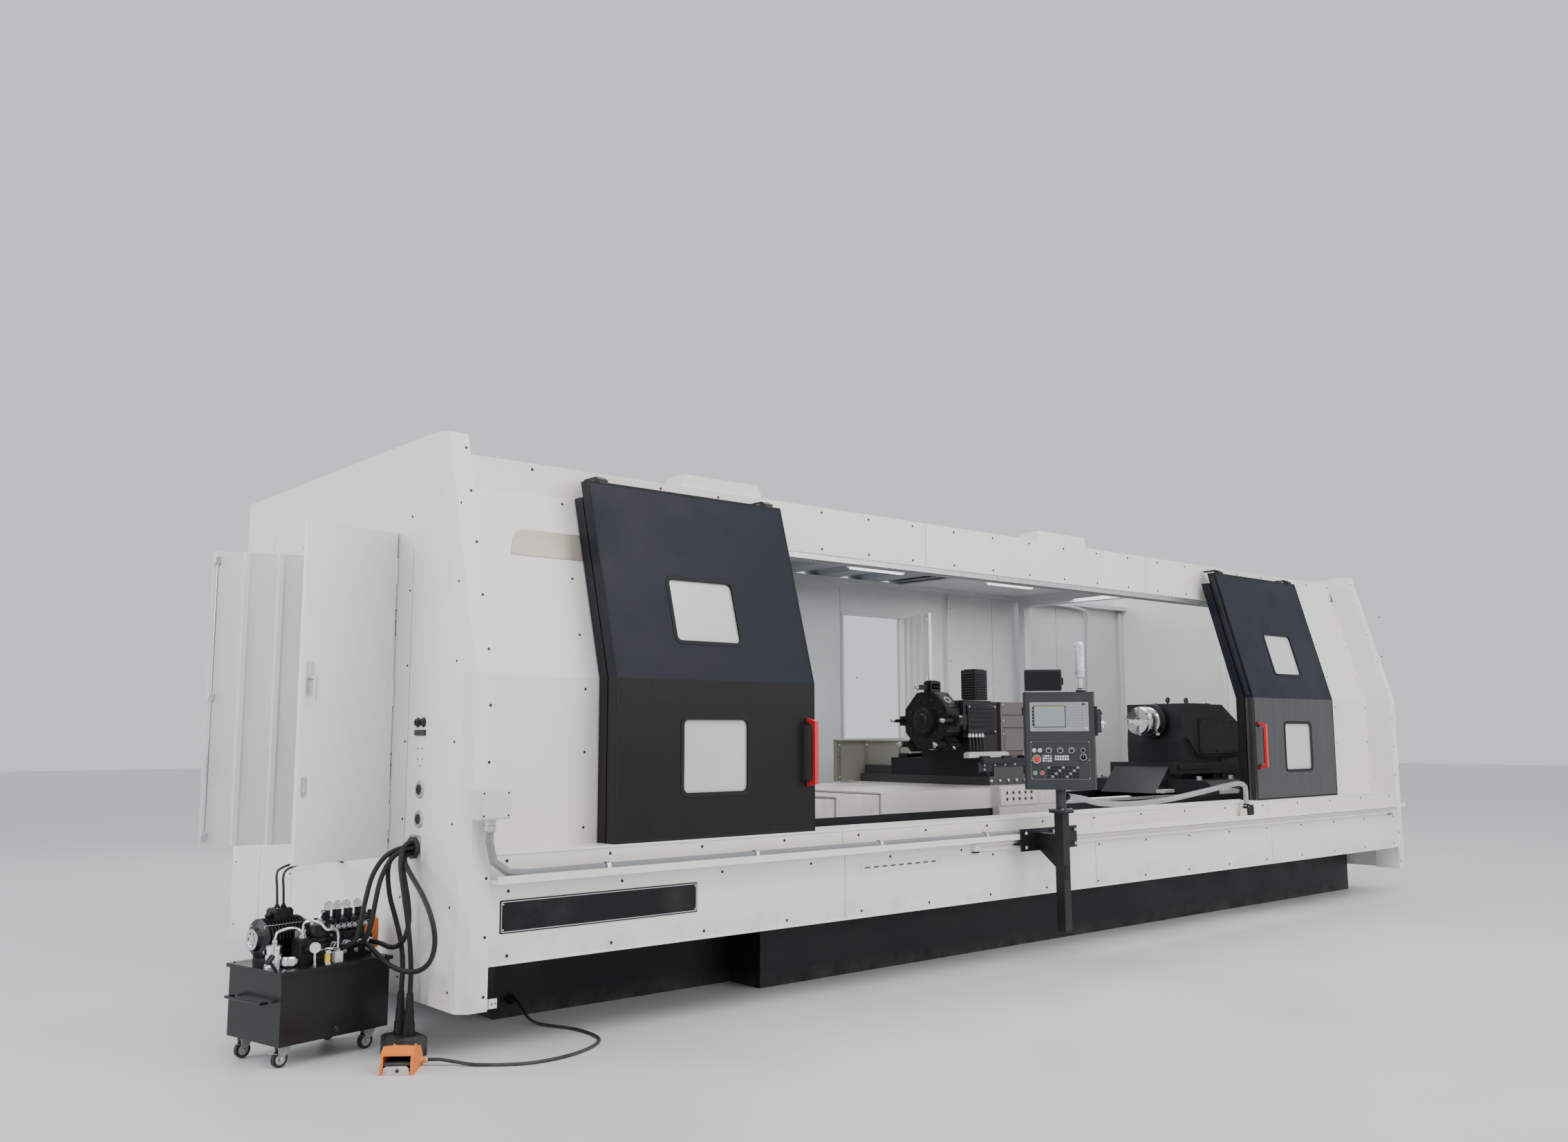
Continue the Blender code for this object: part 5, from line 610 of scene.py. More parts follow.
add_camera()
add_world()
add_floor()
add_area("roof_light", (-2, -7, 9.5), (0, 0, 1), (14, 6), 900)
add_area("left_windows", (-13, 2, 4.5), (-4, -1, 1.3), (7, 5), 520, (0.93, 0.96, 1.0))
add_area("front_fill", (4, -12, 5.0), (2, 0, 1.5), (10, 4), 420)
add_area("rear_light", (3, 9, 7.0), (1, 0, 1.5), (12, 4), 420)
add_area("inside_left", (-0.3, 0.35, 2.96), (-0.3, 0.3, 0.0), (5.0, 1.0), 55)
add_area("inside_right", (2.3, 0.35, 2.96), (2.3, 0.3, 0.0), (2.0, 1.2), 45)


# Cords
def curve_cord(name, route, radius, spacing, mat):
    curve = bpy.data.curves.new(name, "CURVE")
    curve.dimensions = "3D"
    spline = curve.splines.new("POLY")
    points = smooth_route(route, spacing)
    spline.points.add(len(points) - 1)
    for item, point in zip(spline.points, points):
        item.co = (*point, 1.0)
    curve.bevel_depth = radius
    curve.bevel_resolution = 3
    curve.use_fill_caps = True
    obj = add_object(name, curve, mat)
    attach(obj, "machine")
    length = sum((q - p).length for p, q in zip(points, points[1:]))
    return obj, points, length


pendant_route = [(-.7742, -1.70, 1.122), (-.70, -1.699, 1.121), (-.52, -1.68, 1.098), (-.25, -1.63, 1.058),
                 (.20, -1.57, 1.035), (.75, -1.52, 1.045), (1.30, -1.48, 1.085), (1.75, -1.455, 1.125),
                 (1.95, -1.445, 1.135), (2.043, -1.439, 1.112), (PIPE_X, GUTTER_Y, 1.065),
                 (PIPE_X, GUTTER_Y, 1.04), (PIPE_X, GUTTER_Y, .99), (PIPE_X, GUTTER_Y, .926)]
hose_route = [(-5.1355, -.903, .985), (-5.20, -.904, .983), (-5.275, -.905, .945), (-5.335, -.908, .86),
              (-5.37, -.915, .74), (-5.39, -.915, .63), (-5.405, -.89, .55), (-5.427, -.81, .515),
              (-5.433, -.7817, .5133), (-5.4391, -.7529, .5133)]
cable_route = [(-4.38, -.6305, .10), (-4.38, -.665, .10), (-4.38, -.72, .08), (-4.375, -.79, .03),
               (-4.36, -.90, .0085), (-4.28, -1.15, .0085), (-4.32, -1.42, .0085), (-4.55, -1.58, .0085),
               (-4.82, -1.60, .0085), (-5.02, -1.47, .0085), (-5.10, -1.375, .018), (-5.1508, -1.3298, .0282),
               (-5.1744, -1.3114, .02875), (-5.19844, -1.29257, .02875)]

conduit, conduit_points, conduit_length = curve_cord("pendant_conduit_tube", pendant_route, 0.0205, 0.045,
                                                     conduit_silver)
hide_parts("pendant_conduit")
hose, hose_points, hose_length = curve_cord("pressure_hose", hose_route, HOSE_RADIUS, 0.028, rubber)
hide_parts("hydraulic_hose")
cable, cable_points, cable_length = curve_cord("pedal_lead", cable_route, 0.008, 0.03, rubber)
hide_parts("pedal_cable")
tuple(conduit_points[0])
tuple(hose_points[0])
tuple(cable_points[0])


# Hoses from the outlet in the left end, in the order that they leave it
EXTRA_HOSES = {
    "front_loop_hose": [
        (-5.1355, -.930, .985), (-5.19, -.933, .980), (-5.255, -.935, .935), (-5.305, -.94, .845),
        (-5.33, -.943, .735), (-5.345, -.935, .63), (-5.355, -.89, .55), (-5.3631, -.7975, .515),
        (-5.3695, -.768, .5133), (-5.3755, -.7394, .5133)],
    "long_loop_hose": [
        (-5.1355, -.9165, .9616), (-5.165, -.925, .958), (-5.205, -.99, .925), (-5.225, -1.12, .865),
        (-5.23, -1.25, .79), (-5.225, -1.345, .69), (-5.218, -1.375, .585), (-5.216, -1.33, .49),
        (-5.225, -1.225, .430), (-5.245, -1.08, .415), (-5.268, -.95, .440), (-5.2895, -.83, .495),
        (-5.2996, -.784, .5125), (-5.3059, -.7547, .5133), (-5.3120, -.7258, .5133)],
    "short_loop_hose": [
        (-5.1355, -.8895, .9616), (-5.165, -.897, .953), (-5.190, -.93, .915), (-5.198, -.985, .83),
        (-5.200, -1.035, .73), (-5.200, -1.048, .635), (-5.205, -1.02, .56), (-5.212, -.96, .515),
        (-5.222, -.89, .502), (-5.232, -.80, .511), (-5.2423, -.7412, .5133),
        (-5.2484, -.7124, .5133)],
    "rear_down_hose": [
        (-5.1355, -.876, .985), (-5.178, -.876, .978), (-5.216, -.880, .953), (-5.240, -.886, .913),
        (-5.248, -.895, .85), (-5.238, -.905, .75), (-5.210, -.920, .64), (-5.188, -.940, .53),
        (-5.184, -.962, .42), (-5.192, -.974, .33), (-5.195, -.975, .25), (-5.195, -.975, .14)],
    "front_down_hose": [
        (-5.1355, -.9165, 1.0084), (-5.172, -.934, 1.008), (-5.207, -.966, .985),
        (-5.229, -.995, .94), (-5.238, -1.022, .88), (-5.236, -1.058, .78), (-5.225, -1.082, .66),
        (-5.207, -1.085, .53), (-5.190, -1.068, .41), (-5.182, -1.050, .32), (-5.18, -1.045, .25),
        (-5.18, -1.045, .14)],
}
for hose_name, route in EXTRA_HOSES.items():
    piece, points, length = curve_cord(hose_name, route, HOSE_RADIUS, 0.035, rubber)
    if hose_name.endswith("down_hose"):
        x, y, z = route[-1]
        boot = Form().lathe(top(x, y, 0.0948), [(0.033, 0), (0.033, 0.012), (0.029, 0.014), (0.0275, 0.060),
                                                (0.024, 0.062), (0.022, 0.120), (0.019, 0.122),
                                                (0.0165, 0.200), (0.0135, 0.202)], 20)
        boot = boot.done(hose_name + "_boot", rubber)
        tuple(points[0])
    else:
        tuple(points[0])

MOTOR_LEADS = {
    "motor_lead": [
        (-5.1255, .10, .86), (-5.20, .09, .862), (-5.40, -.06, .866), (-5.58, -.32, .866),
        (-5.66, -.50, .850), (-5.686, -.585, .805), (-5.6869, -.5995, .7225)],
    "sensor_lead": [
        (-5.1255, .04, .86), (-5.20, .03, .862), (-5.38, -.10, .864), (-5.55, -.34, .862),
        (-5.63, -.51, .842), (-5.652, -.580, .800), (-5.6527, -.5922, .7225)],
}
for lead_name, route in MOTOR_LEADS.items():
    piece, points, length = curve_cord(lead_name, route, LEAD_RADIUS, 0.03, rubber)
    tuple(points[0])


def add_cord_fittings():
    Form().block(top(-5.188, -1.010, 0.0), 0.160, 0.200, 0.095, 0.010).done("floor_trunking", satin_black)
    glands = Form()
    for y in (0.10, 0.04):
        glands.lathe(left_end(y, 0.86), [(0.020, 0), (0.020, 0.008), (0.016, 0.010), (0.016, 0.018),
                                         (0.0085, 0.026)], 16)
    for x in (0.15, 0.185):
        glands.lathe(shift(TANK, x, 0.306, 0.7055), [(0.014, 0), (0.014, 0.006), (0.012, 0.008),
                                                                     (0.012, 0.012), (0.0075, 0.0175)], 16)
    glands.done("motor_lead_glands", matt_black)


TANK = Matrix.Translation((-5.77, -0.93, 0.0)) @ Matrix.Rotation(math.radians(12.0), 4, "Z")
add_cord_fittings()


# Enclosure details
def rows(x0, x1, step):
    count = max(1, round((x1 - x0) / step))
    return [x0 + (x1 - x0) * i / count for i in range(count + 1)]


def bolts(name, places, body, mat, r, h, hexed=False):
    form = Form()
    head = form.hexbolt if hexed else form.screw
    for m in places:
        head(m, r, h)
    form.done(name, mat, body)


def cap_front(x, z):
    return front(x, APRON_Y, z) if z <= KINK else leaning(x, APRON_Y, z, CAP_SLOPE)


def add_enclosure():
    spots = []
    for x in (-4.972, 4.972):
        spots += [cap_front(x, z) for z in (0.30, 0.58, 0.86, 1.14, 1.42, 1.70, 1.98, 2.26, 2.54, 2.82, 3.06)]
    bolts("cap_strip_screws", spots, "machine", screw_dark, 0.0075, 0.003)
    spots = [front(x, SILL_Y, 0.935) for x in rows(-4.85, 4.85, 0.62)]
    spots += [front(x, APRON_Y, 0.790) for x in rows(-4.85, -1.50, 0.62)]
    spots += [front(x, APRON_Y, 0.742) for x in rows(-1.18, 4.85, 0.62)]
    spots += [front(x, APRON_Y, 0.480) for x in rows(-4.85, 4.85, 0.62)]
    bolts("apron_screws", spots, "machine", screw_dark, 0.0085, 0.003)
    spots = [front(x, HEADER_Y, z) for x in rows(-4.9, 4.9, 0.45) for z in (2.795, 3.045)]
    spots += [top(x + dx, -0.74 + dy, 3.165) for x in (-3.07, 0.45) for dx in (-0.24, 0.24)
              for dy in (-0.05, 0.05)]
    bolts("header_screws", spots, "machine", screw_dark, 0.0085, 0.003)
    spots = []
    for x in (-4.90, -4.28, -3.6, 4.90, 4.28, 3.6):
        spots += [front(x, PANEL_Y, z) for z in (1.06, 1.46, 1.80)] + [sloped(x, PANEL_Y, z)
                                                                       for z in (2.10, 2.42, 2.86)]
    bolts("front_panel_screws", spots, "machine", screw_dark, 0.0075, 0.003)
    seams = Form()
    for x in (-2.563, -0.02, 2.52):
        seams.block(front(x, APRON_Y, 0.635), 0.003, 0.385, 0.0006, 0.0002)
        seams.block(front(x, SILL_Y, 0.915), 0.003, 0.11, 0.0006, 0.0002)
    for x in (-4.02, -1.2, 1.6, 4.0):
        seams.block(front(x, HEADER_Y, 2.92), 0.003, 0.31, 0.0006, 0.0002)
    for x in (0.446, 2.698, 3.815):
        seams.block(front(x, 1.80, 1.72), 0.004, 2.5, 0.0008, 0.0002)
    for x in (-4.0, -2.6, -1.2, 0.2, 2.4, 3.8):
        seams.block(rear(x, OUTER_WALL_Y, 1.72), 0.004, 2.5, 0.0008, 0.0002)
    for y in (-0.75, 0.80, 1.35):
        seams.block(left_end(y, 1.60), 0.003, 2.5 if y > 0 else 1.9, 0.0006, 0.0002)
    for y in (-0.75, 0.80):
        seams.block(right_end(y, 1.60), 0.003, 2.4, 0.0006, 0.0002)
    seams.done("panel_seams", seam_dark)
    spots = [end(y, z) for end in (left_end, right_end) for y in (-1.28, -0.72, 0.83, 1.80)
             for z in (0.32, 0.72, 1.12, 1.52, 1.92, 2.32, 2.72)]
    spots += [rear(x, OUTER_WALL_Y, z) for x in rows(-4.9, 4.9, 0.7) for z in (0.52, 1.25, 2.1, 2.96)]
    bolts("end_panel_screws", spots, "machine", screw_dark, 0.007, 0.003)
    lip = Form()
    lip.block(front(0.0, APRON_Y, 0.443), 9.88, 0.011, 0.006, 0.002)
    lip.block(front(0.0, SILL_Y, 0.969), 9.88, 0.011, 0.005, 0.002)
    lip.done("apron_lips", leaf_white)
    Form().prism(front(-4.290, APRON_Y, 0.667), rounded(1.208, 0.160, 0.006), 0.0, 0.004, 0.001).done(
        "name_plate", plate_black)
    rim = Form()
    rim.frame(front(-4.290, -1.4038, 0.667), 1.196, 0.148, 0.006, 0.004, 0.0012)
    for dx in (-0.588, 0.588):
        for dz in (-0.062, 0.062):
            rim.screw(front(-4.290 + dx, -1.404, 0.667 + dz), 0.005, 0.003)
    rim.done("name_plate_rim", zinc)
    m = sloped(-4.405, PANEL_Y, 2.605)
    outline = [(0.215, -0.079), (0.215, 0.079), (-0.150, 0.079), (-0.192, 0.060), (-0.222, 0.018),
               (-0.245, -0.079)]
    Form().prism(m, outline, 0.0, 0.004, 0.001).done("model_plate", plate_bare)
    rim = Form()
    for dx, dy in ((-0.215, -0.065), (0.2, -0.065), (0.2, 0.065), (-0.165, 0.062)):
        rim.screw(shift(m, dx, dy, 0.0038), 0.005, 0.003)
    rim.done("model_plate_screws", zinc)
    box = Form()
    box.block(front(-4.985, -1.5003, 1.2195), 0.162, 0.137, 0.006, 0.003)
    box.block(front(-4.985, -1.505, 1.2195), 0.150, 0.125, 0.004, 0.002)
    box.done("junction_lid", socket_white)
    bolts("junction_screws", [front(-4.985 + a, -1.508, 1.2195 + b) for a in (-.066, .066)
                              for b in (-.054, .054)], "machine", screw_dark, 0.005, 0.003)
    gland = Form()
    down = under(-4.985, -1.45, 1.1478)
    gland.lathe(down, [(0.031, 0), (0.031, 0.012), (0.027, 0.012), (0.027, 0.03), (0.030, 0.032),
                       (0.030, 0.055), (0.0255, 0.062), (0.0225, 0.064)], 8)
    gland.done("junction_gland", zinc)
    clips = Form()
    for x in (-4.3, -3.3, -2.3, -1.3):
        clips.prism(to_right(x - 0.012, GUTTER_Y, 0.8505), [(-0.040, 0.0), (-0.040, 0.004), (-0.0255, 0.004),
                                                            (-0.0255, 0.030), (-0.018, 0.046), (0, 0.0515),
                                                            (0.018, 0.046), (0.0255, 0.030), (0.0255, 0.004),
                                                            (0.040, 0.004), (0.040, 0.0), (0.0235, 0.0),
                                                            (0.0235, 0.029), (0.0165, 0.044), (0, 0.0490),
                                                            (-0.0165, 0.044), (-0.0235, 0.029),
                                                            (-0.0235, 0.0)], 0.0, 0.024)
    clips.done("conduit_clips", zinc)
    Form().lathe(to_right(-0.90, GUTTER_Y, 0.875), [(0.0245, -0.03), (0.0245, 0.01), (0.0215, 0.012),
                                                    (0.0215, 0.018)], 16).done(
        "conduit_end_cap", matt_black)
    # Fittings on the left end
    dark = Form()
    for y in (-0.872, -0.935):
        dark.lathe(left_end(y, 1.619), [(0.026, 0), (0.026, 0.004), (0.019, 0.006), (0.019, 0.016),
                                        (0.012, 0.018), (0.012, 0.012)], 18)
    dark.prism(left_end(-0.903, 1.566), rounded(0.120, 0.030, 0.008), 0.0, 0.010, 0.002)
    for z in (1.277, 1.128):
        dark.lathe(left_end(-0.915, z, -5.1075), [(0.026, 0), (0.026, 0.004), (0.018, 0.0045), (0.018, 0.001),
                                                  (0.006, 0.001), (0.006, 0.004)], 24)
    dark.done("side_connectors", screw_dark)
    ring = Form()
    for z in (1.277, 1.128):
        ring.lathe(left_end(-0.915, z), [(0.047, 0), (0.047, 0.005), (0.043, 0.009), (0.030, 0.009),
                                         (0.028, 0.007)], 28)
        for k in range(4):
            a = math.radians(45 + 90 * k)
            ring.screw(shift(left_end(-0.915, z, -5.1085), 0.037 * math.cos(a), 0.037 * math.sin(a)), 0.003,
                       0.002)
    ring.done("side_sockets", zinc)
    # Small dark heads on the left end: painted shade standing for small holes.
    bolts("side_small_hole_shade", [left_end(y, z) for y in (-0.875, -0.925) for z in (1.485, 1.432)] +
          [left_end(-0.90, 1.396)], "machine", screw_dark, 0.005, 0.0015)
    m = left_end(-0.903, 0.985, -5.1102)
    flange = Form()
    flange.frame(m, 0.130, 0.130, 0.014, 0.012, 0.003)
    for a in (-0.054, 0.054):
        for b in (-0.054, 0.054):
            flange.screw(shift(m, a, b, 0.002), 0.005, 0.003)
    flange.done("outlet_flange", zinc)
    clip = Form()
    clip.block(front(-4.922, -1.392, 0.262), 0.052, 0.046, 0.008, 0.002)
    clip.block(to_right(-4.9505, -1.39, 0.262), 0.020, 0.046, 0.010, 0.002)
    clip.done("cap_foot_bracket", socket_white)
    bolts("cap_foot_screws", [front(-4.915 + a, APRON_Y, 0.262) for a in (-0.010, 0.010)], "machine",
          screw_dark, 0.004, 0.002)
    # Slotted plate on the apron
    m = front(-2.07, APRON_Y, 0.735)
    Form().frame(m, 0.72, 0.072, 0.006, 0.006, 0.004).done("slotted_plate_rim", leaf_white)
    # The slots are thin dark sheets on the plate: painted shade standing for the openings.
    slots = Form()
    for i in range(9):
        slots.prism(shift(m, -0.30 + 0.075 * i), rounded(0.046, 0.010, 0.0045), 0.0, 0.0012, 0.0003)
    slots.done("slotted_plate_slot_shade", seam_dark)
    # Louvres on the rear wall and right end
    vents = Form()
    for x in (-3.3, 3.1):
        for i in range(10):
            vents.prism(rear(x, OUTER_WALL_Y, 0.95 + 0.045 * i),
                        [(0.21, -0.014), (0.20, 0.014), (-0.20, 0.014), (-0.21, -0.014)], 0.0, 0.012, 0.006)
    for i in range(9):
        vents.prism(right_end(-0.45, 0.75 + 0.045 * i), [(0.16, -0.014), (0.15, 0.014), (-0.15, 0.014),
                                                         (-0.16, -0.014)], 0.0, 0.012, 0.006)
    vents.done("vent_louvres", cap_white)
    # Door tracks, light rail and lamps under the header
    rails = Form()
    for y in (-0.815, -0.735):
        rails.prism(place((-4.95, y, 2.76), (0, 1, 0), (0, 0, -1)),
                    [(-0.022, 0), (0.022, 0), (0.022, 0.038), (0.014, 0.038), (0.014, 0.006), (-0.014, 0.006),
                     (-0.014, 0.038), (-0.022, 0.038)], -9.90, 0.0)
    rails.done("door_tracks", rail_metal)
    lamps = Form()
    lens = Form()
    for x0, x1 in ((-1.72, -1.16), (-0.20, 0.36)):
        mid = (x0 + x1) / 2
        lamps.block(top(mid, -0.588, 2.742), x1 - x0, 0.062, 0.030, 0.004)
        for dx in (-0.2, 0.2):
            lamps.block(front(mid + dx, -0.612, 2.762), 0.03, 0.03, 0.004, 0.001)
        lens.prism(under(mid, -0.588, 2.742), rounded(x1 - x0 - 0.02, 0.052, 0.020), 0.0, 0.012, 0.003)
    lamps.done("lamp_bodies", leaf_white)
    lens.done("lamp_lenses", lens_white)
    # Corner posts, doorway frame and skirting inside
    posts = Form()
    for x in (5.0, -4.62):
        posts.block(front(x, INNER_WALL_Y, 1.75), 0.06, 2.45, 0.05, 0.004)
    posts.frame(front(0.49 + 0.39, 1.80, 2.1075), 0.84, 1.245, 0.012, 0.028, 0.010)
    posts.block(front(0.3, INNER_WALL_Y, 0.86), 8.9, 0.10, 0.012, 0.003)
    for x in POST_XS:
        posts.block(front(x, INNER_WALL_Y, 1.95), 0.045, 2.08, 0.022, 0.004)
    posts.done("inner_posts", inner_grey)
    bolts("inner_screws", [front(x, 1.788, 0.86) for x in rows(-4.0, 4.6, 0.55)] +
          [front(x, 1.7775, z) for x in POST_XS for z in (1.1, 1.7, 2.3, 2.85)],
          "machine", screw_dark, 0.007, 0.003)
    pipe = Form()
    pipe.pipe([(4.35, 1.77, 0.95), (4.35, 1.77, 1.5), (4.35, 1.77, 2.4), (4.35, 1.75, 2.9), (4.1, 1.70, 2.98),
               (3.4, 1.66, 2.99)], 0.014, 10, 0.05)
    pipe.pipe([(1.93, 1.755, 0.95), (1.93, 1.755, 1.6), (1.93, 1.755, 2.5), (1.93, 1.73, 2.93)], 0.012, 10,
              0.05)
    pipe.done("wall_pipes", inner_grey)
    # Roof cover bows and rollers
    bows = Form()
    for x in (-4.9, 1.12):
        bows.block(top(x, 0.60, 3.0495), 0.06, 2.2, 0.010, 0.002)
    for x in (-4.6, -2.4, -0.2):
        for y in (-0.52, 1.74):
            bows.lathe(place((x, y, 3.053), (0, 0, 1), (0, 1, 0)),
                       [(0.006, -0.012), (0.0105, -0.012), (0.0105, 0.012), (0.006, 0.012)], 16)
    bows.done("roof_runners", zinc, "roof_cover")
    Form().pipe([(1.14, 0.45, 3.062), (1.155, 0.45, 3.078), (1.16, 0.48, 3.088), (1.16, 0.60, 3.090),
                 (1.16, 0.72, 3.088), (1.155, 0.75, 3.078), (1.14, 0.75, 3.062)], 0.006, 10, 0.01).done(
        "roof_pull", red, "roof_cover")


add_enclosure()


# Doors
def add_door(side, body, trail_body, x0, window_x, handle_x, edge_x, edge_dir):
    gasket = Form()
    gasket.frame(front(window_x, -1.3497, 1.4325), 0.505, 0.452, 0.050, 0.024, 0.0035)
    gasket.frame(shift(sloped(window_x, DOOR_Y, 2.265), z=-0.0003), 0.505, 0.420, 0.050, 0.024, 0.0035)
    gasket.done(side + "_window_gaskets", matt_black, body)
    pad = Form()
    pad.prism(front(handle_x, -1.4085, 1.445), rounded(0.022, 0.30, 0.009), -0.010, 0.001, 0.002)
    for z in (1.262, 1.628):
        pad.prism(front(handle_x, DOOR_Y, z), rounded(0.046, 0.046, 0.012), 0.0, 0.006, 0.0015)
    pad.done(side + "_handle_grip", matt_black, body)
    seal = Form()
    seal.block(place((edge_x, -1.312, 1.417), (0, edge_dir, 0), (0, 0, 1)), 0.030, 0.878, 0.010, 0.004)
    seal.block(place((edge_x, -1.312 + SLOPE * 0.56, 2.42), (0, edge_dir, 0), (0, SLOPE, 1)), 0.030, 1.12,
               0.010, 0.004)
    seal.done(side + "_door_seal", rubber, body)
    rim = Form()
    edges = (x0 + 0.006, x0 + DOOR_WIDTH - 0.006)
    for x in edges:
        rim.block(front(x, DOOR_Y, 1.417), 0.010, 0.86, 0.0015, 0.0006)
    for x in edges:
        rim.block(sloped(x, DOOR_Y, 2.42), 0.010, 1.14, 0.0015, 0.0006)
    rim.block(sloped(x0 + 0.72, DOOR_Y, 2.982), 1.43, 0.012, 0.0015, 0.0006)
    rim.block(front(x0 + 0.72, DOOR_Y, 0.984), 1.43, 0.012, 0.0015, 0.0006)
    rim.done(side + "_door_rim", matt_black, body)
    hang = Form()
    for dx in (0.10, 1.34):
        hang.prism(to_right(x0 + dx - 0.03, -0.95, 2.99), [(-0.09, -0.012), (-0.09, 0.012), (-0.05, 0.034),
                                                           (0.075, 0.034), (0.075, 0.022), (-0.03, 0.022),
                                                           (-0.055, -0.012)], 0.0, 0.06)
        for dy in (-0.03, 0.03):
            hang.hexbolt(top(x0 + dx, -0.94 + dy, 3.0235), 0.008, 0.006)
    hang.done(side + "_door_hangers", satin_black, body)
    ribs = Form()
    for dx in (0.25, 1.19):
        if abs(x0 + dx - window_x) < 0.29:
            continue
        ribs.block(rear(x0 + dx, -1.3255, 1.42), 0.05, 0.80, 0.030, 0.006)
    ribs.block(rear(x0 + 0.72, -1.3255, 1.83), 1.34, 0.04, 0.030, 0.006)
    ribs.done(side + "_door_ribs", matt_black, body)
    trail = Form()
    trail.frame(front(window_x, -1.2617, 1.4325), 0.50, 0.447, 0.048, 0.018, 0.003)
    trail.frame(shift(sloped(window_x, -1.262, 2.265), z=-0.0003), 0.50, 0.415, 0.048, 0.018, 0.003)
    trail.done(side + "_trailing_gaskets", matt_black, trail_body)
    guide = Form()
    for dx in (0.12, 0.72, 1.32):
        guide.block(rear(x0 + dx, -1.1835, 0.995), 0.06, 0.028, 0.010, 0.002)
    guide.done(side + "_leaf_guides", zinc, trail_body)


add_door("left", "left_door_leaf", "left_trailing_leaf", -4.199, -3.514, -2.813, -2.758, 1)
add_door("right", "right_door_leaf", "right_trailing_leaf", 2.415, 3.171, 2.470, 2.415, -1)


# Hinged leaves
def leaf_axes(degrees):
    a = math.radians(degrees)
    return Vector((math.cos(a), math.sin(a), 0)), Vector((-math.sin(a), math.cos(a), 0))


def on_leaf(hinge, degrees, x, y, z, sign):
    """On the face of a leaf that looks along its local +Y (sign 1) or -Y."""
    ax, ay = leaf_axes(degrees)
    return place(Vector(hinge) + ax * x + ay * y + Vector((0, 0, z)), -ax * sign, (0, 0, 1))


def add_leaf(name, body, hinge, degrees, width, low, high, plain_sign, plain_y, knob_x, knob_z):
    mid, tall = (low + high) / 2, high - low
    if name != "front_cabinet":
        Form().frame(on_leaf(hinge, degrees, width / 2, plain_y, mid, plain_sign), width - 0.004,
                     tall - 0.016, 0.006, 0.014, 0.0025).done(
            name + "_fold", leaf_white, body)
    lock = Form()
    m = on_leaf(hinge, degrees, knob_x, plain_y, knob_z, plain_sign)
    lock.prism(m, rounded(0.034, 0.105, 0.015), 0.0, 0.005, 0.001)
    lock.lathe(shift(m, 0, -0.028, 0.004), [(0.011, 0), (0.011, 0.006), (0.008, 0.008), (0.004, 0.008),
                                            (0.004, 0.004)], 16)
    lock.done(name + "_lock", zinc, body)
    pins = Form()
    for share in (0.12, 0.50, 0.88):
        z = low + share * tall
        half = 0.04 * tall
        for end in (-1, 1):
            base = place((hinge[0], hinge[1], z + end * half), (1, 0, 0), (0, end, 0))
            pins.lathe(base, [(0.009, 0), (0.009, 0.003), (0.006, 0.006)], 12)
    pins.done(name + "_hinge_pins", zinc, body)
    rods = Form()
    ax, ay = leaf_axes(degrees)
    inner = -plain_y / abs(plain_y)
    y = inner * 0.0137
    p = Vector(hinge) + ax * knob_x + ay * (y + inner * 0.014)
    rods.tube([p + Vector((0, 0, low + 0.03)), p + Vector((0, 0, high - 0.03))], 0.006, 10)
    for z in (low + 0.06, knob_z, high - 0.06):
        m = on_leaf(hinge, degrees, knob_x, y, z, inner)
        rods.block(m, 0.034, 0.045, 0.022, 0.003)
    rods.done(name + "_latch_rods", zinc, body)


FRONT_LEAF = ((-5.1143, -0.56, 0.0), 196.0)
REAR_LEAF = ((-5.1143, 0.60, 0.0), -196.0)
add_leaf("front_cabinet", "cabinet_front_leaf", *FRONT_LEAF, 0.574, 0.916, 2.644, 1, 0.0103, 0.535, 1.30)
add_leaf("rear_cabinet", "cabinet_rear_leaf", *REAR_LEAF, 0.574, 0.916, 2.644, -1, -0.0103, 0.545, 1.78)
add_leaf("rear_service", "rear_service_leaf", (1.27, 1.7857, 0.0), 245.0, 0.768, 1.521, 2.694, 1, 0.0103,
         0.73, 2.10)
add_leaf("end_service", "end_service_leaf", (5.1143, 0.46, 0.0), 2.0, 0.498, 1.306, 2.554, 1, 0.0103, 0.46,
         1.93)


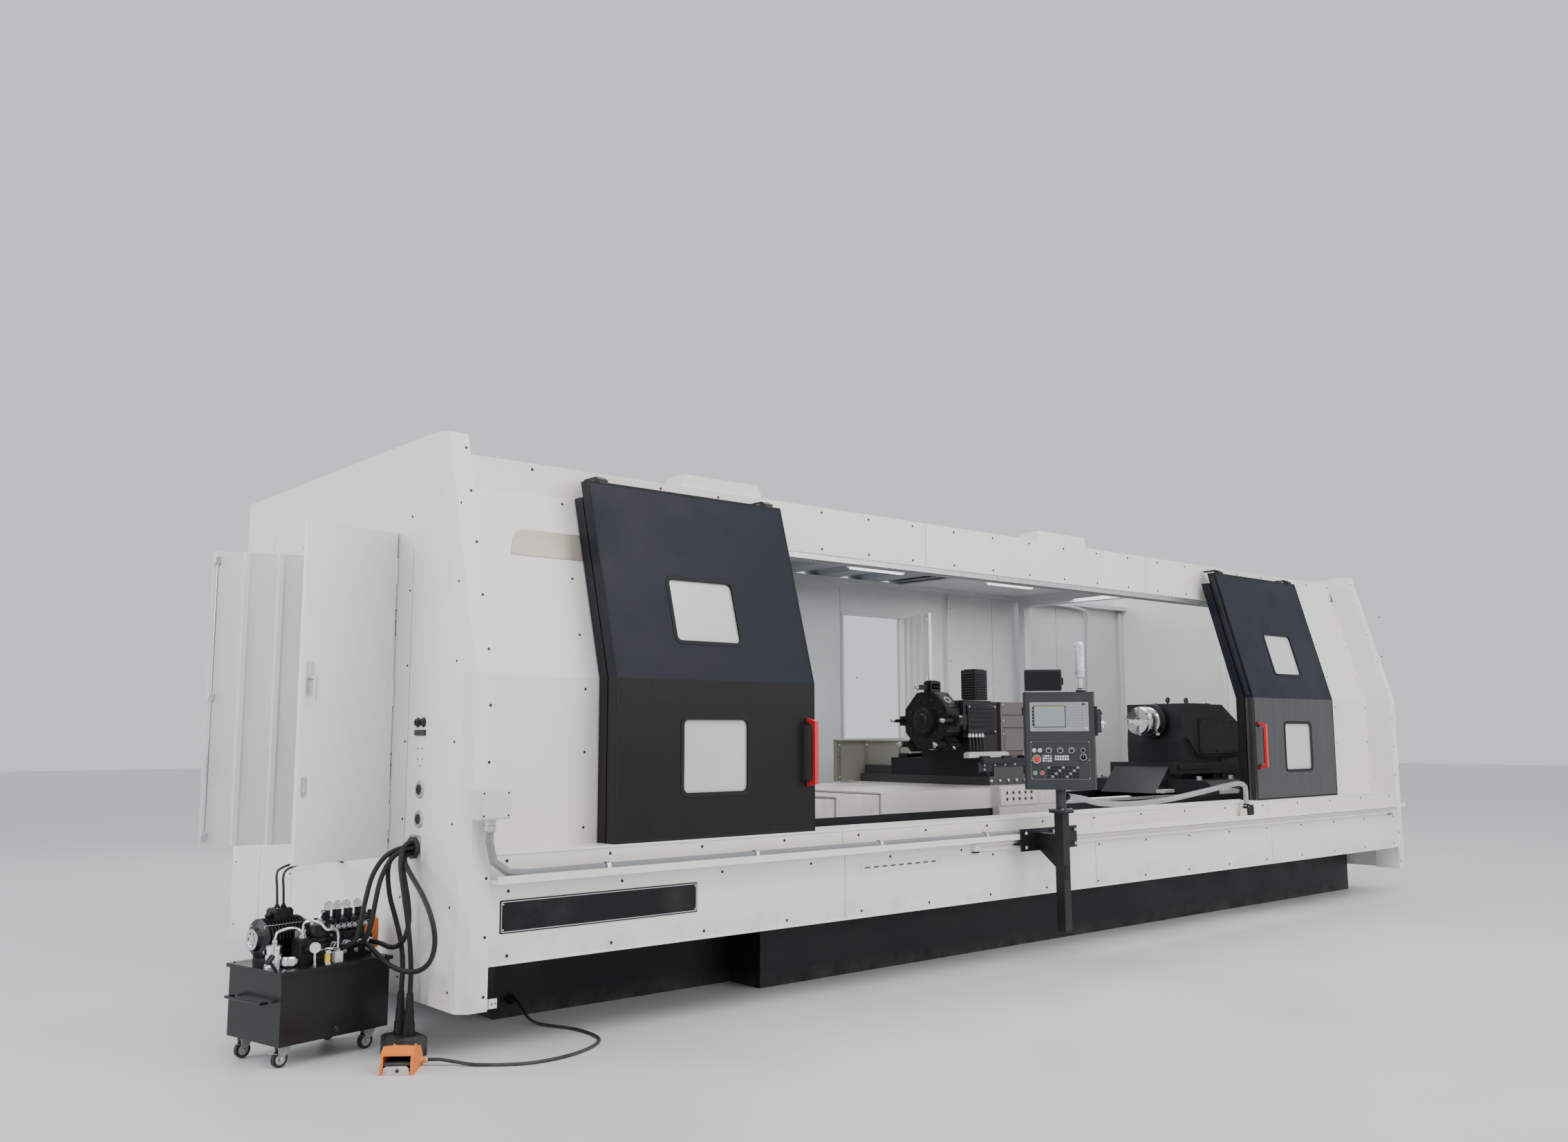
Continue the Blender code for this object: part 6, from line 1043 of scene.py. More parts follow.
def add_cabinet():
    back = -4.63
    parts, trim, duct, wire = Form(), Form(), Form(), Form()
    for row in range(4):
        low = CABINET_LOW + CABINET_ROW * (row + 0.22)
        high = CABINET_LOW + CABINET_ROW * (row + 0.78)
        for unit in range(5):
            depth = 0.12 * (1.0 if (unit + row) % 2 else 0.7)
            y0 = -0.56 + 0.232 * (unit + 0.10)
            mid = y0 + 0.0928
            face = to_left(back - depth, mid, (low + high) / 2)
            kind = (unit + 2 * row) % 3
            parts.block(face, 0.168, high - low - 0.016, 0.010, 0.004)
            if kind == 0:
                for k in range(5):
                    trim.screw(shift(face, -0.06 + 0.03 * k, 0.095, 0.0095), 0.0075, 0.004)
                    trim.screw(shift(face, -0.06 + 0.03 * k, -0.095, 0.0095), 0.0075, 0.004)
                parts.block(face, 0.10, 0.09, 0.026, 0.005)
            elif kind == 1:
                for k in range(8):
                    parts.block(shift(face, 0, -0.07 + 0.02 * k), 0.14, 0.007, 0.016, 0.002)
            else:
                parts.block(shift(face, 0, 0.05), 0.12, 0.06, 0.018, 0.004)
                for k in range(4):
                    trim.lathe(shift(face, -0.045 + 0.03 * k, -0.02, 0.0095),
                               [(0.008, 0), (0.008, 0.006), (0.006, 0.009)], 14)
            for k in range(2):
                a = Vector((back - depth - 0.004, mid - 0.04 + 0.08 * k, low + 0.008))
                wire.pipe([a, a + Vector((-0.02, 0.004, -0.03)), a + Vector((-0.004, 0.006, -0.07)),
                           a + Vector((0.04, 0.002, -0.092))], 0.0035, 8, 0.008)
        if row < 3:
            z = high + (CABINET_ROW - (high - low)) / 2
            m = to_left(-4.64, 0.02, z)
            duct.block(m, 1.12, 0.075, 0.062, 0.004)
            for k in range(54):
                duct.block(shift(m, -0.53 + 0.02 * k), 0.006, 0.079, 0.058, 0.001)
    parts.done("cabinet_modules", key_grey)
    trim.done("cabinet_terminals", brass)
    duct.done("cabinet_ducts", bezel_grey)
    wire.done("cabinet_wires", matt_black)


add_cabinet()


# Bed, headstock and chuck
def add_bed():
    base = []
    for x in rows(-2.65, 4.75, 0.74):
        base += [top(x, -0.82, 0.40), top(x, 0.82, 0.40)]
    bolts("levelling_bolts", base, "machine", zinc, 0.022, 0.022, True)
    pads = Form()
    for x in rows(-2.65, 4.75, 0.74):
        for y in (-0.82, 0.82):
            pads.block(top(x, y, 0.3995), 0.13, 0.11, 0.012, 0.004)
    pads.done("levelling_pads", casting_black)
    screw = Form()
    profile = [(0.022, 0.0)]
    for i in range(330):
        z = 0.05 + 0.0215 * i
        profile += [(0.022, z), (0.028, z + 0.006), (0.028, z + 0.013), (0.022, z + 0.019)]
    screw.lathe(to_right(-2.72, 0.0, 0.945), profile, 12)
    screw.done("feed_screw", turned_steel)
    ends = Form()
    for x in (-2.745, 4.405):
        ends.block(to_right(x, 0.0, 0.94), 0.18, 0.108, 0.07, 0.008)
    ends.done("feed_screw_bearings", casting_black)
    rack = Form()
    for i in range(250):
        x = -2.70 + 0.0295 * i
        rack.prism(front(x, -0.7995, 0.915), [(-0.010, 0), (0.010, 0), (0.010, 0.030), (-0.010, 0.030)], 0.0,
                   0.010, 0.003)
    rack.done("feed_rack", machined)
    wiring = Form()
    wiring.pipe([(-2.7, -0.745, 0.70), (-1.0, -0.745, 0.70), (1.5, -0.745, 0.70), (4.7, -0.745, 0.70)], 0.012,
                10, 0.4)
    wiring.pipe([(-2.7, -0.745, 0.66), (-1.0, -0.745, 0.66), (1.5, -0.745, 0.66), (4.7, -0.745, 0.66)], 0.008,
                10, 0.4)
    wiring.done("bed_pipes", matt_black)
    Form().lathe(front(-4.38, -0.601, 0.10), [(0.030, 0), (0.030, 0.010), (0.024, 0.012), (0.024, 0.026),
                                              (0.015, 0.042), (0.0088, 0.052)], 16).done(
        "pedal_lead_gland", matt_black)


def add_headstock():
    black = Form()
    m = front(-3.44, -0.60, 1.40)
    black.block(m, 1.10, 0.56, 0.018, 0.006)
    black.block(shift(m, 0, 0.47), 1.10, 0.28, 0.014, 0.005)
    black.block(top(-3.44, 0.0, 2.22), 0.86, 0.62, 0.020, 0.006)
    for x in (-3.75, -3.1):
        black.lathe(top(x, 0.25, 2.2395), [(0.05, 0), (0.05, 0.012), (0.042, 0.018), (0.02, 0.020)], 20)
    black.done("headstock_covers", casting_black)
    spots = [shift(m, a, b, 0.018) for a in rows(-0.51, 0.51, 0.255) for b in (-0.24, 0.24)]
    spots += [shift(m, a, 0.47 + b, 0.014) for a in (-0.51, 0, 0.51) for b in (-0.11, 0.11)]
    spots += [top(-3.44 + a, b, 2.24) for a in (-0.39, 0, 0.39) for b in (-0.27, 0.27)]
    bolts("headstock_bolts", spots, "machine", zinc, 0.011, 0.007)
    ring = []
    for k in range(12):
        a = 2 * math.pi * (k + 0.5) / 12
        ring.append(to_right(-2.7606, 0.36 * math.cos(a), SPINDLE_Z + 0.36 * math.sin(a)))
    bolts("headstock_collar_bolts", ring, "machine", zinc, 0.012, 0.008)
    Form().lathe(front(-3.85, -0.618, 1.22), [(0.032, 0), (0.032, 0.008), (0.026, 0.010), (0.022, 0.006)],
                 20).done(
        "oil_sight_glass", brass)
    Form().pipe([(-3.9, -0.40, 2.235), (-3.9, -0.52, 2.26), (-3.6, -0.56, 2.27), (-3.2, -0.56, 2.27),
                 (-3.0, -0.50, 2.25), (-3.0, -0.40, 2.23)], 0.007, 10, 0.02).done(
        "headstock_oil_pipes", brass)
    face = -2.368
    heads = []
    for k in range(4):
        a = math.radians(45 + 90 * k)
        for r in (0.20, 0.30, 0.375):
            heads.append(to_right(face, r * math.cos(a), SPINDLE_Z + r * math.sin(a)))
    bolts("chuck_face_bolts", heads, "spindle", screw_dark, 0.014, 0.006)
    rim = Form()
    for k in range(4):
        a = 90.0 * k
        turn = Matrix.Translation((0, 0, SPINDLE_Z)) @ Matrix.Rotation(math.radians(a), 4, "X")
        # Screw socket at the rim of each jaw slot
        m = turn @ top(face - 0.125, 0.0, 0.4185)
        rim.lathe(m, [(0.028, 0), (0.028, 0.004), (0.020, 0.005), (0.014, 0.005), (0.014, 0.001)], 8)
    for z in (-0.245, -0.05):
        rim.lathe(to_right(face + z, 0, SPINDLE_Z), [(0.419, 0), (0.4215, 0.002), (0.4215, 0.006),
                                                     (0.419, 0.008)], 64)
    rim.done("chuck_rim_details", machined, "spindle")
    for i in range(4):
        turn = Matrix.Translation((0, 0, SPINDLE_Z)) @ Matrix.Rotation(math.radians(90.0 * i), 4, "X")
        form = Form()
        for r, x in ((0.328, face + 0.0275), (0.245, face + 0.055), (0.160, face + 0.110)):
            form.screw(turn @ to_right(x, 0.0, r), 0.013, 0.006)
        form.done("jaw_screws_%d" % (i + 1), screw_dark, "jaw_%d" % (i + 1))


add_bed()
add_headstock()


# Carriage, cross slide and turret
def add_carriage():
    steel = Form()
    steel.block(front(-0.235, -0.87, 1.085), 0.44, 0.135, 0.010, 0.003)
    steel.block(front(0.135, -0.87, 1.085), 0.26, 0.135, 0.006, 0.003)
    steel.done("saddle_front_plates", pale_plate, "carriage")
    holes = []
    for i in range(5):
        for z in (1.065, 1.112):
            holes.append(front(-0.38 + 0.072 * i, -0.880, z))
    bolts("saddle_front_screws", holes, "carriage", screw_dark, 0.012, 0.004)
    wiper = Form()
    for y in (-0.66, 0.66):
        wiper.block(to_right(0.28, y, 1.045), 0.30, 0.088, 0.014, 0.003)
    wiper.done("saddle_wipers", rubber, "carriage")
    guard = Form()
    for x in (-0.62, -0.30, 0.12, 0.44, 0.70):
        guard.block(front(x, 0.7005, 1.338), 0.030, 0.33, 0.008, 0.002)
    guard.block(front(0.06, 0.7005, 1.497), 1.43, 0.022, 0.010, 0.003)
    guard.block(rear(0.06, 0.7245, 1.497), 1.43, 0.022, 0.010, 0.003)
    guard.done("guard_stiffeners", olive, "carriage")
    bolts("guard_bolts", [front(x, 0.6925, z) for x in (-0.62, -0.30, 0.12, 0.44, 0.70)
                          for z in (1.20, 1.46)], "carriage", zinc, 0.008, 0.005)
    pump = Form()
    pump.block(top(0.225, 0.50, 1.1605), 0.06, 0.16, 0.055, 0.008)
    for y in (0.44, 0.48, 0.52, 0.56):
        pump.lathe(top(0.225, y, 1.2150), [(0.011, 0), (0.011, 0.010), (0.007, 0.016)], 14)
    pump.done("lube_distributor", casting_black, "carriage")
    bar = Form()
    for i in range(6):
        bar.lathe(front(-0.40 + 0.10 * i, -0.7402, 1.198), [(0.013, 0), (0.013, 0.010), (0.009, 0.016),
                                                            (0.004, 0.018)], 12)
    bar.done("bridge_front_fittings", zinc, "carriage")
    lines = Form()
    for i in range(4):
        lines.pipe([(0.225, 0.44 + 0.03 * i, 1.20), (0.262, 0.43 + 0.03 * i, 1.185),
                    (0.268, 0.2 + 0.03 * i, 1.172), (0.268, -0.3 + 0.02 * i, 1.170),
                    (0.262, -0.62 + 0.02 * i, 1.172)], 0.004, 8, 0.02)
    lines.done("lube_lines", matt_black, "carriage")


def add_turret():
    plate = Form()
    plate.block(front(-0.225, -0.7202, 1.300), 0.60, 0.075, 0.012, 0.004)
    plate.block(front(-0.32, -0.7202, 1.345), 0.34, 0.040, 0.030, 0.004)
    for x in (-0.40, -0.14, 0.12):
        plate.block(top(x, -0.665, 1.3652), 0.10, 0.08, 0.020, 0.004)
    plate.block(top(-0.12, 0.20, 1.3652), 0.52, 0.10, 0.035, 0.006)
    plate.done("slide_plates", casting_black, "tool_slide")
    bolts("slide_bolts", [front(-0.46 + 0.12 * i, -0.7322, z) for i in range(5) for z in (1.283, 1.317)]
          + [top(x + d, -0.665, 1.385) for x in (-0.40, -0.14, 0.12) for d in (-0.03, 0.03)], "tool_slide",
          zinc, 0.009, 0.006)
    Form().prism(front(-0.33, -0.6202, 1.392), [(-0.235, -0.022), (-0.235, 0.016), (-0.20, 0.024),
                                                (0.20, 0.024), (0.235, 0.016), (0.235, -0.022)], 0.0, 0.055,
                 0.004).done(
        "turret_foot_flange", pale_plate, "tool_slide")
    dark = Form()
    # Head face ribs, side cover and column edge covers
    m = front(-0.335, -0.6002, 1.665)
    dark.block(m, 0.33, 0.22, 0.016, 0.006)
    for i in range(6):
        dark.block(shift(m, 0, -0.085 + 0.034 * i, 0.014), 0.28, 0.012, 0.010, 0.003)
    dark.block(to_left(-0.541, TURRET_Y, 1.785), 0.40, 0.03, 0.012, 0.003)
    for z in (1.70, 1.60):
        dark.block(front(0.05, -0.6202, z), 0.30, 0.004, 0.003, 0.001)
    dark.block(top(-0.33, TURRET_Y, 1.8002), 0.34, 0.40, 0.012, 0.004)
    m = top(-0.015, -0.20, 2.0702)
    dark.block(shift(m, 0.075, 0, 0), 0.12, 0.12, 0.010, 0.004)
    for i in range(10):
        dark.block(front(0.06, -0.2752, 1.85 + 0.021 * i), 0.13, 0.008, 0.007, 0.002)
        dark.block(left_end(-0.20, 1.85 + 0.021 * i, -0.0152), 0.13, 0.008, 0.007, 0.002)
    dark.done("turret_head_covers", satin_black, "tool_slide")
    bolts("turret_head_bolts", [front(-0.335 + a, -0.6162, 1.665 + b) for a in (-0.15, 0.15)
                                for b in (-0.095, 0.095)] + [top(-0.33 + a, -0.36 + b, 1.812)
                                                             for a in (-0.15, 0.15) for b in (-0.18, 0.18)]
          + [front(0.05 + a, -0.6202, z) for a in (-0.14, 0.14) for z in (1.78, 1.65, 1.55)], "tool_slide",
          zinc, 0.008, 0.005)
    hoses = Form()
    tips = Form()
    for i in range(5):
        x = -0.505 + 0.038 * i
        hoses.pipe([(x, -0.628, 1.535), (x, -0.632, 1.49), (x, -0.636, 1.45), (x, -0.634, 1.425),
                    (x + 0.002, -0.625, 1.412)], 0.010, 12, 0.01)
        tips.lathe(top(x, -0.628, 1.528), [(0.0115, 0), (0.0115, 0.022), (0.008, 0.026), (0.008, 0.032)], 12)
    hoses.done("turret_hoses", rubber, "tool_slide")
    tips.done("turret_hose_tips", key_white, "tool_slide")
    Form().block(front(-0.43, -0.6002, 1.572), 0.20, 0.028, 0.045, 0.004).done(
        "coolant_manifold", casting_black, "tool_slide")
    Form().block(front(0.06, -0.6202, 1.50), 0.28, 0.16, 0.006, 0.003).done(
        "column_cover", block_brown, "tool_slide")
    # The turret disc and its tools
    axis = Matrix.Translation((0.0, TURRET_Y, TURRET_Z))
    steel, dark, tips, screws = Form(), Form(), Form(), Form()
    dark.lathe(to_left(-0.7323, TURRET_Y, TURRET_Z), [(0.095, -0.004), (0.095, 0.004), (0.080, 0.010),
                                                      (0.052, 0.012), (0.045, 0.022), (0.020, 0.026)], 40)
    for k in range(8):
        a = 2 * math.pi * (k + 0.5) / 8
        screws.screw(axis @ to_left(-0.7003, 0.165 * math.cos(a), 0.165 * math.sin(a)), 0.011, 0.007)
        a = 2 * math.pi * k / 8
        screws.screw(axis @ to_left(-0.7003, 0.130 * math.cos(a), 0.130 * math.sin(a)), 0.008, 0.005)
    for i in range(8):
        t = axis @ Matrix.Rotation(math.pi * i / 4, 4, "X")
        # Station seat plates round the rim, local z is radial
        dark.block(t @ top(-0.62, 0.0, 0.2149), 0.130, 0.150, 0.004, 0.0015)
        for a in (-0.052, 0.052):
            for b in (-0.062, 0.062):
                screws.screw(t @ top(-0.62 + a, b, 0.2188), 0.006, 0.004)
        if i in (0, 2, 3, 5, 6):
            dark.block(t @ top(-0.62, 0.0, 0.2995), 0.090, 0.058, 0.010, 0.003)
            for side in (-1, 1):
                dark.block(t @ place((-0.62, 0.0375 * side, 0.262), (side, 0, 0), (0, 0, 1)), 0.085, 0.040,
                           0.010, 0.003)
                for a in (-0.028, 0.0, 0.028):
                    screws.hexbolt(t @ place((-0.62 + a, 0.0475 * side, 0.262), (side, 0, 0), (0, 0, 1)),
                                   0.007, 0.007)
            for a in (-0.025, 0.025):
                screws.screw(t @ top(-0.62 + a, 0.0, 0.3093), 0.008, 0.006)
            steel.block(t @ to_left(-0.7845, 0.0, 0.2555), 0.024, 0.036, 0.030, 0.006)
            tips.prism(t @ front(-0.800, -0.0126, 0.268), [(-0.016, 0.0), (0.0, 0.012), (0.014, 0.0),
                                                           (0.0, -0.012)], 0.0, 0.006, 0.001)
            steel.lathe(t @ top(-0.655, 0.026, 0.3085), [(0.008, 0), (0.008, 0.010), (0.004, 0.020),
                                                         (0.0025, 0.026)], 12)
        else:
            steel.ring(t @ top(-0.62, 0.0, 0.2186), 0.034, 0.019, 0.006, 24)
    steel.done("turret_tool_steel", zinc, "turret")
    dark.done("turret_tool_blocks", satin_black, "turret")
    tips.done("turret_insert_tips", brass, "turret")
    screws.done("turret_screws", screw_dark, "turret")


def add_tailstock():
    dark = Form()
    ring = []
    for k in range(10):
        a = 2 * math.pi * k / 10
        ring.append(to_left(2.8898, 0.150 * math.cos(a), SPINDLE_Z + 0.150 * math.sin(a)))
    bolts("barrel_bolts", ring, "tailstock_body", screw_dark, 0.008, 0.006)
    dark.ring(to_left(2.8902, 0, SPINDLE_Z), 0.1645, 0.137, 0.006, 48)
    m = front(3.55, -0.30, 1.52)
    dark.block(m, 0.62, 0.34, 0.012, 0.006)
    dark.block(front(3.05, -0.35, 1.235), 0.55, 0.050, 0.012, 0.004)
    dark.block(front(3.95, -0.30, 1.21), 0.70, 0.26, 0.014, 0.006)
    dark.block(top(3.43, 0.0, 1.8352), 0.40, 0.42, 0.012, 0.005)
    dark.done("tailstock_covers", casting_black, "tailstock_body")
    bolts("tailstock_bolts", [shift(m, a, b, 0.012) for a in (-0.28, 0, 0.28) for b in (-0.14, 0.14)]
          + [front(3.95 + a, -0.314, 1.21 + b) for a in (-0.32, 0.32) for b in (-0.10, 0.10)]
          + [top(3.43 + a, b, 1.847) for a in (-0.17, 0.17) for b in (-0.18, 0.18)], "tailstock_body",
          screw_dark, 0.011, 0.007)
    foot = []
    for x in (2.80, 3.35, 3.9, 4.25):
        foot += [top(x, -0.55, 1.120), top(x, 0.55, 1.120)]
    bolts("tailstock_clamp_nuts", foot, "tailstock_body", zinc, 0.028, 0.030, True)
    pale = Form()
    for x in (2.86, 3.22):
        pale.prism(front(x, -0.8002, 1.022), [(-0.14, -0.018), (0.14, -0.018), (0.14, 0.014), (0.10, 0.024),
                                              (-0.10, 0.024), (-0.14, 0.014)], 0.0, 0.040, 0.004)
        pale.block(top(x, -0.818, 1.0455), 0.06, 0.03, 0.022, 0.004)
    pale.prism(front(2.56, -0.3002, 1.018), [(-0.085, -0.014), (0.085, -0.014), (0.085, 0.018),
                                             (-0.085, 0.018)], 0.0, 0.09, 0.004)
    pale.done("tailstock_clamp_blocks", pale_plate, "tailstock_body")
    Form().lathe(to_left(2.888, -0.085, 1.545), [(0.014, 0), (0.014, 0.020), (0.009, 0.024), (0.009, 0.040),
                                                 (0.006, 0.046)], 14).done(
        "tailstock_nipple", key_white, "tailstock_body")
    lines = Form()
    lines.pipe([(2.95, -0.20, 1.56), (3.02, -0.31, 1.50), (3.10, -0.322, 1.40), (3.22, -0.325, 1.34),
                (3.6, -0.325, 1.33), (4.0, -0.325, 1.36), (4.25, -0.318, 1.36)], 0.008, 10, 0.03)
    lines.pipe([(2.98, -0.20, 1.53), (3.05, -0.31, 1.47), (3.13, -0.322, 1.37), (3.24, -0.325, 1.315),
                (3.6, -0.325, 1.305), (4.0, -0.325, 1.335), (4.25, -0.318, 1.335)], 0.006, 10, 0.03)
    lines.done("tailstock_lines", matt_black, "tailstock_body")
    motor = Form()
    motor.block(to_right(4.3802, 0.0, 1.26), 0.24, 0.20, 0.030, 0.008)
    motor.lathe(to_right(4.409, 0.0, 1.26), [(0.085, 0), (0.085, 0.10), (0.070, 0.13), (0.030, 0.135)], 28)
    for k in range(9):
        motor.ring(to_right(4.418 + 0.010 * k, 0.0, 1.26), 0.094, 0.083, 0.005, 28)
    motor.done("quill_motor", satin_black, "tailstock_body")
    # Live chuck sectors and rings
    sectors = Form()
    for k in range(4):
        outline = []
        for i in range(9):
            a = math.radians(90 * k + 12 + 66 * i / 8)
            outline.append((0.126 * math.cos(a), 0.126 * math.sin(a)))
        for i in range(9):
            a = math.radians(90 * k + 12 + 66 * (8 - i) / 8)
            outline.append((0.045 * math.cos(a), 0.045 * math.sin(a)))
        m = to_left(2.6832, 0.0, SPINDLE_Z)
        n = len(outline)
        verts = [(x, y, 0.0) for x, y in outline] + [(x * 0.97, y * 0.97, 0.030) for x, y in outline[:9]]
        verts += [(x * 1.02, y * 1.02, 0.010) for x, y in outline[9:]]
        faces = [tuple(reversed(range(n))), tuple(range(n, 2 * n))]
        faces += [(i, (i + 1) % n, (i + 1) % n + n, i + n) for i in range(n)]
        sectors.raw(m, verts, faces)
    sectors.done("live_chuck_jaws", chrome, "tail_live_chuck")
    rings = Form()
    for x in (2.715, 2.775):
        rings.lathe(to_right(x, 0, SPINDLE_Z), [(0.1345, 0), (0.1362, 0.0015), (0.1362, 0.0045),
                                                (0.1345, 0.006)], 48)
    rings.done("live_chuck_rings", chrome, "tail_live_chuck")
    bolts("live_chuck_screws", [place((2.745, 0.1345 * math.cos(a), SPINDLE_Z + 0.1345 * math.sin(a)),
                                      (1, 0, 0), (0, -math.sin(a), math.cos(a)))
                                for a in (math.radians(30 + 60 * k) for k in range(6))], "tail_live_chuck",
          screw_dark, 0.009, 0.003)
    bolts("quill_collar_screws", [to_left(2.8152, 0.100 * math.cos(a), SPINDLE_Z + 0.100 * math.sin(a))
                                  for a in (math.radians(60 * k) for k in range(6))], "tail_quill",
          screw_dark, 0.007, 0.0012)


add_carriage()
add_turret()
add_tailstock()


# Operator pendant
PENDANT = Matrix.Translation((POST_X, POST_Y, 1.175)) @ Matrix.Rotation(math.radians(-50.0), 4, "Z")
PENDANT_FACE = PENDANT @ front(0.0, -0.075, 0.0)


def panel(share_x, share_z, depth=0.0):
    """A place on the pendant's face from its shares across and up."""
    return shift(PENDANT_FACE, (share_x - 0.5) * 0.476, share_z * 0.66, -depth)


def add_screen_unit():
    bezel, glass, keys, dark = Form(), Form(), Form(), Form()
    mid = panel(0.5, 0.745, 0.010)
    bezel.frame(mid, 0.396, 0.201, 0.004, 0.016, 0.0085)
    bezel.block(shift(mid, 0.112), 0.142, 0.172, 0.006, 0.001)
    bezel.block(shift(mid, -0.176), 0.014, 0.172, 0.006, 0.001)
    bezel.block(shift(mid, -0.064, -0.078), 0.212, 0.018, 0.006, 0.001)
    bezel.block(shift(mid, -0.064, 0.080), 0.212, 0.012, 0.006, 0.001)
    glass.block(shift(mid, -0.064, 0.0015), 0.208, 0.141, 0.004, 0.001)
    dark.frame(shift(mid, -0.064, 0.0015, 0.0), 0.216, 0.149, 0.004, 0.0045, 0.0068)
    for row in range(8):
        for column in range(6):
            keys.block(shift(mid, 0.060 + 0.0205 * column, 0.071 - 0.0185 * row, 0.0058), 0.0165, 0.0135,
                       0.003, 0.001)
    for column in range(10):
        keys.block(shift(mid, -0.155 + 0.0202 * column, -0.078, 0.0058), 0.0150, 0.009, 0.0025, 0.001)
    for row in range(6):
        dark.block(shift(mid, -0.176, 0.058 - 0.022 * row, 0.0058), 0.009, 0.016, 0.002, 0.0006)
    dark.prism(shift(mid, 0.165, 0.085, 0.0083), rounded(0.022, 0.009, 0.003), 0.0, 0.001, 0.0003)
    bezel.done("screen_bezel", bezel_silver, "pendant_head")
    glass.done("screen_glass", screen_glass, "pendant_head")
    keys.done("screen_keys", key_grey, "pendant_head")
    dark.done("screen_soft_keys", satin_black, "pendant_head")
    Form().block(shift(mid, -0.064, 0.0685, 0.0040), 0.196, 0.006, 0.0004, 0.0001).done(
        "screen_top_strip", strip_yellow, "pendant_head")
    Form().lathe(shift(mid, 0.178, -0.080, 0.0083), [(0.007, 0), (0.007, 0.003), (0.005, 0.004)], 16).done(
        "screen_port_cap", key_white, "pendant_head")
    bolts("screen_screws", [shift(mid, a, b, 0.0085) for a in (-0.190, 0.0, 0.190)
                            for b in (-0.0925, 0.0925)], "pendant_head", zinc, 0.004, 0.002)


def add_switch_panel():
    mid = panel(0.5, 0.30, INSET)
    sheet = Form()
    sheet.frame(mid, 0.398, 0.262, 0.004, 0.005, 0.003)
    for x in (-0.102, 0.062):
        sheet.block(shift(mid, x, -0.072), 0.0015, 0.100, 0.0012, 0.0003)
    sheet.block(shift(mid, 0.04, -0.018), 0.300, 0.0015, 0.0012, 0.0003)
    sheet.done("switch_panel_edges", bezel_grey, "pendant_head")
    white, grey, black, green, red_keys, steel = Form(), Form(), Form(), Form(), Form(), Form()
    for share in (0.135, 0.215):
        m = panel(share, 0.40, INSET)
        steel.ring(m, 0.0155, 0.0115, 0.004, 24)
        white.lathe(m, [(0.0115, 0), (0.0115, 0.006), (0.009, 0.009), (0.004, 0.010)], 20)
    for share, up, radius in ((0.34, 0.40, 0.0128), (0.50, 0.40, 0.0128), (0.66, 0.40, 0.0128),
                              (0.82, 0.33, 0.016)):
        m = panel(share, up, INSET)
        steel.ring(m, radius + 0.0065, radius + 0.0012, 0.0022, 28)
        for k in range(9):
            a = math.radians(-30 + 30 * k)
            white.block(spin(shift(m, (radius + 0.0095) * math.cos(a), (radius + 0.0095) * math.sin(a)),
                             -60 + 30 * k), 0.0014, 0.0034, 0.0005, 0.0001)
    for share in (0.34, 0.50, 0.66):
        m = panel(share, 0.40, INSET - 0.022)
        black.block(spin(m, 20), 0.0075, 0.0250, 0.010, 0.002)
        white.block(shift(spin(m, 20), 0, 0.0085, 0.0098), 0.0016, 0.0065, 0.0006, 0.0002)
    m = panel(0.82, 0.40, INSET)
    black.lathe(m, [(0.012, 0), (0.012, 0.012), (0.010, 0.016)], 20)
    steel.ring(m, 0.0165, 0.0122, 0.0022, 24)
    steel.ring(panel(0.17, 0.31, INSET), 0.0295, 0.0222, 0.0012, 32)
    for k in range(3):
        for column in range(4):
            form = white if (k + column) % 3 else grey
            form.block(panel(0.265 + 0.034 * column, 0.345 - 0.026 * k, INSET), 0.0125, 0.0125, 0.0035, 0.001)
    for k in range(2):
        for column in range(6):
            white.block(panel(0.435 + 0.034 * column, 0.338 - 0.028 * k, INSET), 0.0125, 0.0135, 0.0035,
                        0.001)
    for k in range(4):
        for column in range(9):
            form = black if (k * 9 + column) % 4 else grey
            form.block(panel(0.335 + 0.055 * column * 0.92, 0.225 - 0.031 * k, INSET), 0.0175, 0.0140, 0.003,
                       0.001)
    for share, form in ((0.14, green), (0.24, red_keys)):
        m = panel(share, 0.17, INSET)
        steel.ring(m, 0.0150, 0.0112, 0.004, 24)
        form.lathe(m, [(0.0110, 0), (0.0110, 0.007), (0.009, 0.009), (0.003, 0.0095)], 20)
    white.done("switch_white_parts", key_white, "pendant_head")
    grey.done("switch_grey_keys", key_grey, "pendant_head")
    black.done("switch_black_parts", satin_black, "pendant_head")
    green.done("start_button", key_green, "pendant_head")
    red_keys.done("stop_key", key_red, "pendant_head")
    steel.done("switch_rings", zinc, "pendant_head")
    bolts("switch_panel_screws", [shift(mid, a, b, 0.0028) for a in (-0.192, 0.192)
                                  for b in (-0.122, 0.0, 0.122)], "pendant_head", zinc, 0.004, 0.002)
    mark = Form()
    m = panel(0.82, 0.33, INSET - 0.032)
    mark.block(shift(m, 0, 0.008), 0.0018, 0.011, 0.0008, 0.0002)
    mark.done("override_mark", key_white, "feed_knob")
    grip = Form()
    for k in range(18):
        a = 2 * math.pi * k / 18
        turn = spin(panel(0.82, 0.33, INSET - 0.022), math.degrees(a))
        grip.block(turn @ to_right(0.0172, 0, 0), 0.0022, 0.012, 0.0020, 0.0006)
    grip.done("override_ribs", matt_black, "feed_knob")


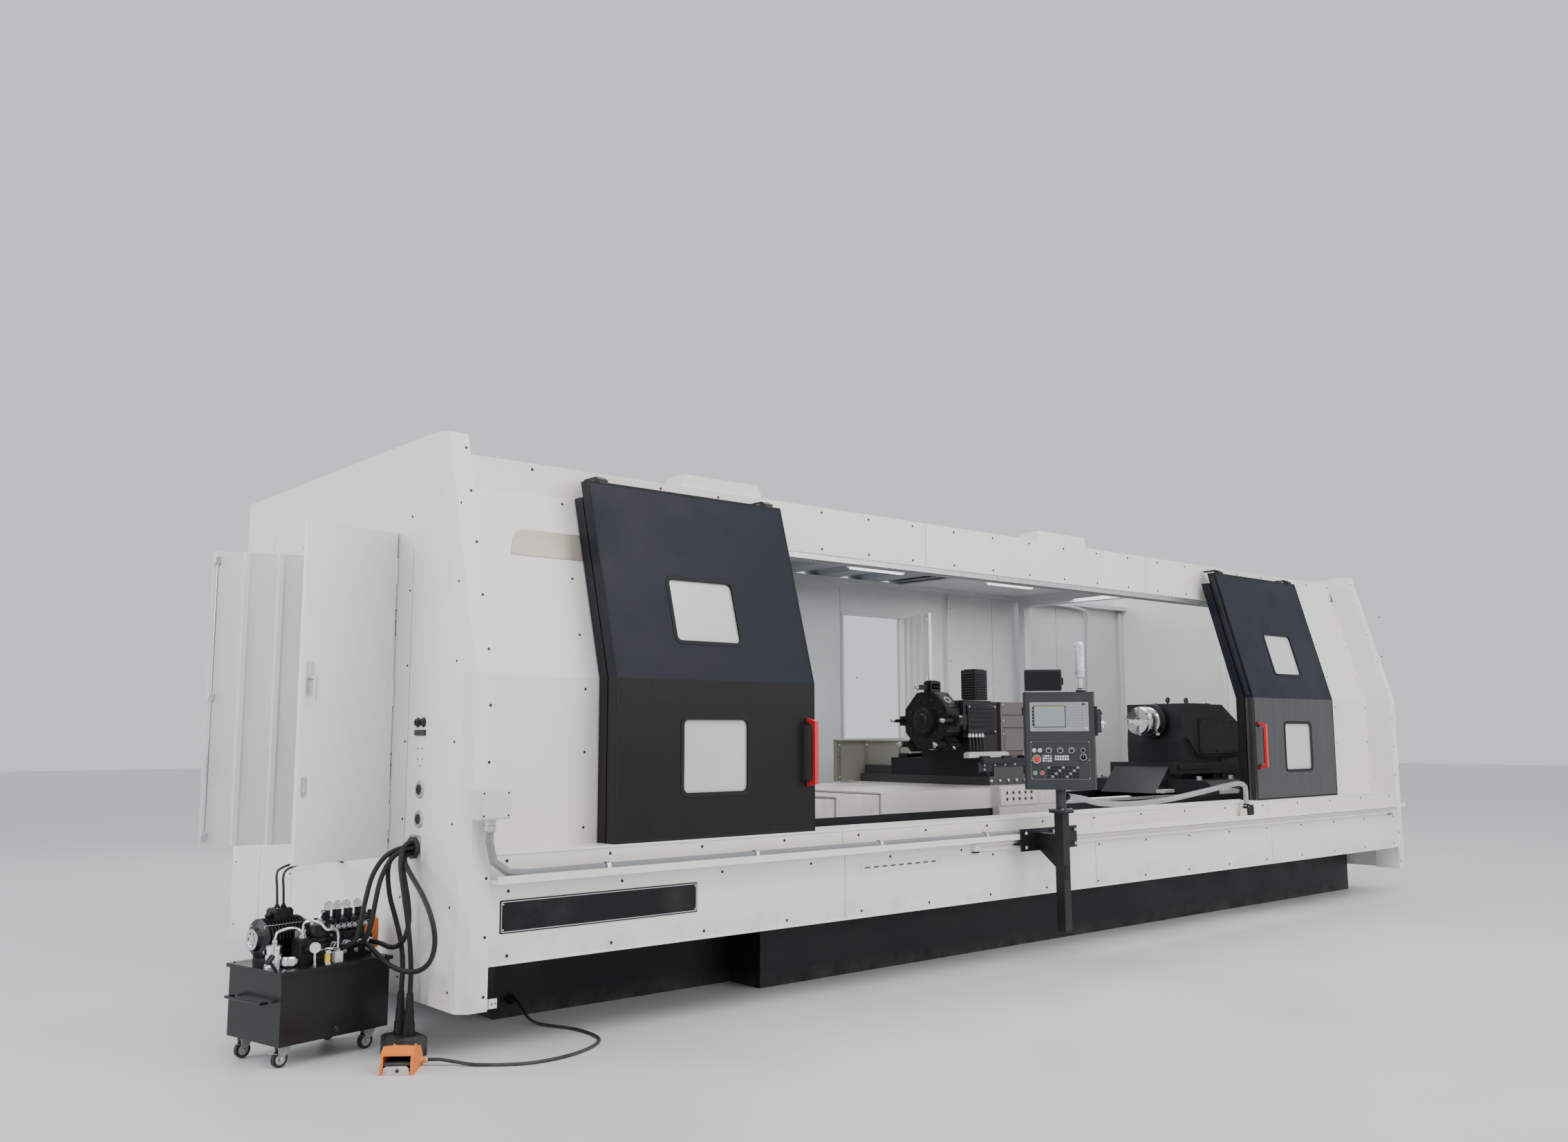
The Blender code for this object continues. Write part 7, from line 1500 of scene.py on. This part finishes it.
def add_pendant_case():
    dark, steel = Form(), Form()
    edge = Form()
    edge.frame(shift(PENDANT_FACE, 0, 0.33), 0.450, 0.640, 0.006, 0.006, 0.0018)
    edge.frame(PENDANT @ rear(0, 0.075, 0.33), 0.440, 0.620, 0.010, 0.012, 0.0030)
    edge.done("pendant_edges", panel_grey, "pendant_head")
    back = PENDANT @ rear(0, 0.0748, 0.33)
    for k in range(9):
        dark.block(shift(back, 0, -0.20 + 0.022 * k), 0.22, 0.009, 0.004, 0.002)
    for side in (-1, 1):
        for z in (0.13, 0.53):
            m = PENDANT @ place((0.2378 * side, 0.052, z), (0, side, 0), (0, 0, 1))
            dark.block(m, 0.022, 0.055, 0.008, 0.003)
    # Top box lid, latch and cooling slots
    m = PENDANT @ front(-0.101, -0.0632, 0.735)
    dark.block(m, 0.238, 0.138, 0.004, 0.003)
    dark.block(PENDANT @ to_right(0.0238, 0.0, 0.735), 0.030, 0.050, 0.014, 0.004)
    dark.block(PENDANT @ top(-0.101, 0.0, 0.8098), 0.242, 0.118, 0.005, 0.004)
    dark.done("top_box_covers", gloss_black, "pendant_head")
    steel.block(PENDANT @ front(-0.101, -0.0635, 0.664), 0.248, 0.010, 0.003, 0.001)
    for x in (-0.02, 0.07, 0.11, 0.20):
        steel.screw(PENDANT @ top(x, -0.035, 0.6598), 0.008, 0.006)
    steel.done("pendant_top_steel", zinc, "pendant_head")
    # Hand unit with its chrome wheel, on the right side
    hand = Form()
    m = PENDANT @ to_right(0.2728, -0.028, 0.462)
    hand.block(m, 0.066, 0.154, 0.008, 0.006)
    for k in range(3):
        hand.lathe(shift(m, -0.018 + 0.018 * k, 0.052, 0.0075),
                   [(0.0065, 0), (0.0065, 0.007), (0.005, 0.009)], 14)
    hand.block(PENDANT @ front(0.245, -0.0632, 0.462), 0.020, 0.20, 0.006, 0.002)
    hand.done("hand_unit", satin_black, "pendant_head")
    wheel = Form()
    w = shift(m, 0, -0.022, 0.0075)
    wheel.lathe(w, [(0.031, 0), (0.031, 0.003), (0.027, 0.004), (0.027, 0.010), (0.029, 0.011),
                    (0.029, 0.017), (0.026, 0.019), (0.010, 0.020)], 36)
    wheel.lathe(shift(w, 0.017, 0.008, 0.0195), [(0.004, 0), (0.004, 0.010), (0.006, 0.012), (0.006, 0.018),
                                                 (0.003, 0.020)], 14)
    wheel.done("hand_wheel", chrome, "pendant_head")
    # Conduit neck fitting
    Form().lathe(to_right(-0.7748, -1.70, 1.122), [(0.0275, 0), (0.0275, 0.016), (0.0250, 0.018),
                                                   (0.0250, 0.034), (0.0225, 0.040)], 20).done(
        "pendant_conduit_neck", matt_black, "pendant_trolley")


def add_pendant_carriage():
    base = -1.5160
    bolts("carriage_plate_bolts", [front(x, base, z) for x in (-0.965, -0.66, -0.415)
                                   for z in (0.782, 0.878)], "pendant_trolley", bolt_white, 0.010, 0.007,
          True)
    ring = [top(POST_X + 0.064 * math.cos(math.radians(45 + 90 * k)),
                POST_Y + 0.064 * math.sin(math.radians(45 + 90 * k)), 1.0422) for k in range(4)]
    bolts("collar_bolts", ring, "pendant_head", zinc, 0.008, 0.006, True)
    cap = Form()
    cap.block(under(POST_X, POST_Y, 0.2398), 0.074, 0.074, 0.008, 0.003)
    cap.block(front(POST_X, -1.735, 0.62), 0.050, 0.10, 0.004, 0.002)
    cap.done("post_end_cap", matt_black, "pendant_trolley")
    ends = Form()
    for x in (-1.372, 4.772):
        ends.block(front(x, -1.3985, 0.80), 0.052, 0.075, 0.035, 0.006)
    ends.done("rail_stops", satin_black)
    # Black fitting that takes the lower end of the conduit
    fit = Form()
    fit.block(front(PIPE_X, -1.470, 0.905), 0.100, 0.105, 0.010, 0.006)
    fit.lathe(top(PIPE_X, GUTTER_Y, 0.9270), [(0.032, 0), (0.032, 0.014), (0.028, 0.016), (0.028, 0.030),
                                              (0.0225, 0.038)], 8)
    fit.done("conduit_fitting", matt_black)
    bolts("conduit_fitting_screws", [front(PIPE_X + a, -1.480, 0.905 + b) for a in (-0.038, 0.038)
                                     for b in (-0.038, 0.038)], "machine", zinc, 0.005, 0.003)


def add_pendant_light():
    """Crinkled protective wrap over the light column."""
    foot = PENDANT @ Matrix.Translation((0.1523, 0.0, 0.661))
    sides, levels = 20, 34
    verts = []
    for i in range(levels + 1):
        t = i / levels
        base = 0.0165 + 0.0175 * max(0.0, min(1.0, (t - 0.24) / 0.10)) - 0.010 * max(0.0, (t - 0.94) / 0.06)
        for k in range(sides):
            a = 2 * math.pi * k / sides
            fold = (0.0011 * math.sin(5 * a + 9 * t) + 0.0008 * math.sin(9 * a - 23 * t)
                    + 0.0006 * math.sin(47 * t + 2 * a))
            r = base + fold
            verts.append((r * math.cos(a), r * math.sin(a), 0.022 + 0.324 * t))
    n = levels + 1
    faces = [tuple(reversed(range(sides))), tuple(range(sides * levels, sides * n))]
    faces += [(row * sides + k, row * sides + (k + 1) % sides, (row + 1) * sides + (k + 1) % sides,
               (row + 1) * sides + k) for row in range(levels) for k in range(sides)]
    Form().raw(foot, verts, faces).done("light_wrap", foil, "pendant_head", angle=50)
    Form().lathe(foot, [(0.036, 0), (0.036, 0.010), (0.030, 0.014), (0.018, 0.018), (0.018, 0.026)], 24).done(
        "light_foot", satin_black, "pendant_head")


bezel_silver = Look("bezel_silver", (0.33, 0.34, 0.345), 0.38, 0.25, vary=0.06, bump=0.05, grain=400).end()
strip_yellow = Look("screen_strip", (0.55, 0.55, 0.22), 0.3, vary=0.05).end()
gloss_black = Look("gloss_black", (0.006, 0.007, 0.011), 0.28, vary=0.2, bump=0.05, grain=300, spec=0.3).end()
bolt_white = Look("bolt_white", (0.62, 0.62, 0.60), 0.36, 0.3, vary=0.08, bump=0.05).end()
add_screen_unit()
add_switch_panel()
add_pendant_case()
add_pendant_carriage()
add_pendant_light()


# Hydraulic unit
LID = 0.448


def on_lid(x, y, z=LID):
    return TANK @ top(x, y, z)


def tank_front(x, z, y=0.0):
    return TANK @ front(x, y, z)


def tank_points(points):
    return [TANK @ Vector(p) for p in points]


def add_gauges():
    rim, faces, needles = Form(), Form(), Form()
    tilt = Matrix.Rotation(math.radians(-38), 4, "Z")
    spots = [(x, 0.205, 0.700, 0.022) for x in (0.372, 0.425, 0.478, 0.541)] + [(0.192, 0.030, 0.535, 0.027)]
    for x, y, z, radius in spots:
        m = TANK @ Matrix.Translation((x, y, z)) @ tilt @ front(0, 0, 0)
        back = shift(m, 0, 0, -0.014)
        rim.lathe(back, [(radius * 0.85, 0), (radius, 0.004), (radius, 0.022), (radius * 0.94, 0.026),
                         (radius * 0.86, 0.026), (radius * 0.86, 0.023)], 28)
        faces.lathe(back, [(radius * 0.86, 0.0225), (radius * 0.86, 0.0236)], 28)
        needles.block(spin(shift(back, 0, 0, 0.0236), 35), 0.0016, radius * 1.1, 0.0008, 0.0002)
        for k in range(11):
            a = math.radians(-45 + 27 * k)
            needles.block(spin(shift(back, radius * 0.72 * math.cos(a), radius * 0.72 * math.sin(a), 0.0235),
                               -45 + 27 * k - 90), 0.0009, 0.0030, 0.0005, 0.0001)
        low = LID if z < 0.6 else 0.676
        rim.lathe(on_lid(x, y + 0.002, low), [(0.009, 0), (0.009, 0.010), (0.006, 0.012),
                                              (0.006, z - low - radius + 0.004)], 6)
    rim.done("gauge_cases", chrome)
    faces.done("gauge_faces", key_white)
    needles.done("gauge_marks", screw_dark)


def add_valves():
    steel, dark, hot = Form(), Form(), Form()
    for i in range(8):
        x = 0.346 + 0.0315 * i
        m = TANK @ front(x, 0.150, 0.603)
        dark.lathe(m, [(0.0140, 0), (0.0140, 0.022), (0.0125, 0.024)], 20)
        steel.lathe(shift(m, 0, 0, 0.0235), [(0.0135, 0), (0.0135, 0.004), (0.010, 0.006), (0.010, 0.012),
                                             (0.006, 0.013)], 6)
        steel.ring(shift(m, 0, 0, 0.007), 0.0152, 0.0136, 0.005, 20)
    for i in range(4):
        x = 0.328 + 0.065 * (i + 0.5)
        steel.lathe(tank_front(x, 0.5133, 0.1352), [(0.0235, 0), (0.0235, 0.010), (0.0190, 0.012),
                                                    (0.0190, 0.024), (0.0225, 0.024), (0.0225, 0.032),
                                                    (0.0180, 0.036)], 6)
        steel.lathe(tank_front(x, 0.478, 0.1352), [(0.014, 0), (0.014, 0.008), (0.011, 0.010)], 6)
        dark.lathe(tank_front(x, 0.550, 0.1352), [(0.012, 0), (0.012, 0.006), (0.009, 0.009)], 12)
    for x in (0.345, 0.571):
        for z in (0.465, 0.565):
            steel.screw(tank_front(x, z, 0.1352), 0.007, 0.006)
    hot.block(TANK @ top(0.5885, 0.222, 0.470), 0.105, 0.150, 0.155, 0.012)
    hot.block(TANK @ front(0.566, 0.1462, 0.575), 0.055, 0.060, 0.016, 0.006)
    hot.done("solenoid_block", solenoid_orange)
    dark.block(TANK @ to_right(0.6412, 0.222, 0.550), 0.085, 0.085, 0.020, 0.006)
    dark.lathe(TANK @ top(0.61, 0.245, 0.6248), [(0.016, 0), (0.016, 0.016), (0.012, 0.020), (0.012, 0.034)],
               16)
    dark.lathe(TANK @ top(0.61, 0.195, 0.6248), [(0.016, 0), (0.016, 0.016), (0.012, 0.020), (0.012, 0.034)],
               16)
    # Relief valve body before the motor, with its side ports
    dark.block(on_lid(0.185, 0.130), 0.075, 0.080, 0.125, 0.006)
    dark.block(on_lid(0.345, 0.095), 0.060, 0.060, 0.060, 0.005)
    dark.lathe(TANK @ front(0.185, 0.090, 0.520), [(0.020, 0), (0.020, 0.012), (0.015, 0.014), (0.015, 0.030),
                                                   (0.010, 0.032)], 6)
    dark.done("valve_bodies", satin_black)
    steel.lathe(on_lid(0.185, 0.130, 0.5725), [(0.018, 0), (0.018, 0.012), (0.012, 0.014), (0.012, 0.030),
                                               (0.016, 0.030), (0.016, 0.038)], 6)
    steel.done("valve_fittings", zinc)


def add_pipes():
    pipes = Form()
    pipes.pipe(tank_points([(0.185, 0.130, 0.600), (0.185, 0.120, 0.640), (0.200, 0.085, 0.655),
                            (0.235, 0.060, 0.640), (0.262, 0.050, 0.610), (0.300, 0.048, 0.606),
                            (0.325, 0.050, 0.590), (0.332, 0.052, 0.545), (0.332, 0.055, 0.499)]), 0.008, 12,
               0.008)
    pipes.pipe(tank_points([(0.055, 0.160, 0.575), (0.065, 0.150, 0.612), (0.110, 0.130, 0.626),
                            (0.150, 0.128, 0.620), (0.178, 0.120, 0.595), (0.180, 0.118, 0.572)]), 0.007, 12,
               0.008)
    pipes.pipe(tank_points([(0.225, 0.110, 0.505), (0.240, 0.070, 0.510), (0.262, 0.040, 0.520),
                            (0.300, 0.035, 0.515), (0.345, 0.060, 0.505)]), 0.006, 10, 0.008)
    pipes.pipe(tank_points([(0.264, 0.1125, 0.636), (0.270, 0.115, 0.668), (0.290, 0.130, 0.682),
                            (0.325, 0.160, 0.672), (0.350, 0.190, 0.662), (0.366, 0.204, 0.674)]), 0.006, 10,
               0.008)
    pipes.done("pressure_pipes", chrome)
    nuts = Form()
    for x, y, z in ((0.332, 0.055, 0.497), (0.055, 0.160, 0.560)):
        nuts.lathe(on_lid(x, y, z), [(0.0135, 0), (0.0135, 0.012), (0.0095, 0.016)], 6)
    nuts.lathe(on_lid(0.264, 0.1125, 0.6375), [(0.030, 0), (0.030, 0.006), (0.014, 0.008), (0.014, 0.018),
                                               (0.009, 0.020)], 6)
    nuts.done("pipe_nuts", zinc)
    Form().block(on_lid(0.332, 0.053), 0.046, 0.036, 0.050, 0.004).done("return_block", key_white)
    yellow, steel = Form(), Form()
    m = on_lid(0.250, 0.014)
    yellow.block(shift(m, 0, 0, 0.010), 0.024, 0.018, 0.046, 0.003)
    steel.block(m, 0.030, 0.024, 0.012, 0.003)
    steel.block(shift(m, 0, 0, 0.054), 0.030, 0.024, 0.012, 0.003)
    yellow.done("level_glass", key_yellow)
    # Pump flange, filler cap and dipstick
    steel.lathe(on_lid(0.055, 0.160), [(0.046, 0), (0.046, 0.010), (0.035, 0.012), (0.035, 0.035),
                                       (0.040, 0.037), (0.040, 0.060), (0.034, 0.064), (0.034, 0.085),
                                       (0.038, 0.087), (0.038, 0.102), (0.020, 0.110)], 36)
    for k in range(6):
        a = math.radians(60 * k + 15)
        steel.hexbolt(on_lid(0.055 + 0.0405 * math.cos(a), 0.160 + 0.0405 * math.sin(a), LID + 0.0098), 0.004,
                      0.005)
    steel.lathe(on_lid(0.102, 0.099, LID + 0.0105), [(0.0349, 0), (0.0349, 0.032), (0.0340, 0.0345),
                                                     (0.0285, 0.0410)], 32)
    for k in range(24):
        a = 2 * math.pi * k / 24
        steel.block(on_lid(0.102, 0.099, LID + 0.018) @ Matrix.Rotation(a, 4, "Z")
                    @ to_right(0.0347, 0, 0.008), 0.004, 0.020, 0.002, 0.0006)
    steel.done("pump_steel", chrome)


def add_motor_and_casters():
    z = 0.5683
    steel = Form()
    for k in range(4):
        a = math.radians(45 + 90 * k)
        steel.tube(tank_points([(0.050, 0.306 + 0.0905 * math.cos(a), z + 0.0905 * math.sin(a)),
                                (0.272, 0.306 + 0.0905 * math.cos(a), z + 0.0905 * math.sin(a))]), 0.0035, 8)
        steel.hexbolt(TANK @ to_left(0.0575, 0.306 + 0.080 * math.cos(a), z + 0.080 * math.sin(a)), 0.006,
                      0.006)
    for dx in (-0.036, 0.036):
        for dy in (-0.034, 0.034):
            steel.screw(on_lid(0.1665 + dx, 0.306 + dy, 0.7065), 0.004, 0.003)
    steel.lathe(TANK @ to_left(0.0238, 0.306, z), [(0.050, 0), (0.050, 0.004), (0.036, 0.005),
                                                   (0.030, 0.001)], 28)
    steel.done("motor_steel", zinc)
    dark = Form()
    dark.block(on_lid(0.1665, 0.306, 0.6964), 0.090, 0.082, 0.010, 0.004)
    dark.lathe(TANK @ to_left(0.1190, 0.306, 0.672), [(0.015, 0), (0.015, 0.012), (0.012, 0.014),
                                                      (0.012, 0.024), (0.008, 0.030)], 16)
    for k in range(6):
        a = math.radians(60 * k)
        dark.block(TANK @ to_left(0.0239, 0.306 + 0.035 * math.cos(a), z + 0.035 * math.sin(a)), 0.016, 0.016,
                   0.003, 0.001)
    Form().block(TANK @ front(0.225, 0.2118, z + 0.012), 0.060, 0.034, 0.001, 0.0004).done(
        "motor_plate", plate_bare)
    # Lifting lever at the near left corner and a grip rail
    dark.pipe(tank_points([(-0.004, 0.035, 0.440), (-0.020, 0.030, 0.462), (-0.045, 0.022, 0.492),
                           (-0.062, 0.016, 0.512)]), 0.008, 12, 0.01)
    dark.lathe(TANK @ place((-0.058, 0.0174, 0.507), (0.35, -0.94, 0), (-0.55, -0.2, 0.81)),
               [(0.0125, -0.030), (0.0135, -0.020), (0.0135, 0.012), (0.011, 0.018)], 14)
    dark.pipe(tank_points([(-0.012, 0.38, 0.300), (-0.050, 0.38, 0.302), (-0.055, 0.36, 0.302),
                           (-0.055, 0.11, 0.302), (-0.050, 0.09, 0.302), (-0.012, 0.09, 0.300)]), 0.007, 12,
              0.015)
    dark.done("unit_dark_parts", satin_black)
    trim = Form()
    trim.lathe(tank_front(0.300, 0.140), [(0.016, 0), (0.016, 0.006), (0.010, 0.008), (0.010, 0.016)], 6)
    for x in rows(0.02, 0.58, 0.14):
        for y in (0.004, 0.446):
            trim.screw(on_lid(x, y, LID), 0.006, 0.004)
    trim.done("tank_trim", screw_dark)
    forks = Form()
    for i, (x, y) in enumerate(((0.065, 0.065), (0.535, 0.065), (0.535, 0.385), (0.065, 0.385))):
        axle_x = x - 0.019
        hubs = Form()
        for side in (-1, 1):
            m = TANK @ place((axle_x, y + 0.0110 * side, 0.038), (-side, 0, 0), (0, 0, 1))
            hubs.ring(m, 0.0245, 0.0085, 0.0006, 24)
            forks.lathe(TANK @ place((axle_x, y + 0.0195 * side, 0.038), (-side, 0, 0), (0, 0, 1)),
                        [(0.010, 0), (0.010, 0.006), (0.006, 0.008)], 6)
        hubs.done("caster_hub_%d" % (i + 1), hub_pale, "wheel_%d" % (i + 1))
        forks.block(TANK @ under(x, y, 0.1048), 0.084, 0.060, 0.003, 0.001)
        forks.block(TANK @ place((x - 0.052, y, 0.070), (-1, 0, 0.3), (0.3, 0, 1))
                    @ Matrix.Rotation(math.radians(90), 4, "X"), 0.034, 0.030, 0.003, 0.001)
    forks.done("caster_steel", zinc)


hub_pale = Look("hub_pale", (0.42, 0.42, 0.41), 0.4, vary=0.1, bump=0.06).end()
solenoid_orange = Look("solenoid_orange", (0.72, 0.17, 0.03), 0.42, vary=0.12, bump=0.10, grain=260).dirt(
    GRIME, 0.42, 0.60, 0.5).end()
add_gauges()
add_valves()
add_pipes()
add_motor_and_casters()


# Pedal
PEDAL = Matrix.Translation((-5.385, -1.36, 0.0)) @ Matrix.Rotation(math.radians(-38.0), 4, "Z")


def add_pedal():
    grey, dark, steel, hot = Form(), Form(), Form(), Form()
    m = PEDAL @ front(0, -0.0002, 0.0)
    grey.prism(m, [(-0.058, 0.001), (0.058, 0.001), (0.058, 0.030), (0.046, 0.040), (-0.046, 0.040),
                   (-0.058, 0.030)], 0.0, 0.004, 0.001)
    grey.done("pedal_front_plate", pale_plate)
    # A thin dark disc on the front plate: painted shade standing for a hole.
    Form().lathe(shift(m, 0.006, 0.020, 0.0037), [(0.009, 0), (0.009, 0.0006)], 20).done(
        "pedal_plate_hole_shade", screw_dark)
    for k in range(9):
        dark.block(PEDAL @ top(0, 0.028 + 0.014 * k, 0.0535 - 0.0008 * k), 0.104, 0.006, 0.0022, 0.0006)
    dark.done("treadle_grips", matt_black, "treadle")
    hot.prism(PEDAL @ place((0, 0.098, 0.1052), (1, 0, 0), (0, 0.985, -0.17)),
              [(-0.042, -0.028), (0.042, -0.028), (0.034, 0.030), (-0.034, 0.030)], -0.002, 0.006, 0.002)
    for side in (-1, 1):
        hot.prism(PEDAL @ place((0.075 * side, 0.105, 0.045), (0, side, 0), (0, 0, 1)),
                  [(-0.060, -0.030), (0.060, -0.030), (0.045, 0.028), (-0.045, 0.028)], 0.0, 0.003, 0.002)
    hot.block(PEDAL @ top(0, 0.105, 0.0), 0.158, 0.218, 0.008, 0.003)
    hot.done("pedal_hood_ribs", orange)
    for x in (-0.05, 0.05):
        steel.screw(PEDAL @ place((x, 0.165, 0.0985), (1, 0, 0), (0, 1, -0.15)), 0.006, 0.004)
        steel.screw(shift(m, x, 0.020, 0.0038), 0.004, 0.003)
    steel.lathe(PEDAL @ to_right(0.0740, 0.168, 0.02875), [(0.0155, 0), (0.0155, 0.008), (0.0120, 0.010),
                                                           (0.0120, 0.022), (0.0150, 0.023), (0.0150, 0.030),
                                                           (0.0100, 0.034)], 6)
    steel.done("pedal_steel", zinc)


add_pedal()
